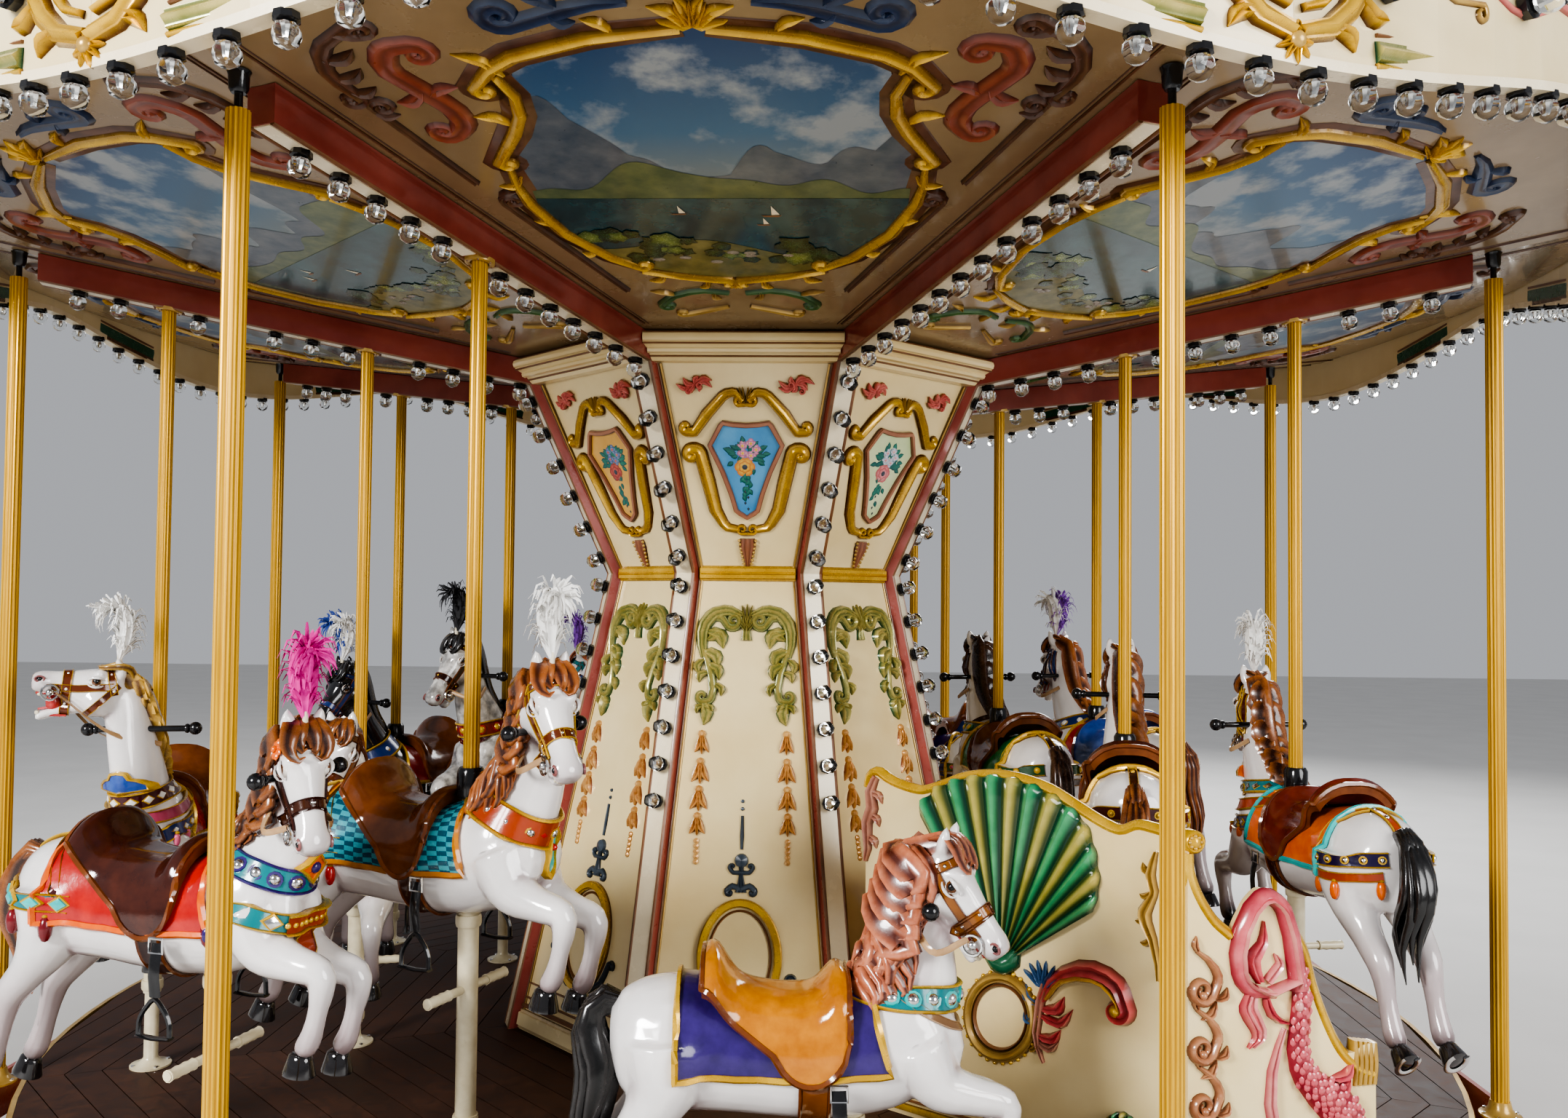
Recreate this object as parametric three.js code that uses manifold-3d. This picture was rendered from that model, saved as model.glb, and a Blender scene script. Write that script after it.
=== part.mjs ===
// Fairground carousel with eight sweeps, jumping horses, two standing horses and a chariot.
// Millimetres, +Z up, origin on the ground at the centre of the turntable, front bay facing -Y.
import * as THREE from "three";
import { ConvexGeometry } from "three/addons/geometries/ConvexGeometry.js";
import { mergeVertices } from "three/addons/utils/BufferGeometryUtils.js";
import Module from "manifold-3d";

const wasm = await Module();
wasm.setup();

// Overall layout
const SWEEPS = 8;
const BAY = (2 * Math.PI) / SWEEPS;
const HALF_BAY = BAY / 2;
const FIRST_SWEEP = -Math.PI / 2 - HALF_BAY;
const FIT_GAP = 0.3;

// Platform and base
const DECK_TOP = 250;
const DECK_THICK = 40;
const DECK_RADIUS = 3160;
const SKIRT_RADIUS = 3140;
const SKIRT_THICK = 20;
const SKIRT_BOTTOM = 35;
const HUB_RADIUS = 560;
const HUB_JOINT_Z = 150;
const BASE_PLATE_RADIUS = 640;
const BASE_PLATE_THICK = 12;
const BASE_ARM_REACH = 2560;
const BASE_ARM_WIDTH = 80;
const BASE_ARM_LOW = 40;
const BASE_ARM_HIGH = 120;
const FOOT_WIDTH = 180;

// Column, heights above the deck; radii are apothems of the octagon
const COLUMN_BASE = 1005;
const COLUMN_WAIST = 613;
const COLUMN_HEAD = 960;
const WAIST_Z = 1943;
const COLUMN_WALL = 30;
const RIB_WIDTH = 94;
const RIB_PROUD = 24;
const CORNICE_OUT = 1060;
const CORNICE_IN = 930;
const CORNICE_STEP = 34;

// Sweeps and ceiling: the underside of a sweep rises outwards along a straight line
const POST_RADIUS = 3000;
const SWEEP_Z_AT_POST = 3040;
const SWEEP_RISE = 0.143;
const SWEEP_START = 1036;
const SWEEP_END = 2930;
const SWEEP_HEIGHT = 100;
const CEILING_THICK = 14;
const CEILING_INNER = 1050;

// Rounding boards and roof
const BOARD_OUTER = 3400;
const BOARD_THICK = 40;
const RIM_SEGMENTS = 48;
const BOARD_SEGMENTS = RIM_SEGMENTS / SWEEPS;
const BOARD_LOW_AT_SWEEP = 2990;
const BOARD_LOW_MID = 3175;
const BOARD_TOP_AT_SWEEP = 3700;
const BOARD_TOP_MID = 3580;
const ROOF_EDGE_Z = 3500;
const ROOF_RISE = 720;
const ROOF_THICK = 16;
const FINIAL_HEIGHT = 300;

// Posts, poles and their guides
const POST_TUBE = 30;
const POST_TOP = 3040;
const POST_ROD = 11;
const POST_FLANGE = 70;
const FLANGE_THICK = 12;
const POLE_TUBE = 25;
const POLE_HOLE = 29;
const POLE_ABOVE_SWEEP = 300;
const LOWER_TUBE = 33;
const LOWER_BORE = 30;
const GUIDE_TUBE = 27.3;
const GUIDE_TOP = 500;
const GUIDE_FLANGE = 75;
const GUIDE_CONE_HEIGHT = 24;
const ROUND_SIDES = 10;
const POLE_SIDES = 8;

// Crank drive: half the stroke, and how far the lower tube clears the guide's flange at its lowest
const CRANK = 150;
const TUBE_CLEAR = 34;

// One row per jumping horse: sweep, radius, belly height above the deck at rest,
// present lift from mid stroke, turn away from the direction of travel and turn of the head
const JUMPERS = [
  { sweep: 0, radius: 2050, belly: 850, lift: 0, turn: 0, look: -30 },
  { sweep: 2, radius: 2320, belly: 754, lift: 90, turn: 32, look: -12 },
  { sweep: 2, radius: 1675, belly: 850, lift: -90, turn: 12, look: 0 },
  { sweep: 3, radius: 1870, belly: 850, lift: 90, turn: 0, look: 0 },
  { sweep: 3, radius: 1290, belly: 850, lift: -90, turn: -8, look: -15 },
  { sweep: 4, radius: 2320, belly: 760, lift: 60, turn: 0, look: -15 },
  { sweep: 4, radius: 1675, belly: 700, lift: -60, turn: 0, look: 0 },
  { sweep: 5, radius: 2320, belly: 700, lift: -80, turn: 0, look: -15 },
  { sweep: 5, radius: 1675, belly: 780, lift: 80, turn: 0, look: 0 },
  { sweep: 6, radius: 2120, belly: 700, lift: -70, turn: 0, look: -10 },
  { sweep: 6, radius: 1400, belly: 860, lift: 70, turn: 0, look: -10 },
  { sweep: 7, radius: 2480, belly: 740, lift: 100, turn: -8, look: -75, headUp: true },
  { sweep: 7, radius: 1730, belly: 560, lift: -100, turn: -6, look: -20 },
];

// Standing horses: place on the deck, belly height and heading in degrees
const STANDERS = [
  { x: 400, y: -2330, belly: 440, heading: 3, look: -12 },
  { x: -1434, y: -2185, belly: 740, heading: -14, look: -25 },
];

// Horse, from the pole's axis at the withers and the belly's height; x runs forwards, z upwards
const BELLY_TO_SEAT = 330;
const SADDLE_X = -170;
const LEG_SPREAD = 85;
const LIMB_SIDES = 4;
const NECK_SIDES = 5;
const BARREL_SIDES = 6;
const HANDLE_REACH = 185;
const HANDLE_BAR = 12;
const HANDLE_BALL = 24;
const FOOTREST_DROP = 230;
const FOOTREST_REACH = 190;
const FOOTREST_BAR = 14;

// Chariot, seen in plan
const CHARIOT_BACK_IN = new THREE.Vector2(490, -1140);
const CHARIOT_BACK_OUT = new THREE.Vector2(1420, -1830);
const CHARIOT_SIDE_LENGTH = 680;
const CHARIOT_SIDE_HEADING = THREE.MathUtils.degToRad(15);
const CHARIOT_INNER_LENGTH = 600;
const CHARIOT_INNER_HEADING = THREE.MathUtils.degToRad(45);
const CHARIOT_PANEL = 40;
const CHARIOT_SEAT_TOP = 350;
const CHARIOT_SEAT_THICK = 60;
const CHARIOT_SEAT_DEPTH = 400;

// Materials
const look = (color, roughness, metalness = 0) =>
  new THREE.MeshStandardMaterial({ color, roughness, metalness });
const STEEL = look(0x3c3f42, 0.6, 0.8);
const DECK_WOOD = look(0x5a3a2a, 0.55);
const SKIRT_PAINT = look(0xa8434a, 0.4);
const CREAM = look(0xe9dcb4, 0.25);
const SWEEP_PAINT = look(0xb9585a, 0.35);
const GOLD = look(0xd9a53a, 0.3, 0.7);
const CEILING_PAINT = look(0xb79f7d, 0.45);
const CANVAS = look(0xc9b183, 0.8);
const HORSE_WHITE = look(0xeae4e0, 0.2);

const root = new THREE.Group();

// The group's own helpers

function addMesh(name, geometry, material) {
  const mesh = new THREE.Mesh(geometry, material);
  mesh.name = name;
  root.add(mesh);
  return mesh;
}

function toSolid(geometry) {
  const plain = geometry.clone();
  plain.deleteAttribute("normal");
  plain.deleteAttribute("uv");
  const merged = mergeVertices(plain, 1e-3);
  return new wasm.Manifold(
    new wasm.Mesh({
      numProp: 3,
      vertProperties: new Float32Array(merged.attributes.position.array),
      triVerts: new Uint32Array(merged.index.array),
    }),
  );
}

function toGeometry(solid) {
  const mesh = solid.getMesh();
  const geometry = new THREE.BufferGeometry();
  geometry.setAttribute("position", new THREE.BufferAttribute(mesh.vertProperties, 3));
  geometry.setIndex(new THREE.BufferAttribute(mesh.triVerts, 1));
  geometry.computeVertexNormals();
  return geometry;
}

const join = (solids) => solids.reduce((whole, solid) => whole.add(solid));
const cut = (solid, holes) => holes.reduce((rest, hole) => rest.subtract(hole), solid);

const sweepAngle = (index) => FIRST_SWEEP + index * BAY;
const sweepUnderside = (radius) => SWEEP_Z_AT_POST + SWEEP_RISE * (radius - POST_RADIUS);
const ceilingUnderside = (radius) => sweepUnderside(radius) + SWEEP_HEIGHT + FIT_GAP;
const cornerRadius = (apothem) => apothem / Math.cos(HALF_BAY);

// A closed solid from rings of equally many points, listed counterclockwise from below to above
function loft(rings) {
  const count = rings[0].length;
  const corners = rings.flat();
  const faces = [];
  for (let level = 0; level + 1 < rings.length; level += 1) {
    for (let i = 0; i < count; i += 1) {
      const a = level * count + i;
      const b = level * count + ((i + 1) % count);
      faces.push(a, b, b + count, a, b + count, a + count);
    }
  }
  const top = (rings.length - 1) * count;
  for (let i = 1; i + 1 < count; i += 1) {
    faces.push(0, i + 1, i);
    faces.push(top, top + i, top + i + 1);
  }
  const geometry = new THREE.BufferGeometry();
  geometry.setAttribute("position", new THREE.Float32BufferAttribute(corners.flat(), 3));
  geometry.setIndex(faces);
  return geometry;
}

function octagonRing(apothem, z) {
  const radius = cornerRadius(apothem);
  const ring = [];
  for (let i = 0; i < SWEEPS; i += 1) {
    ring.push([radius * Math.cos(sweepAngle(i)), radius * Math.sin(sweepAngle(i)), z]);
  }
  return ring;
}

const octagonSolid = (levels) => toSolid(loft(levels.map(([apothem, z]) => octagonRing(apothem, z))));

// A box between two distances along a direction in plan, with its own width and heights
function radialBox(angle, near, far, width, lowNear, highNear, lowFar, highFar) {
  const half = width / 2;
  const at = (distance, side, z) => [
    distance * Math.cos(angle) - side * Math.sin(angle),
    distance * Math.sin(angle) + side * Math.cos(angle),
    z,
  ];
  const low = [
    at(near, -half, lowNear),
    at(far, -half, lowFar),
    at(far, half, lowFar),
    at(near, half, lowNear),
  ];
  const high = [
    at(near, -half, highNear),
    at(far, -half, highFar),
    at(far, half, highFar),
    at(near, half, highNear),
  ];
  return toSolid(loft([low, high]));
}

// A solid turned about an upright axis at (x, y); the profile runs from the axis back to it
function turned(profile, x, y, sides = ROUND_SIDES, phase = 0) {
  const points = profile.map(([radius, z]) => new THREE.Vector2(radius, z));
  const geometry = new THREE.LatheGeometry(points, sides, phase);
  geometry.rotateX(Math.PI / 2);
  geometry.translate(x, y, 0);
  return toSolid(geometry);
}

const upright = (radius, low, high, x, y, sides = ROUND_SIDES, phase = 0) =>
  turned([[0, low], [radius, low], [radius, high], [0, high]], x, y, sides, phase);

function crossBar(radius, reach, x, z, sides = 4) {
  const geometry = new THREE.CylinderGeometry(radius, radius, 2 * reach, sides);
  geometry.translate(x, 0, z);
  return toSolid(geometry);
}

// Base frame on the ground

function baseFrame() {
  const pieces = [
    upright(BASE_PLATE_RADIUS, 0, BASE_PLATE_THICK, 0, 0, 24),
    upright(HUB_RADIUS, 0, HUB_JOINT_Z, 0, 0, 24),
  ];
  for (let i = 0; i < SWEEPS; i += 1) {
    const angle = sweepAngle(i);
    pieces.push(
      radialBox(angle, HUB_RADIUS / 2, BASE_ARM_REACH, BASE_ARM_WIDTH,
        BASE_ARM_LOW, BASE_ARM_HIGH, BASE_ARM_LOW, BASE_ARM_HIGH),
    );
    pieces.push(
      radialBox(angle, BASE_ARM_REACH - FOOT_WIDTH, BASE_ARM_REACH, FOOT_WIDTH,
        0, BASE_ARM_LOW + 1, 0, BASE_ARM_LOW + 1),
    );
  }
  return join(pieces);
}

// Platform

const jumperPlace = ({ sweep, radius }) => ({
  x: radius * Math.cos(sweepAngle(sweep)),
  y: radius * Math.sin(sweepAngle(sweep)),
});

function poleGuide(place) {
  const deck = DECK_TOP - 5;
  return turned(
    [
      [0, deck],
      [GUIDE_FLANGE, deck],
      [GUIDE_FLANGE, DECK_TOP + FLANGE_THICK / 2],
      [GUIDE_TUBE, DECK_TOP + GUIDE_CONE_HEIGHT],
      [GUIDE_TUBE, DECK_TOP + GUIDE_TOP],
      [0, DECK_TOP + GUIDE_TOP],
    ],
    place.x,
    place.y,
    POLE_SIDES,
  );
}

function platformDeck() {
  const low = DECK_TOP - DECK_THICK;
  const apothem = DECK_RADIUS * Math.cos(HALF_BAY);
  return join([
    octagonSolid([[apothem, low], [apothem, DECK_TOP]]),
    upright(HUB_RADIUS, HUB_JOINT_Z + FIT_GAP, low + 1, 0, 0, 24),
    ...JUMPERS.map((jumper) => poleGuide(jumperPlace(jumper))),
  ]);
}

function platformSkirt() {
  const top = DECK_TOP - DECK_THICK - FIT_GAP;
  const outer = SKIRT_RADIUS * Math.cos(HALF_BAY);
  const inner = outer - SKIRT_THICK;
  return octagonSolid([[outer, SKIRT_BOTTOM], [outer, top]]).subtract(
    octagonSolid([[inner, SKIRT_BOTTOM - 1], [inner, top + 1]]),
  );
}

// Column

const columnBottom = DECK_TOP + FIT_GAP;
const waist = DECK_TOP + WAIST_Z;
const columnTop = DECK_TOP + sweepUnderside(SWEEP_START) - FIT_GAP;
const cornerAt = (apothem, extra) => cornerRadius(apothem) + extra;

function rib(index, lowApothem, lowZ, highApothem, highZ) {
  const angle = sweepAngle(index);
  const half = RIB_WIDTH / 2;
  const across = (radius, z) =>
    [
      [radius - RIB_PROUD - 40, -half],
      [radius, -half],
      [radius, half],
      [radius - RIB_PROUD - 40, half],
    ].map(([along, side]) => [
      along * Math.cos(angle) - side * Math.sin(angle),
      along * Math.sin(angle) + side * Math.cos(angle),
      z,
    ]);
  return toSolid(
    loft([
      across(cornerAt(lowApothem, RIB_PROUD), lowZ),
      across(cornerAt(highApothem, RIB_PROUD), highZ),
    ]),
  );
}

function columnShell(lowApothem, lowZ, highApothem, highZ) {
  const slope = (highApothem - lowApothem) / (highZ - lowZ);
  const outside = octagonSolid([[lowApothem, lowZ], [highApothem, highZ]]);
  const inside = octagonSolid([
    [lowApothem - COLUMN_WALL - slope, lowZ - 1],
    [highApothem - COLUMN_WALL + slope, highZ + 1],
  ]);
  const ribs = [];
  for (let i = 0; i < SWEEPS; i += 1) ribs.push(rib(i, lowApothem, lowZ, highApothem, highZ));
  return join([outside, ...ribs]).subtract(inside);
}

const columnLower = () => columnShell(COLUMN_BASE, columnBottom, COLUMN_WAIST, waist);

function columnUpper() {
  const full = COLUMN_HEAD - COLUMN_WAIST;
  const share = (columnTop - waist) / (DECK_TOP + 2790 - waist);
  return columnShell(COLUMN_WAIST, waist + FIT_GAP, COLUMN_WAIST + full * share, columnTop);
}

function columnCornice() {
  const low = columnTop + FIT_GAP;
  const high = DECK_TOP + ceilingUnderside(CEILING_INNER) - FIT_GAP;
  const ring = octagonSolid([
    [CORNICE_OUT - 2 * CORNICE_STEP, low],
    [CORNICE_OUT - CORNICE_STEP, low + 40],
    [CORNICE_OUT, low + 60],
    [CORNICE_OUT, high],
  ]).subtract(octagonSolid([[CORNICE_IN, low - 1], [CORNICE_IN, high + 1]]));
  const notches = [];
  for (let i = 0; i < SWEEPS; i += 1) {
    notches.push(
      radialBox(sweepAngle(i), SWEEP_START - 1, CORNICE_OUT * 1.2, RIB_WIDTH + 2,
        low - 1, high + 1, low - 1, high + 1),
    );
  }
  return cut(ring, notches);
}

// Sweeps and ceiling

function sweepBeam(index) {
  const lowNear = DECK_TOP + sweepUnderside(SWEEP_START);
  const lowFar = DECK_TOP + sweepUnderside(SWEEP_END);
  const beam = radialBox(sweepAngle(index), SWEEP_START, SWEEP_END, RIB_WIDTH,
    lowNear, lowNear + SWEEP_HEIGHT, lowFar, lowFar + SWEEP_HEIGHT);
  const holes = JUMPERS.filter(({ sweep }) => sweep === index).map((jumper) => {
    const { x, y } = jumperPlace(jumper);
    return upright(POLE_HOLE, lowNear - 10, lowFar + SWEEP_HEIGHT + 10, x, y);
  });
  return cut(beam, holes);
}

function ceiling() {
  const reach = cornerRadius(BOARD_OUTER);
  const inner = CEILING_INNER * Math.cos(HALF_BAY);
  const outer = reach * Math.cos(HALF_BAY);
  const lowInner = DECK_TOP + ceilingUnderside(CEILING_INNER);
  const lowOuter = DECK_TOP + ceilingUnderside(reach);
  const top = lowOuter + 2 * CEILING_THICK;
  const funnel = (lift) =>
    octagonSolid([
      [inner - 50, lowInner - 50 * SWEEP_RISE + lift],
      [outer, lowOuter + lift],
      [outer, top + CEILING_THICK + lift],
      [inner - 50, top + CEILING_THICK + lift],
    ]);
  const disc = upright(BOARD_OUTER - BOARD_THICK - FIT_GAP, lowInner - 60, top, 0, 0, RIM_SEGMENTS);
  const shaft = octagonSolid([[inner, lowInner - 80], [inner, top + 80]]);
  const holes = JUMPERS.map((jumper) => {
    const { x, y } = jumperPlace(jumper);
    return upright(POLE_HOLE, lowInner - 60, top + 60, x, y);
  });
  const plate = funnel(0).subtract(funnel(CEILING_THICK)).intersect(disc).subtract(shaft);
  return cut(plate, holes);
}

// Rounding boards, roof and finial

// The lower edge hangs lowest at the sweeps and swings up between them
const scallop = (share, atSweep, atMid) =>
  atMid + (atSweep - atMid) * Math.pow(Math.abs(Math.cos(Math.PI * share)), 1.6);

function roundingBoard(index) {
  const rings = [];
  const steps = 2 * BOARD_SEGMENTS;
  const slack = FIT_GAP / BOARD_OUTER;
  for (let i = 0; i <= steps; i += 1) {
    const share = i / steps;
    const angle = sweepAngle(index) + slack + share * (BAY - 2 * slack);
    const low = DECK_TOP + scallop(share, BOARD_LOW_AT_SWEEP, BOARD_LOW_MID);
    const high = DECK_TOP + scallop(share, BOARD_TOP_AT_SWEEP, BOARD_TOP_MID);
    const inner = BOARD_OUTER - BOARD_THICK;
    rings.push([
      [inner * Math.cos(angle), inner * Math.sin(angle), low],
      [inner * Math.cos(angle), inner * Math.sin(angle), high],
      [BOARD_OUTER * Math.cos(angle), BOARD_OUTER * Math.sin(angle), high],
      [BOARD_OUTER * Math.cos(angle), BOARD_OUTER * Math.sin(angle), low],
    ]);
  }
  return toSolid(loft(rings));
}

function roofCanopy() {
  const edge = BOARD_OUTER - BOARD_THICK - 2 * FIT_GAP;
  const low = DECK_TOP + ROOF_EDGE_Z;
  const apex = low + ROOF_RISE;
  return turned(
    [
      [0, apex - ROOF_THICK],
      [edge, low - ROOF_THICK],
      [edge, low],
      [60, apex],
      [0, apex],
    ],
    0,
    0,
    RIM_SEGMENTS,
  );
}

function roofFinial() {
  const low = DECK_TOP + ROOF_EDGE_Z + ROOF_RISE + FIT_GAP;
  return turned(
    [
      [0, low],
      [58, low],
      [58, low + 30],
      [24, low + 60],
      [75, low + 140],
      [24, low + 215],
      [0, low + FINIAL_HEIGHT],
    ],
    0,
    0,
    12,
  );
}

// Outer posts

function outerPost(index) {
  const x = POST_RADIUS * Math.cos(sweepAngle(index));
  const y = POST_RADIUS * Math.sin(sweepAngle(index));
  const low = DECK_TOP + FIT_GAP;
  const top = DECK_TOP + POST_TOP;
  const seat = DECK_TOP + ceilingUnderside(POST_RADIUS - POST_ROD) - FIT_GAP;
  return turned(
    [
      [0, low],
      [POST_FLANGE, low],
      [POST_FLANGE, low + FLANGE_THICK],
      [POST_TUBE, low + FLANGE_THICK],
      [POST_TUBE, top],
      [POST_ROD, top],
      [POST_ROD, seat],
      [0, seat],
    ],
    x,
    y,
  );
}

// Horses

// A closed link between two round sections
function link(from, fromRadius, to, toRadius, sides = 6) {
  const a = new THREE.Vector3(...from);
  const b = new THREE.Vector3(...to);
  const along = b.clone().sub(a).normalize();
  const hint = Math.abs(along.y) < 0.9 ? new THREE.Vector3(0, 1, 0) : new THREE.Vector3(1, 0, 0);
  const u = new THREE.Vector3().crossVectors(along, hint).normalize();
  const v = new THREE.Vector3().crossVectors(along, u);
  const points = [];
  for (let i = 0; i < sides; i += 1) {
    const turn = (2 * Math.PI * (i + 0.5)) / sides;
    const out = u.clone().multiplyScalar(Math.cos(turn)).addScaledVector(v, Math.sin(turn));
    points.push(a.clone().addScaledVector(out, fromRadius));
    points.push(b.clone().addScaledVector(out, toRadius));
  }
  return toSolid(new ConvexGeometry(points));
}

function chain(stations, sides) {
  const links = [];
  for (let i = 0; i + 1 < stations.length; i += 1) {
    const [from, fromRadius] = stations[i];
    const [to, toRadius] = stations[i + 1];
    links.push(link(from, fromRadius, to, toRadius, sides));
  }
  return links;
}

// The barrel from rump to chest, in one convex body
function barrel() {
  const stations = [
    [-640, 215, 70, 80],
    [-540, 205, 155, 165],
    [-200, 165, 150, 160],
    [140, 190, 145, 165],
    [240, 220, 85, 100],
  ];
  const points = [];
  for (const [x, z, halfWidth, halfHeight] of stations) {
    for (let i = 0; i < BARREL_SIDES; i += 1) {
      const turn = (2 * Math.PI * i) / BARREL_SIDES + Math.PI / 2;
      points.push(
        new THREE.Vector3(x, halfWidth * Math.cos(turn), z + halfHeight * Math.sin(turn)),
      );
    }
  }
  return toSolid(new ConvexGeometry(points));
}

// Stations of the neck and head; the neck twists part of the way and the head turns fully
function neckAndHead(look, headUp) {
  const base = [170, 0, 250];
  const swing = (share, along, z) => [
    base[0] + along * Math.cos(look * share),
    along * Math.sin(look * share),
    z,
  ];
  const middle = swing(0.3, headUp ? 60 : 100, 480);
  const top = swing(0.6, headUp ? 110 : 150, 740);
  const reach = headUp ? 270 : 195;
  const muzzle = [
    top[0] + reach * Math.cos(look),
    top[1] + reach * Math.sin(look),
    headUp ? 770 : 480,
  ];
  const poll = [top[0], top[1], 705];
  return {
    neck: [[base, 125], [middle, 92], [top, 62]],
    head: [[poll, 75], [muzzle, 48]],
    top,
    middle,
  };
}

function legs(side) {
  const y = side * LEG_SPREAD;
  const fore = [
    [[180, y, 150], 72],
    [[400, y, 30 - side * 25], 42],
    [[350, y, -230 - side * 25], 36],
  ];
  const hind = [
    [[-540, y, 150], 95],
    [[-670, y, -110], 46],
    [[-760, y, -400], 36],
  ];
  return [...chain(fore, LIMB_SIDES), ...chain(hind, LIMB_SIDES)];
}

function saddle() {
  const half = 165;
  const seat = BELLY_TO_SEAT;
  const points = [
    [-190, 60, seat + 60],
    [-190, 60, seat - 60],
    [130, 45, seat + 40],
    [130, 45, seat - 60],
    [-110, half, seat - 170],
    [110, half, seat - 170],
    [-150, half * 0.7, seat - 40],
    [110, half * 0.7, seat - 40],
  ].flatMap(([x, y, z]) => [
    new THREE.Vector3(SADDLE_X + x, y, z),
    new THREE.Vector3(SADDLE_X + x, -y, z),
  ]);
  return toSolid(new ConvexGeometry(points));
}

function horseBody({ look: lookDegrees = 0, headUp = false }) {
  const turn = THREE.MathUtils.degToRad(lookDegrees);
  const { neck, head, top, middle } = neckAndHead(turn, headUp);
  const ears = [-1, 1].map((side) => {
    const across = [-Math.sin(turn) * side, Math.cos(turn) * side];
    return link(
      [top[0] + 38 * across[0], top[1] + 38 * across[1], top[2] - 15],
      30,
      [top[0] + 50 * across[0], top[1] + 50 * across[1], top[2] + 85],
      6,
      3,
    );
  });
  const tail = chain(
    [
      [[-630, 0, 280], 34],
      [[-710, 0, 160], 52],
      [[-730, 0, -120], 30],
    ],
    LIMB_SIDES,
  );
  const gripX = middle[0] + 10;
  const gripZ = middle[2] + 110;
  const balls = [-1, 1].map((side) => {
    const ball = new THREE.OctahedronGeometry(HANDLE_BALL, 0);
    ball.translate(gripX, side * HANDLE_REACH, gripZ);
    return toSolid(ball);
  });
  return join([
    barrel(),
    ...chain(neck, NECK_SIDES),
    ...chain(head, NECK_SIDES),
    ...ears,
    ...legs(1),
    ...legs(-1),
    ...tail,
    saddle(),
    crossBar(HANDLE_BAR, HANDLE_REACH, gripX, gripZ),
    ...balls,
  ]);
}

function jumperHorse(jumper, index) {
  const { sweep, radius, belly, lift, turn } = jumper;
  const poleTop = sweepUnderside(radius) + POLE_ABOVE_SWEEP - belly;
  const tubeBottom = TUBE_CLEAR + CRANK + lift - belly;
  const boreTop = GUIDE_TOP + CRANK + lift + 10 - belly;
  const heading = sweepAngle(sweep) + Math.PI / 2 + THREE.MathUtils.degToRad(turn);
  // The flats of the bore lie over the corners of the guide inside it, whatever the heading
  const phase = Math.PI / POLE_SIDES - heading;
  const body = join([
    horseBody(jumper),
    upright(POLE_TUBE, BELLY_TO_SEAT - 20, poleTop, 0, 0, POLE_SIDES, phase),
    upright(LOWER_TUBE, tubeBottom, 60, 0, 0, POLE_SIDES, phase),
    crossBar(FOOTREST_BAR, FOOTREST_REACH, 0, -FOOTREST_DROP),
  ]).subtract(upright(LOWER_BORE, tubeBottom - 1, boreTop, 0, 0, POLE_SIDES, phase));
  const mesh = addMesh(`jumper_horse_${index + 1}`, toGeometry(body), HORSE_WHITE);
  const { x, y } = jumperPlace(jumper);
  mesh.position.set(x, y, DECK_TOP + belly);
  mesh.rotation.z = heading;
}

function standerHorse(stander, index) {
  const { x, y, belly, heading } = stander;
  const foot = -belly + FIT_GAP;
  const body = join([
    horseBody(stander),
    upright(LOWER_TUBE, foot, 60, 0, 0, POLE_SIDES),
    turned([[0, foot], [GUIDE_FLANGE, foot], [GUIDE_FLANGE, foot + 8], [0, foot + 45]], 0, 0, POLE_SIDES),
    crossBar(FOOTREST_BAR, FOOTREST_REACH, 0, -FOOTREST_DROP),
  ]);
  const mesh = addMesh(`stander_horse_${index + 1}`, toGeometry(body), HORSE_WHITE);
  mesh.position.set(x, y, DECK_TOP + belly);
  mesh.rotation.z = THREE.MathUtils.degToRad(heading);
}

// Chariot

// An upright panel along a line in plan; the outline gives distance along the line and height
function uprightPanel(start, heading, outline, thickness) {
  const shape = new THREE.Shape(outline.map(([along, z]) => new THREE.Vector2(along, z)));
  const geometry = new THREE.ExtrudeGeometry(shape, { depth: thickness, bevelEnabled: false });
  geometry.translate(0, 0, -thickness / 2);
  geometry.rotateX(Math.PI / 2);
  geometry.rotateZ(heading);
  geometry.translate(start.x, start.y, DECK_TOP);
  return geometry;
}

const onLine = (start, heading, distance) =>
  new THREE.Vector2(
    start.x + distance * Math.cos(heading),
    start.y + distance * Math.sin(heading),
  );

const backRun = CHARIOT_BACK_OUT.clone().sub(CHARIOT_BACK_IN);
const backHeading = Math.atan2(backRun.y, backRun.x);
const backLength = backRun.length();

function chariotBack() {
  const outline = [
    [0, FIT_GAP],
    [backLength, FIT_GAP],
    [backLength, 1120],
    [backLength - 130, 1050],
    [backLength - 330, 1080],
    [backLength * 0.5, 1230],
    [backLength * 0.28, 1190],
    [130, 1150],
    [0, 1220],
  ];
  return uprightPanel(CHARIOT_BACK_IN, backHeading, outline, CHARIOT_PANEL);
}

function chariotOuterSide() {
  const outline = [
    [FIT_GAP, FIT_GAP],
    [CHARIOT_SIDE_LENGTH, FIT_GAP],
    [CHARIOT_SIDE_LENGTH, 450],
    [CHARIOT_SIDE_LENGTH * 0.8, 600],
    [CHARIOT_SIDE_LENGTH * 0.62, 860],
    [CHARIOT_SIDE_LENGTH * 0.45, 930],
    [CHARIOT_SIDE_LENGTH * 0.3, 850],
    [CHARIOT_SIDE_LENGTH * 0.16, 960],
    [FIT_GAP, 1120],
  ];
  const start = onLine(CHARIOT_BACK_OUT, CHARIOT_SIDE_HEADING, CHARIOT_PANEL * 0.75);
  return uprightPanel(start, CHARIOT_SIDE_HEADING, outline, CHARIOT_PANEL);
}

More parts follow.
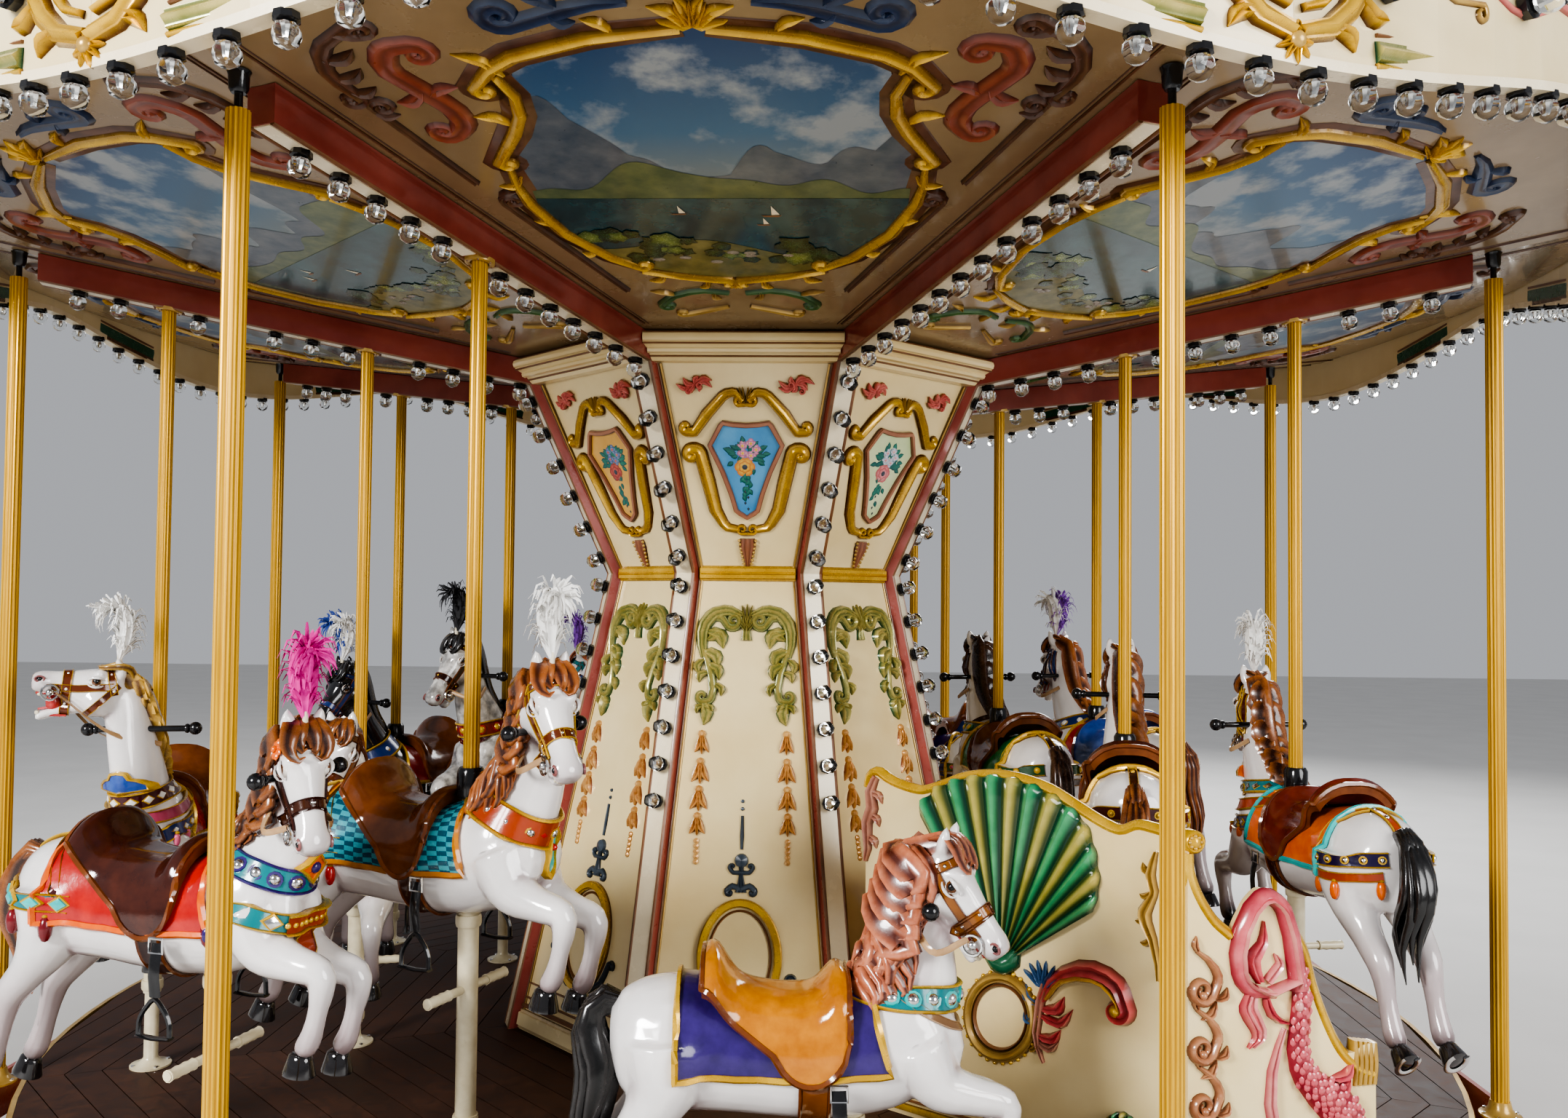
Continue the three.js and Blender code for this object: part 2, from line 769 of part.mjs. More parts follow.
function chariotInnerSide() {
  const outline = [
    [0, FIT_GAP],
    [CHARIOT_INNER_LENGTH, FIT_GAP],
    [CHARIOT_INNER_LENGTH, 450],
    [CHARIOT_INNER_LENGTH * 0.6, 800],
    [CHARIOT_INNER_LENGTH * 0.3, 850],
    [0, 1120],
  ];
  const start = onLine(CHARIOT_BACK_IN, CHARIOT_INNER_HEADING, CHARIOT_PANEL * 0.75);
  return uprightPanel(start, CHARIOT_INNER_HEADING, outline, CHARIOT_PANEL);
}

// The bench spans the three panels; its front edge runs parallel to the back
function chariotSeat() {
  const inset = CHARIOT_PANEL / 2 + FIT_GAP;
  const forward = backHeading + Math.PI / 2;
  const nearSide = onLine(CHARIOT_BACK_IN, forward, inset);
  const farSide = onLine(CHARIOT_BACK_OUT, forward, inset);
  const innerEdge = onLine(CHARIOT_BACK_IN, CHARIOT_INNER_HEADING - Math.PI / 2, inset);
  const outerEdge = onLine(CHARIOT_BACK_OUT, CHARIOT_SIDE_HEADING + Math.PI / 2, inset);
  const meet = (p, a, q, b) => {
    const cross = Math.cos(a) * Math.sin(b) - Math.sin(a) * Math.cos(b);
    const t = ((q.x - p.x) * Math.sin(b) - (q.y - p.y) * Math.cos(b)) / cross;
    return onLine(p, a, t);
  };
  const front = onLine(nearSide, forward, CHARIOT_SEAT_DEPTH);
  const clear = 25;
  const corners = [
    onLine(meet(nearSide, backHeading, innerEdge, CHARIOT_INNER_HEADING), backHeading, clear),
    onLine(meet(farSide, backHeading, outerEdge, CHARIOT_SIDE_HEADING), backHeading, -clear),
    onLine(meet(front, backHeading, outerEdge, CHARIOT_SIDE_HEADING), backHeading, -1),
    onLine(meet(front, backHeading, innerEdge, CHARIOT_INNER_HEADING), backHeading, 1),
  ];
  const ring = (z) => corners.map(({ x, y }) => [x, y, DECK_TOP + z]);
  const bench = toSolid(loft([ring(CHARIOT_SEAT_TOP - CHARIOT_SEAT_THICK), ring(CHARIOT_SEAT_TOP)]));
  const middle = onLine(corners[3], backHeading, corners[3].distanceTo(corners[2]) / 2);
  const riser = new THREE.BoxGeometry(700, 30, CHARIOT_SEAT_TOP - CHARIOT_SEAT_THICK);
  riser.translate(0, -60, (CHARIOT_SEAT_TOP - CHARIOT_SEAT_THICK) / 2 + FIT_GAP);
  riser.rotateZ(backHeading);
  riser.translate(middle.x, middle.y, DECK_TOP);
  return bench.add(toSolid(riser));
}

// Assembly

addMesh("base_frame", toGeometry(baseFrame()), STEEL);
addMesh("platform_deck", toGeometry(platformDeck()), DECK_WOOD);
addMesh("platform_skirt", toGeometry(platformSkirt()), SKIRT_PAINT);
addMesh("column_lower", toGeometry(columnLower()), CREAM);
addMesh("column_upper", toGeometry(columnUpper()), CREAM);
addMesh("column_cornice", toGeometry(columnCornice()), CREAM);
for (let i = 0; i < SWEEPS; i += 1) {
  addMesh(`sweep_beam_${i + 1}`, toGeometry(sweepBeam(i)), SWEEP_PAINT);
  addMesh(`outer_post_${i + 1}`, toGeometry(outerPost(i)), GOLD);
  addMesh(`rounding_board_${i + 1}`, toGeometry(roundingBoard(i)), CREAM);
}
addMesh("ceiling", toGeometry(ceiling()), CEILING_PAINT);
addMesh("roof_canopy", toGeometry(roofCanopy()), CANVAS);
addMesh("roof_finial", toGeometry(roofFinial()), GOLD);
JUMPERS.forEach(jumperHorse);
STANDERS.forEach(standerHorse);
addMesh("chariot_back", chariotBack(), CREAM);
addMesh("chariot_outer_side", chariotOuterSide(), CREAM);
addMesh("chariot_inner_side", chariotInnerSide(), CREAM);
addMesh("chariot_seat", toGeometry(chariotSeat()), SKIRT_PAINT);

export default root;
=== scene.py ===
# Fairground carousel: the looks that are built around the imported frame.
# Metres, +Z up, front bay facing -Y. Bays and sweeps are counted anticlockwise from above.
import math
import bpy
import numpy as np
from mathutils import Matrix, Vector
from mathutils.bvhtree import BVHTree


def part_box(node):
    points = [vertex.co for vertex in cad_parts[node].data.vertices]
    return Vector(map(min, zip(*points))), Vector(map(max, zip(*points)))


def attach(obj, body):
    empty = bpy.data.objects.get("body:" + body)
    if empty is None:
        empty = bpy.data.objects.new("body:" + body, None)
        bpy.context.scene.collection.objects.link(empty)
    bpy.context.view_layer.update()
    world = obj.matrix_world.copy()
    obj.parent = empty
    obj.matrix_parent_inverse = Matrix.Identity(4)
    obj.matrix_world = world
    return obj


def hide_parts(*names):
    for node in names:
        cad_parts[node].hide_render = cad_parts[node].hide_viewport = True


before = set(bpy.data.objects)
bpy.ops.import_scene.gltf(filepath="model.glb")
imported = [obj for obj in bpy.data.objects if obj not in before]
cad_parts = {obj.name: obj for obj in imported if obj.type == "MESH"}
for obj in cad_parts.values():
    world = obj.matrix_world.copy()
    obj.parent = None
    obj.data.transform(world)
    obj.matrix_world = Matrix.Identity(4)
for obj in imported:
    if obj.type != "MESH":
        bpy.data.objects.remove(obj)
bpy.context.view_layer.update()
draw = np.random.default_rng(11)

BAYS = 8
BAY = 2 * math.pi / BAYS
HALF_BAY = BAY / 2
FIRST_SWEEP = -math.pi / 2 - HALF_BAY
TURNING = "turntable"

# Heights and radii that the frame gives
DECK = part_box("column_lower")[0].z
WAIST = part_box("column_upper")[0].z
COLUMN_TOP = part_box("column_upper")[1].z
CORNICE_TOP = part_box("column_cornice")[1].z
DECK_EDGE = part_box("platform_deck")[1].x

# Column sizes: apothems of the octagon at the foot, waist and head, and the corner ribs
FOOT_APOTHEM = 1.005
WAIST_APOTHEM = 0.613
HEAD_APOTHEM = 0.959
RIB_WIDTH = 0.094
RIB_PROUD = 0.024
BULB_PITCH = 0.145

# Sweeps, ceiling and rounding boards
SWEEP_NEAR = 1.036
SWEEP_FAR = 2.93
POST_RADIUS = 3.0
SWEEP_RISE = 0.143
SWEEP_Z = DECK + 3.04
BOARD_RADIUS = 3.4
BOARD_THICK = 0.04
BEAM_HALF = 0.051
CEILING_NEAR = 0.97
CEILING_FAR = 3.36
CEILING_Z = 3.1114
CEILING_SLOPE = 0.1548
CEILING_STRETCH = math.hypot(1, CEILING_SLOPE)


# Gathering vertices and faces

class Shape:
    """Vertices, faces, material numbers and crest values gathered for one piece."""

    def __init__(self):
        self.points = []
        self.crests = []
        self.flats = []
        self.faces = []
        self.tones = []
        self.count = 0

    def add(self, points, faces, tone=0, crest=1.0, flat=None):
        points = np.asarray(points, float).reshape(-1, 3)
        size = len(points)
        self.points.append(points)
        self.crests.append(np.broadcast_to(np.ravel(crest), (size,)) if np.size(crest) == 1
                           else np.ravel(crest))
        self.flats.append(np.zeros((size, 2)) if flat is None else np.asarray(flat, float))
        self.faces += [[i + self.count for i in face] for face in faces]
        self.tones += [tone] * len(faces)
        self.count += size

    def grid(self, rows, wrap=False, caps=False, tone=0, crest=1.0, loop=False, flat=None):
        """Rows of equally many points joined by quads. wrap closes each row, loop joins the
        last row to the first, and caps close the two ends."""
        rows = np.asarray(rows, float)
        many, across = rows.shape[:2]
        index = np.arange(many * across).reshape(many, across)
        if loop:
            index = np.vstack([index, index[:1]])
        if wrap:
            index = np.hstack([index, index[:, :1]])
        quads = np.stack(
            [index[:-1, :-1], index[:-1, 1:], index[1:, 1:], index[1:, :-1]], -1).reshape(-1, 4)
        faces = quads.tolist()
        if caps:
            faces.append(list(range(across))[::-1])
            faces.append(list(range((many - 1) * across, many * across)))
        self.add(rows.reshape(-1, 3), faces, tone, crest, flat)

    def merge(self, other, matrix=None):
        points, crest, flat = other.arrays()
        if matrix is not None:
            turn = np.array(matrix, float)
            points = points @ turn[:3, :3].T + turn[:3, 3]
        self.points.append(points)
        self.crests.append(crest)
        self.flats.append(flat)
        self.faces += [[i + self.count for i in face] for face in other.faces]
        self.tones += other.tones
        self.count += len(points)
        return self

    def arrays(self):
        if not self.points:
            return np.zeros((0, 3)), np.zeros(0), np.zeros((0, 2))
        return np.vstack(self.points), np.concatenate(self.crests), np.vstack(self.flats)


def around(shape, steps=BAYS, turn=BAY):
    """Copies of a shape turned about the carousel's axis."""
    whole = Shape()
    for step in range(steps):
        whole.merge(shape, Matrix.Rotation(step * turn, 4, "Z"))
    return whole


def thinned(mesh, share):
    """The mesh with a share of its faces left, the flattest ones joined first."""
    made = bpy.data.objects.new("full", mesh)
    bpy.context.scene.collection.objects.link(made)
    fewer = made.modifiers.new("fewer", "DECIMATE")
    fewer.ratio = share
    graph = bpy.context.evaluated_depsgraph_get()
    done = bpy.data.meshes.new_from_object(made.evaluated_get(graph))
    done.name = mesh.name
    bpy.data.objects.remove(made)
    bpy.data.meshes.remove(mesh)
    return done


def piece(name, shape, materials, body=TURNING, replaces=(), sharp=40, share=1.0):
    """The gathered shape as one Blender object that rides on a body."""
    points, crest, flat = shape.arrays()
    mesh = bpy.data.meshes.new(name)
    mesh.from_pydata(points.tolist(), [], shape.faces)
    for material in materials:
        mesh.materials.append(material)
    mesh.polygons.foreach_set("material_index", np.array(shape.tones, np.int32))
    mesh.attributes.new("crest", "FLOAT", "POINT").data.foreach_set(
        "value", crest.astype(np.float32))
    layer = mesh.uv_layers.new(name="flat")
    corner = np.zeros(len(mesh.loops), np.int32)
    mesh.loops.foreach_get("vertex_index", corner)
    layer.data.foreach_set("uv", flat[corner].astype(np.float32).ravel())
    if share < 1:
        mesh = thinned(mesh, share)
    mesh.polygons.foreach_set("use_smooth", np.ones(len(mesh.polygons), bool))
    mesh.set_sharp_from_angle(angle=math.radians(sharp))
    mesh.validate()
    mesh.update()
    made = bpy.data.objects.new(name, mesh)
    bpy.context.scene.collection.objects.link(made)
    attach(made, body)
    if replaces:
        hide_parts(*replaces)
    return made


# Curves and sections

def full_turn(count):
    """Angles that divide a full turn evenly."""
    return np.linspace(0, 2 * math.pi, count, endpoint=False)


def polar(radius, angle, x=0.0, y=0.0):
    """A point at a distance and an angle from a centre."""
    return x + radius * math.cos(angle), y + radius * math.sin(angle)


def level_ring(radius, angles, z):
    """Points round the vertical axis, all at a height or each at its own."""
    return np.column_stack([radius * np.cos(angles), radius * np.sin(angles), np.full(len(angles), z)])


def axes_matrix(x, y, z, origin):
    """A frame with the given axes and origin."""
    rows = np.column_stack([x, y, z, origin])
    return Matrix([*rows.tolist(), (0, 0, 0, 1)])


def curve(points, steps=24):
    """A smooth line through a few points, evenly stepped."""
    points = np.asarray(points, float)
    ends = np.vstack([2 * points[0] - points[1], points, 2 * points[-1] - points[-2]])
    fine = []
    for i in range(len(points) - 1):
        a, b, c, d = ends[i:i + 4]
        for t in np.linspace(0, 1, 12, endpoint=False):
            fine.append(0.5 * (2 * b + (c - a) * t + (2 * a - 5 * b + 4 * c - d) * t * t
                               + (3 * b - a - 3 * c + d) * t ** 3))
    fine.append(points[-1])
    return stepped(np.array(fine), steps)


def stepped(path, steps):
    """The same line with points at even distances."""
    gone = np.concatenate([[0], np.cumsum(np.linalg.norm(np.diff(path, axis=0), axis=1))])
    at = np.linspace(0, gone[-1], steps)
    return np.stack([np.interp(at, gone, path[:, k]) for k in range(path.shape[1])], 1)


def curl(path, radius, turns, side, shrink=0.25, steps=22):
    """A flat path carried on into a spiral that winds inwards; side 1 turns left, -1 right."""
    end = path[-1]
    ahead = path[-1] - path[-2]
    ahead = ahead / np.linalg.norm(ahead)
    centre = end + side * radius * np.array([-ahead[1], ahead[0]])
    start = math.atan2(end[1] - centre[1], end[0] - centre[0])
    share = np.linspace(0, 1, steps)[1:]
    out = radius * (1 - (1 - shrink) * share)
    turn = start + side * turns * 2 * math.pi * share
    spiral = centre + np.stack([out * np.cos(turn), out * np.sin(turn)], 1)
    return np.vstack([path, spiral])


def mirrored(path):
    return np.asarray(path, float) * np.array([-1, 1])


def along(keys, steps):
    """Values that change evenly between the given ones."""
    return np.interp(np.linspace(0, 1, steps), np.linspace(0, 1, len(keys)), keys)


def outline_ridged(ridges, steps, depth):
    """Upper outline of a moulding whose swell is split into ridges."""
    side = np.linspace(-1, 1, steps)
    swell = np.sqrt(np.clip(1 - side ** 2, 0, 1))
    return np.stack([side, swell * (1 - depth + depth * np.cos(ridges * math.pi * side))], 1)


ROUND = np.array([[-1, 0], [-0.72, 0.7], [0, 1], [0.72, 0.7], [1, 0]])
REEDED = outline_ridged(2, 9, 0.20)
LEAF = np.array([[-1, 0], [-0.5, 1], [0, 0.5], [0.5, 1], [1, 0]])
FLUTED = outline_ridged(3, 13, 0.24)
BAND = np.array([[-1, 0], [-0.9, 1], [0.9, 1], [1, 0]])
STEPPED = np.array([[-1, 0], [-0.95, 0.55], [-0.7, 0.6], [-0.62, 1], [0.62, 1], [0.7, 0.6],
                    [0.95, 0.55], [1, 0]])
BEND_STEP = 0.26
SWELL_STEP = 0.22


def sparse(ahead, wide, high):
    """Places along a line where it has turned or swelled enough to need a ring of points."""
    kept = [0]
    for i in range(1, len(ahead) - 1):
        last = kept[-1]
        turned = math.acos(float(np.clip(ahead[last] @ ahead[i], -1, 1)))
        swelled = max(abs(wide[i] - wide[last]) / wide.max(), abs(high[i] - high[last]) / high.max())
        if turned > BEND_STEP or swelled > SWELL_STEP:
            kept.append(i)
    return kept + [len(ahead) - 1]


def relief(shape, path, width, height, section=ROUND, tone=0, loop=False, base=0.0, sink=0.003):
    """A moulding along a flat path, raised from the plane by its section."""
    path = np.asarray(path, float)
    steps = len(path)
    if loop:
        ahead = np.roll(path, -1, 0) - np.roll(path, 1, 0)
    else:
        ahead = np.gradient(path, axis=0)
    ahead /= np.maximum(np.linalg.norm(ahead, axis=1, keepdims=True), 1e-9)
    wide = along(width, steps) if np.size(width) > 1 else np.full(steps, float(width))
    high = along(height, steps) if np.size(height) > 1 else np.full(steps, float(height))
    if not loop:
        kept = sparse(ahead, wide, high)
        path, ahead, wide, high = path[kept], ahead[kept], wide[kept], high[kept]
    side = np.stack([-ahead[:, 1], ahead[:, 0]], 1)
    section = section[::-1]
    across = section[:, 0][None, :, None] * wide[:, None, None] / 2
    flat = path[:, None, :] + side[:, None, :] * across
    level = base + section[:, 1][None, :] * high[:, None]
    level[:, [0, -1]] = base - sink
    rows = np.concatenate([flat, level[..., None]], -1)
    # crest falls to 0 at the moulding's foot, where paints with a deep tone lay painted shade
    crest = np.clip(np.broadcast_to(section[:, 1], level.shape), 0, 1)
    shape.grid(rows, wrap=True, caps=not loop, tone=tone, crest=crest, loop=loop)


def lathe(shape, profile, sides=16, tone=0, matrix=None, crest=1.0, flutes=0, depth=0.0):
    """A turned form; the profile lists radius and height from one end to the other."""
    profile = np.asarray(profile, float)
    angle = full_turn(sides)
    ripple = 1 + depth * np.cos(flutes * angle) if flutes else np.ones(sides)
    ring = np.stack([np.cos(angle) * ripple, np.sin(angle) * ripple], 1)
    flat = ring[None, :, :] * profile[:, 0][:, None, None]
    level = np.broadcast_to(profile[:, 1][:, None, None], (len(profile), sides, 1))
    rows = np.concatenate([flat, level], -1)
    crest = np.broadcast_to(np.asarray(crest, float)[..., None] if np.ndim(crest) else crest,
                            (len(profile), sides))
    made = Shape()
    made.grid(rows, wrap=True, caps=True, tone=tone, crest=crest)
    shape.merge(made, matrix)


def tube(shape, path, radius, sides=8, tone=0, flatten=1.0, up=(0, 0, 1), crest=1.0, caps=True,
         section=None):
    """A round or oval tube along a line in space."""
    path = np.asarray(path, float)
    steps = len(path)
    ahead = np.gradient(path, axis=0)
    ahead /= np.maximum(np.linalg.norm(ahead, axis=1, keepdims=True), 1e-9)
    side = np.cross(ahead, np.broadcast_to(np.asarray(up, float), ahead.shape))
    short = np.linalg.norm(side, axis=1) < 1e-4
    side[short] = np.cross(ahead[short], (1, 0, 0))
    side /= np.linalg.norm(side, axis=1, keepdims=True)
    lift = np.cross(side, ahead)
    size = along(radius, steps) if np.size(radius) > 1 else np.full(steps, float(radius))
    if section is None:
        turn = full_turn(sides)
        section = np.stack([np.cos(turn), np.sin(turn)], 1)
    rows = (path[:, None, :] + side[:, None, :] * (section[:, 0][None, :] * size[:, None])[..., None]
            + lift[:, None, :] * (section[:, 1][None, :] * size[:, None] * flatten)[..., None])
    shape.grid(rows, wrap=True, caps=caps, tone=tone, crest=crest)


def plane_matrix(angle, near, near_z, far, far_z):
    """A frame on a sloping octagon face: x runs across it, y along its slope, z out of it."""
    out = Vector((math.cos(angle), math.sin(angle), 0))
    across = Vector((-math.sin(angle), math.cos(angle), 0))
    slope = (out * (far - near) + Vector((0, 0, far_z - near_z))).normalized()
    normal = across.cross(slope)
    origin = out * near + Vector((0, 0, near_z))
    return axes_matrix(across, slope, normal, origin)


# Materials

def material(name):
    made = bpy.data.materials.new(name)
    made.use_nodes = True
    return made, made.node_tree.nodes, made.node_tree.links


def ramp(nodes, stops):
    node = nodes.new("ShaderNodeValToRGB")
    band = node.color_ramp
    while len(band.elements) < len(stops):
        band.elements.new(0.5)
    for element, (at, color) in zip(band.elements, stops):
        element.position = at
        element.color = (*color, 1)
    return node


def noise(nodes, links, place, scale, detail=3.0, rough=0.5):
    node = nodes.new("ShaderNodeTexNoise")
    node.inputs["Scale"].default_value = scale
    node.inputs["Detail"].default_value = detail
    node.inputs["Roughness"].default_value = rough
    links.new(place, node.inputs["Vector"])
    return node.outputs["Fac"]


def between(nodes, links, value, low, high):
    """A value of 0 to 1 made to run from low to high."""
    node = nodes.new("ShaderNodeMapRange")
    node.inputs["To Min"].default_value = low
    node.inputs["To Max"].default_value = high
    links.new(value, node.inputs["Value"])
    return node.outputs["Result"]


def blend(nodes, links, share, low, high):
    """A colour between two, by a share; either can be a colour or another node's output."""
    node = nodes.new("ShaderNodeMix")
    node.data_type = "RGBA"
    links.new(share, node.inputs["Factor"])
    for name, value in (("A", low), ("B", high)):
        if isinstance(value, tuple):
            node.inputs[name].default_value = (*value, 1)
        else:
            links.new(value, node.inputs[name])
    return node.outputs["Result"]


def crest_value(nodes):
    """How high a point lies on its relief, as the piece's vertices tell; low values take painted shade in
    paints with a deep tone, and on a horse's coat it holds the coat's painted shade and darker parts.
    """
    node = nodes.new("ShaderNodeAttribute")
    node.attribute_name = "crest"
    return node.outputs["Fac"]


def shaded(nodes, links, value, stops):
    """The colours of a ramp, picked by a value."""
    node = ramp(nodes, stops)
    links.new(value, node.inputs["Fac"])
    return node.outputs["Color"]


def object_place(nodes):
    return nodes.new("ShaderNodeTexCoord").outputs["Object"]


def bump(nodes, links, height, strength, distance, shader):
    node = nodes.new("ShaderNodeBump")
    node.inputs["Strength"].default_value = strength
    node.inputs["Distance"].default_value = distance
    links.new(height, node.inputs["Height"])
    links.new(node.outputs["Normal"], shader.inputs["Normal"])


def paint(name, dark, light, deep=None, grain=6.0, rough=0.25, metal=0.0, coat=0.3,
          relief_bump=0.15, bump_scale=60.0):
    """Painted surface: two tones mixed by noise, a deeper tone where the crest value is low, which on
    reliefs, straps, hair and cushions is painted shade in their recesses, fine unevenness, and a roughness
    that varies."""
    made, nodes, links = material(name)
    shader = nodes["Principled BSDF"]
    place = object_place(nodes)
    blotch = noise(nodes, links, place, grain, 4.0, 0.55)
    color = shaded(nodes, links, blotch, [(0.3, dark), (0.7, light)])
    # painted shade: the deep tone is blended in where the crest value is low, in the recesses
    if deep is not None:
        soft = nodes.new("ShaderNodeMapRange")
        soft.inputs["From Min"].default_value = 0.15
        soft.inputs["From Max"].default_value = 0.85
        links.new(crest_value(nodes), soft.inputs["Value"])
        color = blend(nodes, links, soft.outputs["Result"], deep, color)
    links.new(color, shader.inputs["Base Color"])
    fine = noise(nodes, links, place, bump_scale, 3.0, 0.6)
    gloss = between(nodes, links, noise(nodes, links, place, grain * 2.5, 5.0, 0.6),
                    max(0.02, rough - 0.08), rough + 0.1)
    links.new(gloss, shader.inputs["Roughness"])
    shader.inputs["Metallic"].default_value = metal
    shader.inputs["Coat Weight"].default_value = coat
    shader.inputs["Coat Roughness"].default_value = 0.08
    bump(nodes, links, fine, relief_bump, 0.002, shader)
    return made


# The deep tones below are painted shade in the recesses of reliefs; on green_gold and pink_gold they also
# give the green and the pink of the two-tone paint.
CREAM = paint("cream", (0.78, 0.61, 0.31), (0.88, 0.73, 0.42), rough=0.20, grain=2.5, coat=0.5)
CREAM_TRIM = paint("cream_trim", (0.70, 0.57, 0.32), (0.82, 0.70, 0.44), deep=(0.26, 0.12, 0.04),
                   rough=0.25, grain=4)
WHITE = paint("white_strip", (0.80, 0.68, 0.46), (0.88, 0.78, 0.58), rough=0.25, grain=5)
RED = paint("old_red", (0.30, 0.060, 0.048), (0.42, 0.11, 0.085), rough=0.28, grain=5)
SWEEP_RED = paint("sweep_red", (0.22, 0.042, 0.032), (0.34, 0.080, 0.060), rough=0.22, grain=4, coat=0.6)
BROWN = paint("brown_line", (0.16, 0.065, 0.025), (0.27, 0.12, 0.05), rough=0.4, grain=9)
GOLD = paint("gold", (0.56, 0.32, 0.03), (0.80, 0.52, 0.08), deep=(0.12, 0.045, 0.008), metal=0.35,
             rough=0.26, grain=9, coat=0.4)
OLD_GOLD = paint("old_gold", (0.40, 0.24, 0.06), (0.62, 0.42, 0.13), deep=(0.12, 0.06, 0.02),
                 metal=0.3, rough=0.3, grain=10)
GREEN_GOLD = paint("green_gold", (0.33, 0.30, 0.08), (0.56, 0.47, 0.18), deep=(0.002, 0.085, 0.040),
                   rough=0.25, grain=16, metal=0.2)
PINK_GOLD = paint("pink_gold", (0.56, 0.27, 0.09), (0.76, 0.47, 0.19), deep=(0.20, 0.030, 0.018),
                  rough=0.25, grain=18, metal=0.2)
PINK = paint("pink_relief", (0.58, 0.12, 0.11), (0.76, 0.26, 0.22), deep=(0.26, 0.07, 0.03),
             rough=0.22, grain=12)
DARK_BLUE = paint("dark_blue", (0.035, 0.05, 0.07), (0.09, 0.12, 0.15), deep=(0.01, 0.012, 0.015),
                  rough=0.3, grain=12)
BLACK = paint("black_gloss", (0.008, 0.008, 0.009), (0.02, 0.02, 0.022), rough=0.15, grain=8)


def glass_material():
    """Clear globes with a slightly uneven gloss."""
    made, nodes, links = material("clear_glass")
    shader = nodes["Principled BSDF"]
    place = object_place(nodes)
    tone = shaded(nodes, links, noise(nodes, links, place, 30.0),
                  [(0.2, (0.86, 0.88, 0.87)), (0.8, (1.0, 1.0, 0.98))])
    links.new(tone, shader.inputs["Base Color"])
    shader.inputs["Transmission Weight"].default_value = 1.0
    shader.inputs["Roughness"].default_value = 0.02
    shader.inputs["IOR"].default_value = 1.42
    bump(nodes, links, noise(nodes, links, place, 120.0), 0.05, 0.001, shader)
    return made


def brass_material():
    """Polished reeded tube: warm yellow with fine upright streaks, and painted shade darkening the grooves.
    """
    made, nodes, links = material("reeded_brass")
    shader = nodes["Principled BSDF"]
    place = object_place(nodes)
    stretch = nodes.new("ShaderNodeMapping")
    stretch.inputs["Scale"].default_value = (60.0, 60.0, 2.0)
    links.new(place, stretch.inputs["Vector"])
    streak = noise(nodes, links, stretch.outputs["Vector"], 3.0, 5.0, 0.6)
    tone = shaded(nodes, links, streak, [(0.25, (0.64, 0.36, 0.030)), (0.75, (0.88, 0.57, 0.085))])
    # painted shade: darker colour in the grooves of the flutes, by the crest value
    color = blend(nodes, links, crest_value(nodes), (0.42, 0.21, 0.022), tone)
    links.new(color, shader.inputs["Base Color"])
    links.new(between(nodes, links, streak, 0.26, 0.46), shader.inputs["Roughness"])
    shader.inputs["Metallic"].default_value = 0.3
    bump(nodes, links, streak, 0.2, 0.001, shader)
    return made


def plank_material(name, dark, light, scale=14.0, rough=0.35):
    """Varnished boards: long grain, board to board variation by the crest value."""
    made, nodes, links = material(name)
    shader = nodes["Principled BSDF"]
    place = object_place(nodes)
    wave = nodes.new("ShaderNodeTexNoise")
    wave.inputs["Scale"].default_value = scale
    wave.inputs["Detail"].default_value = 6.0
    wave.inputs["Distortion"].default_value = 1.2
    links.new(place, wave.inputs["Vector"])
    tone = shaded(nodes, links, wave.outputs["Fac"], [(0.25, dark), (0.75, light)])
    color = blend(nodes, links, crest_value(nodes), tuple(c * 0.45 for c in dark), tone)
    links.new(color, shader.inputs["Base Color"])
    gloss = between(nodes, links, wave.outputs["Fac"], rough - 0.1, rough + 0.15)
    links.new(gloss, shader.inputs["Roughness"])
    bump(nodes, links, wave.outputs["Fac"], 0.3, 0.002, shader)
    return made


GLASS = glass_material()
BRASS = brass_material()
DECK_WOOD = plank_material("deck_boards", (0.045, 0.019, 0.012), (0.12, 0.052, 0.030), rough=0.55)
CHROME = paint("chrome", (0.62, 0.62, 0.62), (0.78, 0.78, 0.77), metal=1.0, rough=0.16, coat=0.0)
STEEL = paint("dark_steel", (0.03, 0.03, 0.032), (0.07, 0.07, 0.075), metal=0.6, rough=0.45, coat=0.0)
CANVAS = paint("canvas", (0.50, 0.40, 0.24), (0.62, 0.52, 0.33), rough=0.8, grain=3, coat=0.0,
               relief_bump=0.5, bump_scale=220)
# Ceiling ground: brown-beige paint, made darker as painted shade.
CEILING_PAINT_AND_SHADE = paint("ceiling_paint", (0.24, 0.16, 0.085), (0.34, 0.24, 0.13), rough=0.25, grain=2,
                      coat=0.4)
CREAM_TUBE = paint("cream_tube", (0.62, 0.54, 0.36), (0.78, 0.71, 0.52), rough=0.3, grain=14)


# Bulbs

GLOBE = [(0.013, 0.008), (0.018, 0.020), (0.029, 0.034), (0.031, 0.048), (0.024, 0.066),
         (0.009, 0.075)]
SOCKET = [(0.028, 0.0), (0.030, 0.016), (0.018, 0.024)]
HEART = [(0.025, 0.0245), (0.012, 0.030), (0.006, 0.052)]


def bulb(shape, place, out):
    """A clear fluted globe in a black socket, standing out of a surface."""
    out = Vector(out).normalized()
    matrix = Matrix.Translation(Vector(place)) @ out.to_track_quat("Z", "Y").to_matrix().to_4x4()
    lathe(shape, SOCKET, 8, 1, matrix)
    lathe(shape, GLOBE, 10, 0, matrix, flutes=5, depth=0.05)
    lathe(shape, HEART, 7, 2, matrix)


# Column

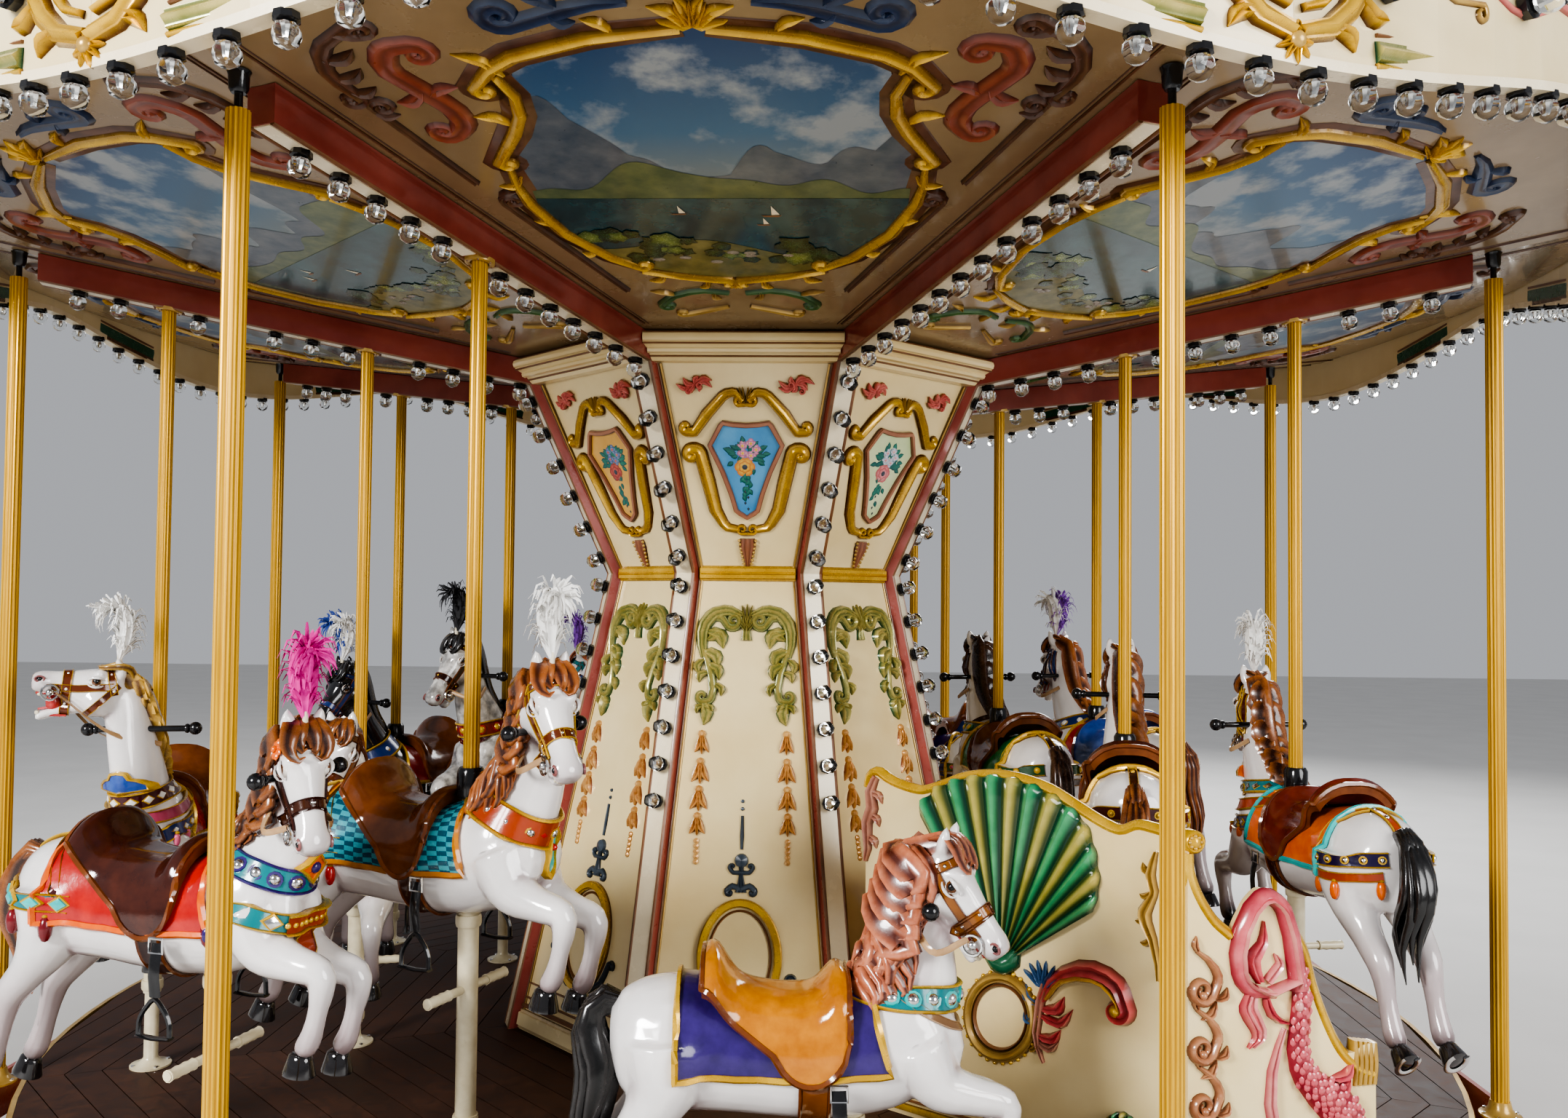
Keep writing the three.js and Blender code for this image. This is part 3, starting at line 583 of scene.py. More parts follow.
def edge_line(shape, near, far, length, inset, width, height, tone, section=ROUND):
    """Two straight mouldings along the sloping edges of a panel."""
    spare = RIB_WIDTH / 2 / math.cos(HALF_BAY) + inset
    low = near * math.tan(HALF_BAY) - spare
    high = far * math.tan(HALF_BAY) - spare
    for side in (-1, 1):
        relief(shape, [(side * low, 0.004), (side * high, length - 0.004)], width, height, section,
               tone)


def leaf(shape, base, tip, bend, width, height, tone):
    """One acanthus leaf, bent to a side, with a groove along its middle."""
    base = np.asarray(base, float)
    tip = np.asarray(tip, float)
    run = tip - base
    side = np.array([-run[1], run[0]])
    path = curve([base, base + 0.5 * run + bend * side, tip], 9)
    relief(shape, path, [0.25 * width, width, 0.9 * width, 0.06 * width],
           [0.5 * height, height, height, 0.3 * height], LEAF, tone)


def leaves(shape, flip, rows, height):
    """Leaves on one half of a panel; a row gives foot, tip, bend, width and tone."""
    side = 1 if flip is np.asarray else -1
    for base, tip, bend, width, tone in rows:
        foot, end = flip([base, tip])
        leaf(shape, foot, end, bend * side, width, height, tone)


def screws(shape, count, reach, profile, tone, matrix, first=0.0):
    """Screw heads in a ring."""
    for k in range(count):
        turn = first + 2 * math.pi * k / count
        lathe(shape, profile, 6, tone,
              matrix @ Matrix.Translation((*polar(reach, turn), 0)))


def flower(shape, centre, radius, tone, heart, petals=5):
    """A painted rose: petals round a heart, almost flat."""
    for ring, share in ((0, 1.0), (1, 0.62)):
        for k in range(petals):
            turn = 2 * math.pi * (k + 0.5 * ring) / petals
            at = np.asarray(centre) + 0.5 * radius * share * np.array([math.cos(turn), math.sin(turn)])
            angle = full_turn(10)
            size = 0.56 * radius * share
            rim = at + size * np.stack([np.cos(angle), np.sin(angle)], 1)
            level = 0.0016 + 0.0012 * ring
            disc(shape, rim, level, (*at, level + 0.001), tone, np.append(np.full(10, 0.25), 1.0))
    angle = full_turn(10)
    rim = np.asarray(centre) + 0.28 * radius * np.stack([np.cos(angle), np.sin(angle)], 1)
    disc(shape, rim, 0.0042, (*centre, 0.006), heart)


def disc(shape, rim, level, centre, tone, crest=1.0):
    """A thin disc from its rim and centre."""
    count = len(rim)
    points = np.vstack([np.column_stack([rim, np.full(count, level)]), [centre]])
    shape.add(points, [[i, (i + 1) % count, count] for i in range(count)], tone, crest)


def flat_leaf(shape, base, turn, length, width, tone, level=0.0012):
    """A painted leaf, almost flat."""
    ahead = np.array([math.cos(turn), math.sin(turn)])
    side = np.array([-ahead[1], ahead[0]])
    share = np.linspace(0, 1, 6)
    half = width * np.sin(math.pi * share ** 0.8)
    spine = np.asarray(base) + np.outer(share * length, ahead)
    left = spine + half[:, None] * side
    right = spine - half[:, None] * side
    rows = np.stack([
        np.column_stack([left, np.full(6, level)]),
        np.column_stack([spine, np.full(6, level + 0.001)]),
        np.column_stack([right, np.full(6, level)]),
    ], 1)
    shape.grid(rows, tone=tone, crest=np.tile([0.2, 1.0, 0.2], 6))


def bouquet(shape, rose, blossom, leaves, low):
    """A loose bouquet that hangs down from the middle of a medallion."""
    for k in range(38):
        turn = math.radians(draw.uniform(-40, 220))
        reach = draw.uniform(0.01, 0.066)
        flat_leaf(shape, (reach * math.cos(turn), 0.515 + reach * math.sin(turn) * 0.9), turn,
                  draw.uniform(0.026, 0.042), 0.011, leaves)
    for k in range(18):
        drop = draw.uniform(0.0, 0.14)
        turn = math.radians(draw.uniform(225, 315))
        flat_leaf(shape, (draw.uniform(-0.03, 0.03) * (1 - drop * 4), 0.47 - drop), turn, 0.030,
                  0.010, leaves)
    for k in range(4):
        drop = 0.29 + 0.025 * k
        flat_leaf(shape, (0.006 * (-1) ** k, drop), math.radians(-90), 0.014, 0.005, low)
    for k in range(5):
        turn = 2 * math.pi * k / 5
        flower(shape, (0.010 + 0.030 * math.cos(turn), 0.535 + 0.026 * math.sin(turn)), 0.021,
               blossom, rose, 4)
    flower(shape, (-0.006, 0.462), 0.040, rose, low, 6)


def kite(width=1.0):
    """Outline of the medallion, from its lower point round to the left."""
    left = np.array([(-0.043, 0.274), (-0.062, 0.345), (-0.095, 0.44), (-0.145, 0.552),
                     (-0.095, 0.645)])
    top = np.array([(-0.05, 0.637), (0.0, 0.634), (0.05, 0.637)])
    right = mirrored(left[::-1])
    path = np.vstack([[(0.0, 0.247)], left, top, right])
    middle = np.array([0.0, 0.46])
    return middle + (path - middle) * width


def medallion_scrolls(shape):
    """Scrolls, leaves and pink flowers on both sides of a medallion."""
    arch = curve([(0.012, 0.735), (0.04, 0.765), (0.083, 0.757), (0.147, 0.690), (0.195, 0.615),
                  (0.235, 0.607)], 30)
    arch = curl(arch, 0.018, 0.75, 1)
    bow = curve([(0.03, 0.193), (0.08, 0.203), (0.125, 0.27), (0.15, 0.36), (0.163, 0.45),
                 (0.188, 0.525), (0.215, 0.535)], 34)
    bow = curl(bow, 0.022, 1.1, -1)
    for flip in (np.asarray, mirrored):
        relief(shape, flip(arch), [0.034, 0.046, 0.050, 0.046, 0.040, 0.014], [0.018, 0.024, 0.014],
               REEDED, 0)
        relief(shape, flip(bow), [0.034, 0.056, 0.062, 0.060, 0.044, 0.014], [0.016, 0.026, 0.014],
               REEDED, 0)
        inner = curl(np.array([(0.0, 0.72), (0.02, 0.716)]), 0.02, 1.15, 1, 0.2)
        relief(shape, flip(inner), [0.020, 0.018, 0.009], 0.016, ROUND, 0)
        small = curl(np.array([(0.0, 0.178), (0.018, 0.176)]), 0.021, 1.25, 1, 0.2)
        relief(shape, flip(small), [0.016, 0.014, 0.007], 0.018, ROUND, 0)
        for k in range(4):
            turn = math.radians(90 - 16 * k)
            tip = (0.012 + 0.052 * math.cos(turn), 0.745 + 0.046 * math.sin(turn))
            leaf(shape, flip([(0.004, 0.728)])[0], flip([tip])[0], 0.0, 0.017, 0.016, 9)
        centre = np.array([0.198, 0.80])
        for k in range(7):
            turn = 2 * math.pi * k / 7
            tip = centre + np.array([0.075 * math.cos(turn), 0.032 * math.sin(turn)])
            leaf(shape, flip([centre])[0], flip([tip])[0], 0.25, 0.028, 0.012, 1)
        for at, turns in (((0.175, 0.785), 1.2), ((0.218, 0.787), -1.2)):
            twist = curl(np.array([at, (at[0] + 0.004, at[1])]), 0.014, abs(turns),
                         1 if turns > 0 else -1, 0.15)
            relief(shape, flip(twist), [0.012, 0.006], 0.016, ROUND, 1)


def upper_ornament():
    """Mouldings of one upper panel. Tones: 0 gold, 1 pink, 2 frame, 3 field, 4 brown,
    5 leaves, 6 rose, 7 blossom, 8 buds, 9 old gold."""
    shape = Shape()
    length = math.hypot(COLUMN_TOP - WAIST, HEAD_APOTHEM - WAIST_APOTHEM)
    edge_line(shape, WAIST_APOTHEM, HEAD_APOTHEM, length, 0.004, 0.009, 0.006, 4)
    edge_line(shape, WAIST_APOTHEM, HEAD_APOTHEM, length, 0.016, 0.011, 0.006, 9)
    medallion_scrolls(shape)
    relief(shape, [(0, 0.155), (0, 0.12), (0, 0.075), (0, 0.035)], [0.062, 0.072, 0.06, 0.02],
           [0.014, 0.02, 0.018, 0.008], FLUTED, 2)
    for k in range(7):
        for side in (-1, 1):
            lathe(shape, [(0, -0.002), (0.007, 0), (0.005, 0.006), (0, 0.008)], 8, 9,
                  Matrix.Translation((side * (0.034 - 0.003 * k), 0.148 - 0.017 * k, 0.008)))
    outer, inner = (stepped(np.vstack([line, line[:1]]), 61)[:-1] for line in (kite(1.0), kite(0.96)))
    relief(shape, outer, 0.02, 0.014, STEPPED, 2, loop=True)
    centre = np.array([[0.0, 0.46, 0.001]])
    ring = np.column_stack([inner, np.full(60, 0.001)])
    shape.add(np.vstack([ring, centre]), [[(i + 1) % 60, i, 60] for i in range(60)], 3)
    bouquet(shape, 6, 7, 5, 8)
    return shape


def acanthus_side():
    """Path of the left half of the arch on a lower panel, from the crown down to its tip."""
    return curve([(-0.02, 1.80), (-0.07, 1.822), (-0.13, 1.812), (-0.172, 1.765), (-0.183, 1.70),
                  (-0.172, 1.63)], 26)


def bell(shape, top, width, height, tone):
    """A bell flower of a tassel string: three flared petals under a bead."""
    x, y = top
    for k in (-1, 1, 0):
        lift = 0.026 if k == 0 else 0.019
        leaf(shape, (x + 0.05 * k * width, y), (x + 0.40 * k * width, y - (1.06 - 0.10 * abs(k)) * height),
             -0.10 * k, 0.46 * width, lift, tone)
    lathe(shape, [(0.016, -0.003), (0.016, 0.008), (0.007, 0.018)], 8, tone,
          Matrix.Translation((x, y + 0.002, 0)))


def acanthus_and_tassels(shape):
    """Acanthus arch of a lower panel, and the strings of bell flowers below its ends."""
    for flip in (np.asarray, mirrored):
        main = acanthus_side()
        relief(shape, flip(main), [0.040, 0.058, 0.064, 0.056, 0.032], [0.018, 0.030, 0.026, 0.014],
               FLUTED, 0)
        inner = curl(curve([(-0.13, 1.795), (-0.10, 1.79), (-0.085, 1.765)], 8), 0.034, 1.35, 1, 0.18)
        relief(shape, flip(inner), [0.038, 0.034, 0.028, 0.013], [0.022, 0.028, 0.018], REEDED, 0)
        for base, tip, bend, width in (
            ((-0.165, 1.735), (-0.095, 1.665), 0.30, 0.055), ((-0.16, 1.70), (-0.088, 1.69), 0.35, 0.04),
            ((-0.175, 1.655), (-0.115, 1.585), 0.28, 0.05), ((-0.172, 1.62), (-0.19, 1.56), -0.3, 0.035),
            ((-0.160, 1.60), (-0.110, 1.535), 0.30, 0.042), ((-0.152, 1.565), (-0.19, 1.525), -0.35, 0.034),
            ((-0.128, 1.52), (-0.10, 1.47), 0.3, 0.03), ((-0.17, 1.45), (-0.168, 1.352), 0.15, 0.05),
            ((-0.166, 1.43), (-0.198, 1.40), -0.3, 0.03), ((-0.166, 1.43), (-0.135, 1.40), 0.3, 0.03),
        ):
            leaf(shape, flip([base])[0], flip([tip])[0], bend if flip is np.asarray else -bend,
                 1.3 * width, 0.026, 0)
        stem = curve([(-0.172, 1.66), (-0.155, 1.60), (-0.138, 1.55), (-0.130, 1.50), (-0.142, 1.455),
                      (-0.17, 1.445)], 20)
        stem = curl(stem, 0.024, 0.9, -1, 0.2)
        relief(shape, flip(stem), [0.028, 0.040, 0.034, 0.028, 0.012], [0.016, 0.026, 0.016], REEDED, 0)
        for k, (drop, width, height) in enumerate(
            ((1.315, 0.072, 0.075), (1.205, 0.088, 0.082), (1.095, 0.088, 0.08), (0.99, 0.078, 0.07))
        ):
            bell(shape, flip([(-0.171 - 0.003 * k, drop)])[0], width, height, 1)
        for k in range(5):
            lathe(shape, [(0, -0.003), (0.0115, 0), (0.0115, 0.006), (0, 0.012)], 8, 1,
                  Matrix.Translation((*flip([(-0.181, 0.895 - 0.02 * k)])[0], 0)))
        spray = curve([(-0.065, 0.25), (-0.15, 0.30), (-0.185, 0.38)], 10)
        relief(shape, flip(curl(spray, 0.02, 0.8, 1)), [0.03, 0.022, 0.01], 0.014, LEAF, 2)


def panel_middle(shape):
    """Palmette, pendant and oval along the middle of a lower panel."""
    for k in range(7):
        turn = math.radians(90 + 21 * (k - 3))
        tip = (0.060 * math.cos(turn), 1.765 + 0.088 * math.sin(turn))
        leaf(shape, (0, 1.735), tip, 0.0, 0.026, 0.028, 0)
    relief(shape, [(0, 1.78), (0, 1.74), (0, 1.70)], [0.05, 0.034, 0.05], 0.022, FLUTED, 0)
    for at in (1.052, 1.022):
        lathe(shape, [(0, -0.003), (0.008, 0), (0.006, 0.006), (0, 0.008)], 10, 2,
              Matrix.Translation((0, at, 0)))
    relief(shape, curve([(0, 0.865), (0, 0.995)], 6), [0.012, 0.018, 0.018, 0.012], 0.010, ROUND, 2)
    lathe(shape, [(0, -0.003), (0.028, 0), (0.024, 0.012), (0, 0.02)], 14, 2,
          Matrix.Translation((0, 0.822, 0)))
    relief(shape, curve([(0, 0.825), (0, 0.70)], 8), [0.03, 0.016, 0.05], 0.016, FLUTED, 2)
    for flip in (np.asarray, mirrored):
        hook = curl(curve([(0.0, 0.775), (0.03, 0.775), (0.045, 0.79)], 6), 0.012, 0.8, 1)
        relief(shape, flip(hook), [0.02, 0.016, 0.008], 0.014, ROUND, 2)
        foot = curl(curve([(0.0, 0.712), (0.03, 0.725), (0.052, 0.712)], 6), 0.014, 0.8, -1)
        relief(shape, flip(foot), [0.028, 0.022, 0.010], 0.014, ROUND, 2)
    angle = full_turn(56)
    oval = np.column_stack([0.150 * np.cos(angle), 0.455 + 0.205 * np.sin(angle)])
    relief(shape, oval, 0.034, 0.024, STEPPED, 5, loop=True)
    thin = np.column_stack([0.121 * np.cos(angle), 0.455 + 0.176 * np.sin(angle)])
    relief(shape, thin, 0.010, 0.010, ROUND, 4, loop=True)


def lower_ornament():
    """Mouldings of one lower panel. Tones: 0 green and gold, 1 pink and gold, 2 dark blue,
    3 old gold, 4 brown, 5 gold, 6 cream."""
    shape = Shape()
    length = math.hypot(WAIST - DECK, FOOT_APOTHEM - WAIST_APOTHEM)
    edge_line(shape, FOOT_APOTHEM, WAIST_APOTHEM, length, 0.004, 0.009, 0.006, 4)
    edge_line(shape, FOOT_APOTHEM, WAIST_APOTHEM, length, 0.015, 0.009, 0.006, 3)
    acanthus_and_tassels(shape)
    panel_middle(shape)
    foot_half = FOOT_APOTHEM * math.tan(HALF_BAY) - 0.058
    for level, width, high, tone in ((0.045, 0.08, 0.022, 6), (0.100, 0.018, 0.014, 4),
                                     (0.135, 0.010, 0.008, 4), (0.195, 0.008, 0.007, 4)):
        half = foot_half - level * 0.08
        relief(shape, [(-half, level), (half, level)], width, high, STEPPED, tone)
    return shape


def rib_covers():
    """Painted casings of the corner ribs: red sides, white face, brown beads.
    Tones: 0 red, 1 brown, 2 white."""
    shape = Shape()
    half = RIB_WIDTH / 2
    skin = 0.0015
    contour = [(-0.062, half + skin, 0), (-0.003, half + skin, 1), (0.002, half - 0.003, 1),
               (0.003, half - 0.008, 1), (-0.001, half - 0.012, 2)]
    contour += [(depth, -side, tone) for depth, side, tone in contour[::-1]]
    order = [0, 1, 1, 1, 2, 1, 1, 1, 0, 0]
    levels = [(FOOT_APOTHEM, DECK + 0.001), (WAIST_APOTHEM, WAIST), (HEAD_APOTHEM, COLUMN_TOP - 0.001)]
    for (near, low), (far, high) in zip(levels[:-1], levels[1:]):
        rows = []
        for share in np.linspace(0, 1, 5):
            apothem = near + (far - near) * share
            z = low + (high - low) * share
            outer = apothem / math.cos(HALF_BAY) + RIB_PROUD + skin
            rows.append([(outer + depth, side, z) for depth, side, _ in contour])
        rows = np.array(rows)[:, ::-1]
        made = Shape()
        made.grid(rows, wrap=True, caps=True, tone=0)
        count = len(contour)
        made.tones = [order[::-1][(i + 1) % count] for _ in range(4) for i in range(count)] + [0, 0]
        shape.merge(made, Matrix.Rotation(FIRST_SWEEP, 4, "Z"))
    return around(shape)


def rib_bulbs():
    """Bulbs up the ribs, from chest height to the cornice."""
    shape = Shape()
    corner = math.cos(HALF_BAY)
    for near, far, low, high, first, count in (
        (FOOT_APOTHEM, WAIST_APOTHEM, DECK, WAIST, WAIST - 0.06 - 6 * BULB_PITCH * 0.98, 7),
        (WAIST_APOTHEM, HEAD_APOTHEM, WAIST, COLUMN_TOP, WAIST + 0.075, 6),
    ):
        lean = (far - near) / corner / (high - low)
        for k in range(count):
            z = first + k * BULB_PITCH * (0.98 if near > far else 0.93)
            radius = (near + (far - near) * (z - low) / (high - low)) / corner + RIB_PROUD + 0.001
            bulb(shape, (*polar(radius, FIRST_SWEEP), z), (*polar(1, FIRST_SWEEP), -lean))
    return around(shape)


def waist_and_cornice():
    """Gold strips over the fold and the rounded bands of the cornice.
    Tones: 0 gold, 1 cream, 2 brown."""
    shape = Shape()
    front = FIRST_SWEEP + HALF_BAY
    strip = Shape()
    half = WAIST_APOTHEM * math.tan(HALF_BAY) - 0.056
    relief(strip, [(-half, 0), (half, 0)], 0.066, 0.024, STEPPED, 0)
    relief(strip, [(-half + 0.004, 0), (half - 0.004, 0)], 0.026, 0.03, ROUND, 0)
    shape.merge(strip, plane_matrix(front, WAIST_APOTHEM, WAIST, WAIST_APOTHEM, WAIST + 1))
    for apothem, z, width, high, tone in (
        (1.058, CORNICE_TOP - 0.022, 0.038, 0.016, 1), (1.058, CORNICE_TOP - 0.045, 0.007, 0.006, 2),
        (1.024, CORNICE_TOP - 0.064, 0.028, 0.014, 1), (1.006, CORNICE_TOP - 0.086, 0.007, 0.006, 2),
        (1.058, CORNICE_TOP - 0.002, 0.006, 0.005, 2),
    ):
        half = apothem * math.tan(HALF_BAY) - 0.052
        band = Shape()
        relief(band, [(-half, 0), (half, 0)], width, high, ROUND, tone)
        shape.merge(band, plane_matrix(front, apothem, z, apothem, z + 1))
    return around(shape)


def build_column():
    for name in ("column_lower", "column_upper", "column_cornice"):
        dress(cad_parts[name], CREAM)
    fields = {
        "blue": (paint("field_blue", (0.06, 0.27, 0.54), (0.13, 0.40, 0.66), rough=0.3, grain=8),
                 paint("rose_yellow", (0.75, 0.42, 0.06), (0.85, 0.62, 0.14), deep=(0.6, 0.14, 0.03)),
                 paint("blossom_pink", (0.70, 0.30, 0.42), (0.85, 0.55, 0.64), deep=(0.4, 0.08, 0.2))),
        "green": (paint("field_green", (0.56, 0.66, 0.36), (0.72, 0.78, 0.50), rough=0.3, grain=8),
                  paint("rose_pink", (0.75, 0.26, 0.28), (0.88, 0.55, 0.52), deep=(0.5, 0.06, 0.06)),
                  paint("blossom_white", (0.75, 0.72, 0.70), (0.88, 0.86, 0.82), deep=(0.2, 0.3, 0.5))),
        "orange": (paint("field_orange", (0.66, 0.36, 0.08), (0.80, 0.50, 0.15), rough=0.3, grain=8),
                   paint("rose_red", (0.55, 0.07, 0.05), (0.75, 0.20, 0.14), deep=(0.25, 0.02, 0.02)),
                   paint("blossom_blue", (0.12, 0.20, 0.42), (0.30, 0.42, 0.62), deep=(0.04, 0.06, 0.2))),
    }
    leaves = paint("painted_leaves", (0.01, 0.12, 0.11), (0.03, 0.27, 0.18), deep=(0.0, 0.05, 0.07))
    frame_brown = paint("frame_brown", (0.30, 0.11, 0.06), (0.44, 0.20, 0.11),
                        deep=(0.10, 0.03, 0.015), rough=0.3)
    order = ["blue", "green", "orange", "blue", "green", "orange", "green", "orange"]
    for bay, key in enumerate(order):
        field, rose, blossom = fields[key]
        shape = upper_ornament()
        matrix = plane_matrix(FIRST_SWEEP + HALF_BAY + bay * BAY, WAIST_APOTHEM, WAIST, HEAD_APOTHEM,
                              COLUMN_TOP)
        placed = Shape().merge(shape, matrix)
        piece(f"upper_panel_mouldings_{bay + 1}", placed,
              [GOLD, PINK, frame_brown, field, BROWN, leaves, rose, blossom, DARK_BLUE, OLD_GOLD],
              sharp=50, share=0.70)
    lower = Shape().merge(
        lower_ornament(),
        plane_matrix(FIRST_SWEEP + HALF_BAY, FOOT_APOTHEM, DECK, WAIST_APOTHEM, WAIST))
    for bay in range(BAYS):
        one = Shape().merge(lower, Matrix.Rotation(bay * BAY, 4, "Z"))
        piece(f"lower_panel_mouldings_{bay + 1}", one,
              [GREEN_GOLD, PINK_GOLD, DARK_BLUE, OLD_GOLD, BROWN, GOLD, CREAM_TRIM],
              sharp=50, share=0.78)
    piece("rib_covers", rib_covers(), [RED, BROWN, WHITE], sharp=30)
    piece("rib_bulbs", rib_bulbs(), [GLASS, BLACK, CHROME])
    piece("waist_and_cornice_mouldings", waist_and_cornice(), [GOLD, CREAM, BROWN])


def dress(node, *materials):
    """New material slots on a CAD node."""
    node.data.materials.clear()
    for made in materials:
        node.data.materials.append(made)
    return node


# Horse bodies. Local frame: the pole's axis is the origin, x runs to the head, belly at z = 0.

TORSO = [(-0.655, 0.290, 0.170, 0.050), (-0.620, 0.335, 0.070, 0.115), (-0.550, 0.365, 0.030, 0.150),
         (-0.450, 0.372, 0.020, 0.158), (-0.330, 0.350, 0.015, 0.150), (-0.200, 0.325, 0.005, 0.155),
         (-0.070, 0.330, 0.000, 0.158), (0.050, 0.365, 0.010, 0.150), (0.140, 0.385, 0.035, 0.145),
         (0.210, 0.360, 0.080, 0.125), (0.265, 0.300, 0.130, 0.080), (0.290, 0.250, 0.170, 0.030)]
NECK = [(0.100, 0.150), (0.085, 0.135), (0.068, 0.105), (0.052, 0.080), (0.046, 0.066)]
HEAD = [(0.00, 0.044, 0.052, 0.052), (0.08, 0.057, 0.076, 0.068), (0.18, 0.064, 0.086, 0.074),
        (0.30, 0.066, 0.090, 0.071), (0.42, 0.060, 0.082, 0.065), (0.54, 0.050, 0.066, 0.059),
        (0.66, 0.042, 0.053, 0.054), (0.78, 0.040, 0.044, 0.051), (0.88, 0.044, 0.041, 0.051),
        (0.96, 0.042, 0.036, 0.045), (1.00, 0.026, 0.026, 0.036)]
JAW = [(0.30, 0.044, 0.034), (0.45, 0.040, 0.031), (0.60, 0.032, 0.023), (0.74, 0.030, 0.018),
       (0.86, 0.034, 0.019), (0.92, 0.026, 0.014)]
FORE_LEG = [(0.170, 0.080, 0.190, 0.088), (0.225, 0.086, 0.090, 0.072), (0.320, 0.086, 0.055, 0.052),
            (0.405, 0.085, 0.035, 0.042), (0.412, 0.085, -0.010, 0.036), (0.400, 0.085, -0.075, 0.027),
            (0.382, 0.085, -0.140, 0.031), (0.368, 0.085, -0.165, 0.034), (0.356, 0.085, -0.190, 0.026)]
HIND_LEG = [(-0.500, 0.078, 0.230, 0.120), (-0.500, 0.086, 0.130, 0.105), (-0.535, 0.090, 0.050, 0.078),
            (-0.590, 0.090, -0.020, 0.055), (-0.660, 0.087, -0.095, 0.046), (-0.682, 0.086, -0.150, 0.036),
            (-0.702, 0.085, -0.225, 0.030), (-0.728, 0.085, -0.300, 0.034), (-0.742, 0.085, -0.325, 0.036),
            (-0.753, 0.085, -0.350, 0.027)]
FORE_STEP = -0.025
FORE_HOOF = (0.350, 0.085, -0.192)
HIND_HOOF = (-0.756, 0.085, -0.350)
HORSE_VOXEL = 0.008
NEAR_TRIANGLES = 9500
FAR_TRIANGLES = 5100
HOLLOW_DEPTH = 0.0045
GRIP_HEIGHT = 0.590
GRIP_REACH = 0.185
BACK_AXIS = 0.170


def rings(shape, stations, sides=22, power=2.0, tone=0):
    """A closed form lofted through rings, each given by its centre, side and upward vectors."""
    angle = full_turn(sides)
    out, up = np.cos(angle), np.sin(angle)
    out, up = (np.sign(share) * np.abs(share) ** (2 / power) for share in (out, up))
    rows = [np.asarray(centre) + np.outer(out, side) + np.outer(up, lift)
            for centre, side, lift in stations]
    shape.grid(rows, wrap=True, caps=True, tone=tone)


def limb(shape, keys, steps=26, sides=14):
    """A leg or neck part: a line of places, each with its own radius."""
    fine = curve(keys, steps)
    tube(shape, fine[:, :3], fine[:, 3], sides, up=(0, 1, 0))


def ball(shape, centre, size, tone=0, sides=10, rows=6, matrix=None):
    """An ellipsoid."""
    size = np.broadcast_to(np.asarray(size, float), (3,))
    turn = np.linspace(0, math.pi, rows + 1)
    profile = np.column_stack([np.maximum(np.sin(turn), 1e-3), -np.cos(turn)])
    local = Matrix.Translation(Vector(centre)) @ (matrix or Matrix.Identity(4))
    lathe(shape, profile, sides, tone, local @ Matrix.Diagonal((*size, 1)))


# Reach of the neck's middle and top, heights of both, then the muzzle's reach and height
LEVEL_HEAD = (0.100, 0.150, 0.480, 0.740, 0.185, 0.475)
THROWN_UP = (0.060, 0.110, 0.480, 0.740, 0.262, 0.765)


class Bearing:
    """Where a horse's neck and head run, for the way that it looks."""

    def __init__(self, look, carriage=LEVEL_HEAD, gape=0.0):
        turn = math.radians(look)
        self.gape = gape
        near, far, half_way, crown, reach, z = carriage

        def swing(share, reach, z):
            return np.array([0.170 + reach * math.cos(share * turn), reach * math.sin(share * turn), z])

        self.facing = np.array([math.cos(turn), math.sin(turn), 0.0])
        self.left = np.array([-math.sin(turn), math.cos(turn), 0.0])
        self.middle = swing(0.3, near, half_way)
        self.top = swing(0.6, far, crown)
        muzzle = self.top + self.facing * reach
        muzzle[2] = z
        self.poll = self.top - 0.015 * self.facing
        run = muzzle - self.poll
        self.down = run / np.linalg.norm(run)
        self.nose = muzzle + 0.020 * self.down
        self.brow = np.cross(self.left, self.down)
        if self.brow @ self.facing + self.brow[2] < 0:
            self.brow = -self.brow
        self.long = np.linalg.norm(self.nose - self.poll)
        base = np.array([0.120, 0.0, 0.235])
        self.neck = curve([base, (base + self.middle) / 2 + (0.010, 0, 0.0), self.middle,
                           (self.middle + self.top) / 2 + (0.008, 0, 0.02),
                           self.top + (0, 0, -0.010)], 26)
        self.neck_turns = np.linspace(0, 1, 26) ** 1.3 * turn

    def head(self, share, brow=0.0, left=0.0):
        """A point of the head: share of the way to the nose, then outward and to the left."""
        return self.poll + self.down * self.long * share + self.brow * brow + self.left * left

    def jaw(self, share):
        """How far the lower jaw's middle lies under the head's line at a share of its length."""
        return -0.052 - 0.027 * (share - 0.3) + 0.020 * max(0, share - 0.5) \
            - self.gape * max(0, share - 0.35)

    def neck_frame(self, share):
        """Centre, forward-down normal, left and width of the neck at a share of its length."""
        at = share * (len(self.neck) - 1)
        low = min(int(at), len(self.neck) - 2)
        centre = self.neck[low] + (self.neck[low + 1] - self.neck[low]) * (at - low)
        ahead = self.neck[low + 1] - self.neck[low]
        ahead = ahead / np.linalg.norm(ahead)
        turn = np.interp(at, np.arange(len(self.neck)), self.neck_turns)
        left = np.array([-math.sin(turn), math.cos(turn), 0.0])
        throat = np.cross(left, ahead)
        if throat[0] * math.cos(turn) + throat[1] * math.sin(turn) < 0:
            throat = -throat
        half = [np.interp(share, np.linspace(0, 1, len(NECK)), [n[k] for n in NECK]) for k in (0, 1)]
        return centre, ahead, throat, left, half


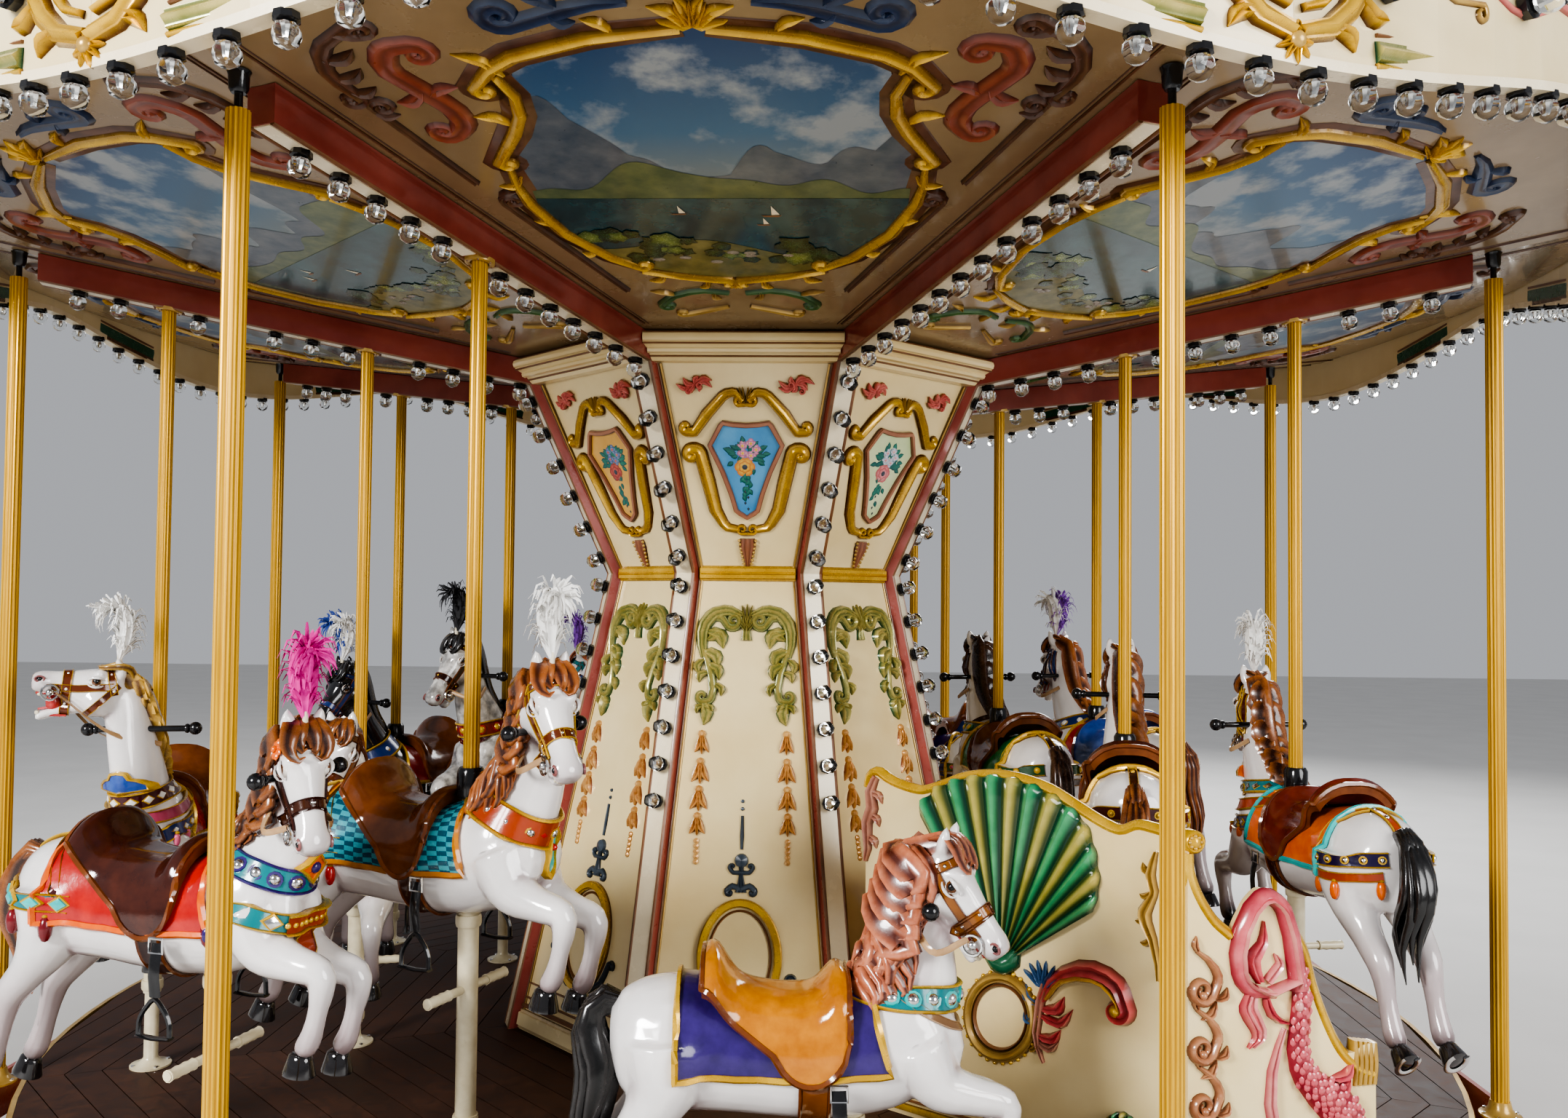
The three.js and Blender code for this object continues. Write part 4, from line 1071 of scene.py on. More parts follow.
def horse_form(bearing):
    """The overlapping closed forms that make up one horse's body."""
    form = Shape()
    fine = curve(TORSO, 40)
    rings(form, [((x, 0, (top + low) / 2), (0, wide, 0), (0, 0, (top - low) / 2))
                 for x, top, low, wide in fine], 28, 2.15)
    stations = []
    for share in np.linspace(0, 1, 22):
        centre, _, throat, left, half = bearing.neck_frame(share)
        stations.append((centre, left * half[0], throat * half[1]))
    rings(form, stations, 24, 2.1)
    fine = curve(HEAD, 26)
    rings(form, [(bearing.head(t, line - deep), bearing.left * wide, bearing.brow * deep)
                 for t, wide, deep, line in fine], 22, 2.3)
    fine = curve(JAW, 14)
    rings(form, [(bearing.head(t, bearing.jaw(t)), bearing.left * wide, bearing.brow * deep)
                 for t, wide, deep in fine], 16)
    for side in (-1, 1):
        ball(form, bearing.head(0.27, -0.050, side * 0.026), 0.060)
        ball(form, bearing.head(0.27, 0.050, side * 0.042), (0.030, 0.022, 0.022))
        ball(form, bearing.head(0.90, 0.014, side * 0.029), 0.024)
        flat = np.array([1, side, 1, 1])
        limb(form, np.array(FORE_LEG) * flat + (0, 0, FORE_STEP * side, 0))
        limb(form, np.array(HIND_LEG) * flat)
        ball(form, (-0.47, side * 0.075, 0.20), (0.150, 0.090, 0.150))
        ball(form, (0.150, side * 0.070, 0.200), (0.110, 0.075, 0.130))
        ball(form, (0.245, side * 0.045, 0.200), (0.060, 0.060, 0.085))
        ear_foot = bearing.head(0.03, 0.045, side * 0.036)
        ear_tip = ear_foot + np.array([0, 0, 0.074]) + bearing.left * side * 0.012 \
            + bearing.facing * 0.020
        ear = curve([[*ear_foot, 0.025], [*(0.6 * ear_foot + 0.4 * ear_tip), 0.025],
                     [*(0.25 * ear_foot + 0.75 * ear_tip), 0.016], [*ear_tip, 0.005]], 10)
        tube(form, ear[:, :3], ear[:, 3], 10, flatten=0.75, up=tuple(bearing.facing))
    return form


def skin_mesh(form, voxel, target):
    """Points and faces of one smooth closed surface over overlapping forms."""
    mesh = bpy.data.meshes.new("form")
    mesh.from_pydata(form.arrays()[0].tolist(), [], form.faces)
    made = bpy.data.objects.new("form", mesh)
    bpy.context.scene.collection.objects.link(made)
    joined = made.modifiers.new("joined", "REMESH")
    joined.mode = "VOXEL"
    joined.voxel_size = voxel
    soft = made.modifiers.new("soft", "SMOOTH")
    soft.factor = 0.5
    soft.iterations = 7
    fewer = made.modifiers.new("fewer", "DECIMATE")
    fewer.ratio = 1.0
    fewer.show_viewport = False
    full = len(made.evaluated_get(bpy.context.evaluated_depsgraph_get()).data.polygons) * 2
    fewer.show_viewport = True
    fewer.ratio = min(1.0, target / full)
    bpy.context.view_layer.update()
    done = made.evaluated_get(bpy.context.evaluated_depsgraph_get()).data
    points = np.zeros(len(done.vertices) * 3, np.float32)
    done.vertices.foreach_get("co", points)
    faces = [list(face.vertices) for face in done.polygons]
    points = points.reshape(-1, 3).astype(float)
    bpy.data.objects.remove(made)
    bpy.data.meshes.remove(mesh)
    return points, faces


def horse_matrix(x, y, belly, heading):
    return Matrix.Translation((x, y, DECK + belly)) @ Matrix.Rotation(math.radians(heading), 4, "Z")


# Tack laid on a horse's skin

STRAP = [(-1.0, -0.5), (-1.08, 1.3), (-0.94, 2.0), (-0.80, 1.1), (0.80, 1.1), (0.94, 2.0),
         (1.08, 1.3), (1.0, -0.5)]
# crest across a strap: low at its edges and in its middle, where the leathers' deep tone is painted shade
STRAP_CREST = np.array([0, 0.6, 1, 0.25, 0.25, 1, 0.6, 0.0])
CORDS = (0, 1, 2, 4, 5, 6)


class Skin:
    """A horse's surface, to lay straps and cloth on."""

    def __init__(self, points, faces, coarse=1.0):
        self.points = points
        self.faces = faces
        self.coarse = coarse
        self.tree = BVHTree.FromPolygons([Vector(p) for p in points], faces)

    def near(self, point):
        place, normal, _, _ = self.tree.find_nearest(Vector(point))
        return np.array(place), np.array(normal)

    def hit(self, start, ahead):
        place, normal, _, _ = self.tree.ray_cast(Vector(start), Vector(ahead).normalized())
        if place is None:
            return self.near(np.asarray(start) + 0.3 * np.asarray(ahead))
        return np.array(place), np.array(normal)

    def round(self, centre, first, second, start, end, reach=0.5, steps=40):
        """Surface points round a centre in the plane of two vectors, between two angles."""
        found = []
        for angle in np.radians(np.linspace(start, end, steps)):
            out = math.cos(angle) * np.asarray(first, float) + math.sin(angle) * np.asarray(second, float)
            found.append(self.hit(np.asarray(centre) + out * reach, -out)[0])
        return np.array(found)


def smoothed(values, turns=2, loop=False):
    values = np.array(values, float)
    for _ in range(turns):
        if loop:
            values = (np.roll(values, 1, 0) + 2 * values + np.roll(values, -1, 0)) / 4
        else:
            values[1:-1] = (values[:-2] + 2 * values[1:-1] + values[2:]) / 4
    return values


def unit(rows):
    return rows / np.maximum(np.linalg.norm(rows, axis=-1, keepdims=True), 1e-9)


def strap(shape, skin, path, width, thick, tone=0, edge=None, loop=False, pitch=0.018, lift=0.0):
    """A strap laid along a line on the skin, with corded edges. Returns its centre frames."""
    path = np.asarray(path, float)
    if loop:
        path = np.vstack([path, path[:1]])
    gone = np.linalg.norm(np.diff(path, axis=0), axis=1).sum()
    path = stepped(path, max(6, int(gone / (pitch * skin.coarse))))
    if loop:
        path = path[:-1]
    found = [skin.near(p) for p in path]
    place = smoothed([f[0] for f in found], 2, loop)
    normal = unit(smoothed([f[1] for f in found], 4, loop))
    if loop:
        ahead = unit(np.roll(place, -1, 0) - np.roll(place, 1, 0))
    else:
        ahead = unit(np.gradient(place, axis=0))
    side = unit(np.cross(normal, ahead))
    wide = along(width, len(place)) if np.size(width) > 1 else np.full(len(place), float(width))
    columns = []
    for across, level in STRAP:
        at = place + side * (across * wide / 2)[:, None]
        held = np.array([skin.near(p)[0] for p in at])
        columns.append(held + normal * (lift + level * thick))
    rows = np.stack(columns, 1)
    crest = np.broadcast_to(STRAP_CREST[None, :], rows.shape[:2])
    made = Shape()
    made.grid(rows, wrap=True, caps=not loop, tone=tone, crest=crest, loop=loop)
    if edge is not None:
        across = len(STRAP)
        made.tones = [edge if k % across in CORDS and k < len(place) * across else tone
                      for k in range(len(made.tones))]
    shape.merge(made)
    return np.concatenate([place + normal * (lift + thick), normal, ahead], 1)


def seated(frame_row):
    """A matrix whose z stands out of a strap and whose x runs along it."""
    place, normal, ahead = frame_row[:3], frame_row[3:6], frame_row[6:9]
    normal = normal / np.linalg.norm(normal)
    ahead = unit(ahead - normal * (ahead @ normal))
    side = np.cross(normal, ahead)
    return axes_matrix(ahead, side, normal, place)


def studs(shape, frames, every, size, tone, kind="dome", rim=None, start=0):
    """Ornaments set along a strap: domes in rims, or diamonds."""
    for row in frames[start::every]:
        matrix = seated(row)
        if kind == "dome":
            if rim is not None:
                lathe(shape, [(1.35 * size, -0.002), (1.3 * size, 0.3 * size), (size, 0.32 * size)], 10,
                      rim, matrix)
            lathe(shape, [(size, 0.1 * size), (0.8 * size, 0.55 * size), (0.3 * size, 0.8 * size)], 9,
                  tone, matrix)
        else:
            for scale, low, high, paint_tone in ((1.35, -0.002, 0.25 * size, rim),
                                                 (1.0, 0.1 * size, 0.5 * size, tone)):
                if paint_tone is None:
                    continue
                reach = scale * size
                foot = [(1.15 * reach, 0, low), (0, 0.85 * reach, low), (-1.15 * reach, 0, low),
                        (0, -0.85 * reach, low)]
                crown = [(0.85 * x, 0.85 * y, high) for x, y, _ in foot]
                made = Shape()
                made.grid([foot, crown, [(0.35 * x, 0.35 * y, 1.25 * high) for x, y, _ in foot]],
                          wrap=True, caps=True, tone=paint_tone)
                shape.merge(made, matrix)


def patch(shape, skin, rear, front, reach, lift, tone, steps=(16, 26), hem=None, cord=0.006,
          slant=0.0):
    """Cloth or leather over the back: reach gives how far down each side it goes, in degrees,
    and lift its thickness, both by the share of the way from rear to front. slant carries the
    lower front corners forwards."""
    many, across = steps
    centre = np.array([0, 0, BACK_AXIS])
    rows = []
    for share in np.linspace(0, 1, many):
        x = rear + (front - rear) * share
        far = reach(share)
        line = []
        for part in np.linspace(-1, 1, across):
            angle = math.radians(far * part)
            out = np.array([0, math.sin(angle), math.cos(angle)])
            ahead = (x + slant * share * abs(part) ** 2, 0, 0)
            place = skin.hit(centre + ahead + out * 0.5, -out)[0]
            line.append(place + out * lift(share, abs(part) * far))
        rows.append(line)
    rows = np.array(rows)
    rows[1:-1, 1:-1] = smoothed(rows, 1)[1:-1, 1:-1]
    border = np.concatenate([rows[0], rows[1:, -1], rows[-1, -2::-1], rows[-2:0:-1, 0]])
    inward = centre - border
    inward[:, 0] = 0
    u, v = np.meshgrid(np.linspace(0, 1, many), np.linspace(0, 1, across), indexing="ij")
    shape.grid(rows, tone=tone, flat=np.stack([u.ravel(), v.ravel()], 1))
    shape.grid(np.stack([border, border + unit(inward) * 0.035]), wrap=True,
               tone=tone if hem is None else hem)
    if hem is not None:
        tube(shape, np.vstack([border, border[:2]]), cord, 5, hem, up=(0.2, 0.3, 0.9), flatten=1.3)
    return border


def hair_section(ridges, points, depth):
    turn = full_turn(points)
    swell = 1 + depth * np.cos(ridges * turn)
    return np.stack([np.cos(turn) * swell, np.sin(turn) * swell], 1)


HAIR = hair_section(3, 12, 0.24)
# crest round a lock: low in its grooves, where the hair paint's deep tone is painted shade
HAIR_RIDGE = 0.5 + 0.5 * np.cos(3 * full_turn(12))


def lock(shape, path, width, thick=0.5, up=(0, 1, 0), steps=10, tone=0):
    """One grooved lock of carved hair that tapers to a curled tip."""
    fine = curve(path, steps)
    size = width * along([0.55, 0.9, 1.0, 1.0, 0.92, 0.8, 0.6, 0.35, 0.08], steps) / 2
    tube(shape, fine, size, flatten=thick, up=up, section=HAIR, tone=tone,
         crest=np.tile(HAIR_RIDGE, steps))


def neck_point(bearing, share, angle, puff, side):
    """A place over the neck: angle runs from the crest round towards the throat."""
    centre, _, throat, left, (wide, deep) = bearing.neck_frame(float(np.clip(share, 0, 1)))
    turn = math.radians(angle)
    out = -throat * math.cos(turn) * deep + left * side * math.sin(turn) * wide
    return centre + out + unit(out) * puff


def mane(shape, bearing, rng, sides, locks, width, fall, swirl=1.0, crown=None):
    """Carved mane: broad grooved locks that leave the crest side by side, swing over the side of
    the neck and hang down it in even waves, and a forelock that curls over the forehead.
    crown is how far a roll of heavy curls stands out over the poll and the crest."""
    for side, fullness in sides:
        for layer, (spread, start, puff) in enumerate(((84, 0.0, 0.008), (62, 0.5, 0.022))):
            many = locks - layer
            for k in range(many):
                share = 1.02 - 0.84 * (k + start) / many
                far = fullness * (spread - 0.45 * spread * k / many) * rng.uniform(0.92, 1.06)
                drop = min(fall * fullness * rng.uniform(0.85, 1.12), share + 0.02)
                keys = [(0.05, -14), (0.03, 0.40 * far), (-0.03, 0.80 * far)]
                for part in (0.28, 0.46, 0.64, 0.82, 1.0):
                    wave = 13 * swirl * math.sin(2 * math.pi * (part * 1.35 + 0.05 * k + 0.2 * layer))
                    keys.append((-part * drop, far * (1 - 0.12 * part) + wave))
                points = [neck_point(bearing, share + along_neck, angle, puff * (0.4 + 0.6 * (n > 0)), side)
                          for n, (along_neck, angle) in enumerate(keys)]
                below = bearing.neck_frame(float(np.clip(share - 0.4 * drop, 0, 1)))[0]
                lock(shape, points, width * rng.uniform(0.9, 1.12) * (1 - 0.08 * layer), 0.50,
                     tuple(unit(points[4] - below)), 15)
    if crown:
        for k in range(5):
            share = 1.0 - 0.095 * k
            for side in (-1, 1):
                keys = [(0.06, -16, 0.30), (0.065, 20, 1.00), (0.0, 52, 1.05), (-0.09, 86, 0.80),
                        (-0.18, 70 - 6 * k, 0.70), (-0.27, 92 - 8 * k, 0.60), (-0.36, 74 - 8 * k, 0.50),
                        (-0.45, 90 - 10 * k, 0.40), (-0.52, 76 - 10 * k, 0.20)]
                points = [neck_point(bearing, share + part, turn, bulge * crown, side)
                          for part, turn, bulge in keys if share + part > 0.05]
                below = bearing.neck_frame(float(np.clip(share - 0.2, 0, 1)))[0]
                lock(shape, points, 0.080, 0.50, tuple(unit(points[3] - below)), 19)
    spine = [neck_point(bearing, share, 0, 0.004, 1) for share in np.linspace(0.10, 1.0, 14)]
    spine.append(bearing.head(0.0, 0.050))
    tube(shape, spine, along([0.008, 0.028, 0.036, 0.040, 0.034], 15), section=HAIR, up=(0, 1, 0),
         crest=np.tile(HAIR_RIDGE, 15))
    for sway, reach in ((-1.1, 1.0), (1.2, 1.0), (-0.45, 0.75), (0.5, 0.85)):
        start = bearing.head(-0.10, 0.030, 0.010 * sway)
        points = [start, bearing.head(-0.03, 0.072, 0.020 * sway),
                  bearing.head(0.09 * reach, 0.084, 0.040 * sway),
                  bearing.head(0.20 * reach, 0.078, 0.046 * sway),
                  bearing.head(0.29 * reach, 0.076, 0.030 * sway),
                  bearing.head(0.27 * reach, 0.084, 0.012 * sway)]
        lock(shape, points, 0.056, 0.45, tuple(bearing.brow), 12)


def tail(shape, rng, length=0.44, width=0.062, flow=0.0):
    """Carved tail: grooved locks that leave the rump, arch and fall behind the hind legs."""
    for k in range(9):
        turn = 2 * math.pi * k / 9
        spread = 0.034 * np.array([math.cos(turn), math.sin(turn)])
        fall = length * rng.uniform(0.80, 1.04)
        points = [
            (-0.625, 0.25 * spread[1], 0.300 + 0.25 * spread[0]),
            (-0.685, 0.6 * spread[1], 0.305 + 0.5 * spread[0]),
            (-0.722 + 0.4 * spread[0], 0.9 * spread[1], 0.24),
            (-0.728 + spread[0] - 0.2 * flow, 1.15 * spread[1] + flow * 0.10, 0.305 - 0.45 * fall),
            (-0.715 + 1.1 * spread[0], 1.2 * spread[1] + flow * 0.16, 0.305 - 0.75 * fall),
            (-0.725 + 0.8 * spread[0], 0.9 * spread[1] + flow * 0.14, 0.305 - fall),
        ]
        lock(shape, points, width * rng.uniform(0.85, 1.1), 0.6, (0, 1, 0), 11)


def plume(shape, bearing, tones, rng, height=0.22, barbs=120, stem_tone=0, stem=0.045):
    """Ostrich feathers on a short stem at the forehead: a soft full body that curls over
    forwards, fringed with thin curled barbs."""
    root = bearing.head(0.06, 0.064)
    upright = unit(np.array([0, 0, 1.0]) + 0.12 * bearing.facing)
    tube(shape, [root, root + upright * stem, root + upright * (stem + 0.02)], [0.010, 0.0085, 0.006],
         8, stem_tone)
    root = root + upright * stem
    for feather, tone in enumerate(tones):
        sway = (feather - (len(tones) - 1) / 2) * 0.9
        lean = bearing.left * sway
        quill = curve([root, root + (0, 0, 0.35 * height) - bearing.facing * 0.016 + lean * 0.02,
                       root + (0, 0, 0.70 * height) - bearing.facing * 0.018 + lean * 0.05,
                       root + (0, 0, 0.90 * height) + bearing.facing * 0.014 + lean * 0.07,
                       root + (0, 0, 0.84 * height) + bearing.facing * 0.062 + lean * 0.08], 20)
        body = hair_section(9, 27, 0.16)
        tube(shape, quill, along([0.008, 0.024, 0.034, 0.037, 0.032, 0.020, 0.006], 20), tone=tone,
             section=body, flatten=0.8, up=tuple(bearing.facing), crest=0.25)
        for k in range(barbs):
            share = 0.05 + 0.95 * (k + rng.random()) / barbs
            at = share * 19
            low = min(int(at), 18)
            start = quill[low] + (quill[low + 1] - quill[low]) * (at - low)
            ahead = unit(quill[low + 1] - quill[low])
            turn = rng.uniform(0, 2 * math.pi)
            first = unit(np.cross(ahead, (0.31, 0.2, 0.93)))
            second = np.cross(ahead, first)
            outward = math.cos(turn) * first + math.sin(turn) * second
            reach = rng.uniform(0.044, 0.066) * math.sin(math.pi * min(1, 0.22 + 0.62 * share)) ** 0.5
            fold = rng.uniform(0.30, 0.75) * np.array([0, 0, reach])
            barb = curve([start + outward * 0.15 * reach,
                          start + outward * 0.55 * reach + ahead * 0.55 * reach,
                          start + outward * 0.95 * reach + ahead * 0.95 * reach,
                          start + outward * 1.25 * reach + ahead * 0.95 * reach - fold], 5)
            tube(shape, barb, along([0.0046, 0.0058, 0.0012], 5), 4, tone, flatten=0.35,
                 up=tuple(outward * 0.3 + ahead), crest=0.4 + 0.6 * rng.random())


def hoof(shape, place, turn=0.0, shoe=None):
    """A flared glossy hoof below a pastern, tilted with the leg."""
    matrix = Matrix.Translation(Vector(place)) @ Matrix.Rotation(turn, 4, "Y")
    profile = [(0.024, 0.004), (0.031, -0.002), (0.034, -0.012), (0.044, -0.050), (0.0445, -0.056),
               (0.040, -0.058)]
    made = Shape()
    lathe(made, profile, 14, 0)
    stretch = Matrix.Diagonal((1.08, 0.87, 1, 1))
    shape.merge(made, matrix @ stretch)
    if shoe is not None:
        angle = np.linspace(-2.4, 2.4, 16)
        ring = np.column_stack([0.040 * np.cos(angle), 0.036 * np.sin(angle), np.full(16, -0.060)])
        made = Shape()
        tube(made, ring, 0.0115, 6, shoe, flatten=0.35)
        shape.merge(made, matrix @ stretch)


def eye(shape, bearing, side, tones):
    """Bulging glossy eye with a pupil, white corners and carved lids."""
    white, iris, pupil, lid = tones
    centre = bearing.head(0.31, 0.022, side * 0.0530)
    out = bearing.left * side
    forward = unit(out + 0.3 * bearing.brow)
    ball(shape, centre, 0.0220, white, 12, 8)
    ball(shape, centre + forward * 0.0055, 0.0188, iris, 12, 8)
    ball(shape, centre + forward * 0.0125, 0.0135, pupil, 10, 6)
    for lift, thick in ((1, 0.0066), (-1, 0.0048)):
        arc = []
        for angle in np.linspace(-1.35, 1.35, 9):
            arc.append(centre + out * (0.0200 * math.cos(angle) + 0.001)
                       + bearing.down * 0.029 * math.sin(angle)
                       + bearing.brow * lift * 0.0175 * math.cos(angle) ** 0.7)
        tube(shape, arc, along([0.002, thick, 0.002], 9), 6, lid, up=tuple(out))


def face(shape, bearing, tones, teeth=True):
    """Nostrils, lips, teeth and tongue. Tones: rim, hollow, lip, tooth, tongue."""
    rim, hollow, lip, tooth, tongue = tones
    for side in (-1, 1):
        centre = bearing.head(0.915, 0.022, side * 0.0440)
        out = unit(bearing.left * side + 0.4 * bearing.down)
        ring = []
        for angle in np.linspace(0, 2 * math.pi, 12)[:-1]:
            ring.append(centre + bearing.down * 0.0145 * math.cos(angle)
                        + bearing.brow * 0.0095 * math.sin(angle))
        tube(shape, ring + ring[:2], 0.0045, 5, rim, up=tuple(out))
        ball(shape, centre - out * 0.002, (0.010, 0.010, 0.010), hollow, 10, 6)
    drop = bearing.gape * 0.55
    for share, brow, wide in ((0.93, -0.031, 0.036), (0.89, -0.055 - drop, 0.031)):
        arc = [bearing.head(share - 0.30 * abs(t) ** 2.0, brow + 0.004 * abs(t), t * wide)
               for t in np.linspace(-1, 1, 13)]
        tube(shape, arc, along([0.004, 0.006, 0.006, 0.006, 0.004], 13), 6, lip,
             up=tuple(bearing.brow))
    if teeth:
        for brow in (-0.034, -0.047 - drop):
            for k in range(6):
                t = (k - 2.5) / 2.5
                at = bearing.head(0.915 - 0.02 * t * t, brow, t * 0.018)
                ball(shape, at, (0.0055, 0.0052, 0.0075), tooth, 6, 4)
    if bearing.gape:
        ball(shape, bearing.head(0.74, -0.042 - 0.35 * drop), (0.028, 0.028, 0.5 * drop + 0.012), lip, 10, 6,
             axes_matrix(bearing.left, bearing.down, bearing.brow, (0, 0, 0)))
    arc = [bearing.head(share, -0.043 - 0.8 * drop * (share - 0.4) / 0.5 - 0.006 * math.sin(3 * share))
           for share in np.linspace(0.60, 0.90, 7)]
    tube(shape, arc, along([0.012, 0.016, 0.010], 7), 10, tongue, flatten=0.4, up=tuple(bearing.brow))


def bridle(shape, skin, bearing, tones, rosette=True, rein_to=None, band_width=0.030):
    """Noseband, cheek straps, brow band, throat latch, ring bit and reins.
    Tones: strap, edge, stud, metal, rosette, rosette heart, rein."""
    band, edge, stud, metal, petals, heart, rein = tones

    def halter(share, tilt, start, end, reach=0.25):
        ahead = unit(bearing.brow + tilt * bearing.down)
        return skin.round(bearing.head(share), ahead, bearing.left, start, end, reach, 30)

    nose = strap(shape, skin, halter(0.62, 0.0, -178, 178, 0.2), band_width, 0.004, band, edge,
                 pitch=0.014)
    studs(shape, nose, 4, 0.0055, stud)
    brow = strap(shape, skin, halter(0.115, 0.25, -112, 112), 0.026, 0.004, band, edge, pitch=0.014)
    studs(shape, brow, 4, 0.006, stud)
    strap(shape, skin, halter(0.10, -0.9, 70, 290, 0.3), 0.022, 0.004, band, edge, pitch=0.016)
    for side in (-1, 1):
        line = [bearing.head(t, 0.012 - 0.030 * t, side * 0.075) for t in np.linspace(0.10, 0.78, 16)]
        strap(shape, skin, line, band_width * 0.85, 0.004, band, edge, pitch=0.016)
        centre = bearing.head(0.79, -0.024, side * 0.052)
        ring = [centre + bearing.down * 0.027 * math.cos(a) + bearing.brow * 0.027 * math.sin(a)
                for a in np.linspace(0, 2 * math.pi, 17)[:-1]]
        tube(shape, ring + ring[:2], 0.0046, 6, metal, up=tuple(bearing.left))
        ball(shape, centre, (0.014, 0.014, 0.014), metal, 10, 6)
        bar = [bearing.head(0.79, -0.040, side * s) for s in (0.002, 0.034, 0.052)]
        tube(shape, bar, 0.004, 5, metal)
        if rosette:
            spot, out = skin.near(bearing.head(0.115, 0.020, side * 0.080))
            matrix = seated(np.concatenate([spot + out * 0.006, out, bearing.down]))
            for k in range(7):
                angle = 2 * math.pi * k / 7
                petal = Matrix.Rotation(angle, 4, "Z") @ Matrix.Translation((0.018, 0, 0))
                ball(shape, (0, 0, 0), (0.015, 0.011, 0.007), petals, 7, 4, matrix @ petal)
            ball(shape, (0, 0, 0), (0.011, 0.011, 0.010), heart, 9, 5,
                 matrix @ Matrix.Translation((0, 0, 0.006)))
        if rein_to is not None:
            end = np.array(rein_to) * (1, side, 1)
            start = centre - bearing.down * 0.02
            sag = (start + end) / 2 - (0, 0, 0.045) + bearing.left * side * 0.05
            tube(shape, curve([start, sag, end], 14), 0.010, 5, rein, flatten=0.35, up=(0, 1, 0))


def saddlery(shape, skin, tones, blanket=(-0.470, 0.045, 98), seat_ends=(-0.385, -0.045),
             pommel=0.050, cantle=0.095):
    """Blanket, deep glossy saddle with its flaps, girth and stirrups.
    Tones: cloth, cloth border, leather, leather edge, girth, iron, buckle."""
    cloth, border, leather, edge, girth, iron, buckle_metal = tones
    rear, front, down = blanket
    patch(shape, skin, rear, front, lambda t: down * (0.97 + 0.03 * math.sin(math.pi * t)),
          lambda t, angle: 0.010 + 0.003 * math.sin(9 * math.pi * t) * (angle / 98) ** 4, cloth, (19, 26),
          hem=border, cord=0.0085, slant=0.050)

    def seat(t, angle):
        narrow = max(0.0, 1 - (angle / 56) ** 2)
        back = math.exp(-((t - 0.07) / 0.12) ** 2)
        fore = math.exp(-((t - 0.92) / 0.10) ** 2)
        padding = 0.012 * math.sin(math.pi * min(1.0, angle / 95))
        return 0.018 + padding + narrow ** 0.7 * (cantle * back + pommel * fore)

    def flap(t):
        """The flap hangs from the whole seat and ends in a broad rounded tongue in front."""
        if t < 0.50:
            return 36 + 41 * (t / 0.50) ** 1.1
        return 58 + 44 * math.sqrt(max(0.0, 1 - ((t - 0.74) / 0.265) ** 2))

    low, high = seat_ends
    patch(shape, skin, low, high, flap, seat, leather, (30, 30), hem=edge, cord=0.0075)
    loop = skin.round((-0.105, 0, BACK_AXIS), (0, 0, -1), (0, 1, 0), -92, 92, 0.5, 30)
    strap(shape, skin, loop, 0.080, 0.006, girth, edge, pitch=0.026)
    for side in (-1, 1):
        top = skin.hit((-0.045, side * 0.5, 0.13), (0, -side, 0))[0] + (0, side * 0.032, 0)
        low = np.array([-0.040, top[1] + side * 0.012, -0.015])
        leather_line = curve([top, (top + low) / 2 + (0, side * 0.010, 0), low], 8)
        tube(shape, leather_line, 0.019, 6, iron, flatten=0.25, up=(0, 1, 0))
        buckle = [top + (x, side * 0.008, z) for x, z in ((-0.022, 0.014), (0.022, 0.014),
                                                          (0.022, -0.026), (-0.022, -0.026))]
        tube(shape, buckle + buckle[:2], 0.0040, 5, buckle_metal, up=(0, 1, 0))
        stirrup(shape, low, iron)


def stirrup(shape, top, tone):
    """A forked stirrup iron hanging from its strap."""
    top = np.asarray(top)
    arch = curve([top + (-0.052, 0, -0.105), top + (-0.048, 0, -0.060), top + (-0.020, 0, -0.020),
                  top + (0, 0, -0.004), top + (0.020, 0, -0.020), top + (0.048, 0, -0.060),
                  top + (0.052, 0, -0.105)], 15)
    tube(shape, arch, 0.0075, 6, tone, up=(0, 1, 0))
    tread = [top + (-0.056, 0, -0.108), top + (0, 0, -0.112), top + (0.056, 0, -0.108)]
    tube(shape, curve(tread, 5), 0.015, 6, tone, flatten=0.35, up=(0, 0, 1))


def collar_line(skin, bearing, height, slope, steps=44):
    """A loop round the neck at a height, sloping down to the front."""
    heights = bearing.neck[:, 2]
    centre = np.array([np.interp(height, heights, bearing.neck[:, k]) for k in (0, 1)] + [height])
    turn = float(np.interp(height, heights, bearing.neck_turns))
    ahead = np.array([math.cos(turn), math.sin(turn), -slope])
    left = np.array([-math.sin(turn), math.cos(turn), 0])
    return skin.round(centre, unit(ahead), left, -180, 180, 0.35, steps)


def chest_line(reach, half, height, rise, steps=33):
    """A line round the front of the chest that rises towards the shoulders."""
    found = []
    for t in np.linspace(-0.84, 0.84, steps):
        angle = t * math.pi / 2
        found.append((reach * math.cos(angle) + 0.02, half * math.sin(angle), height + rise * t * t))
    return found


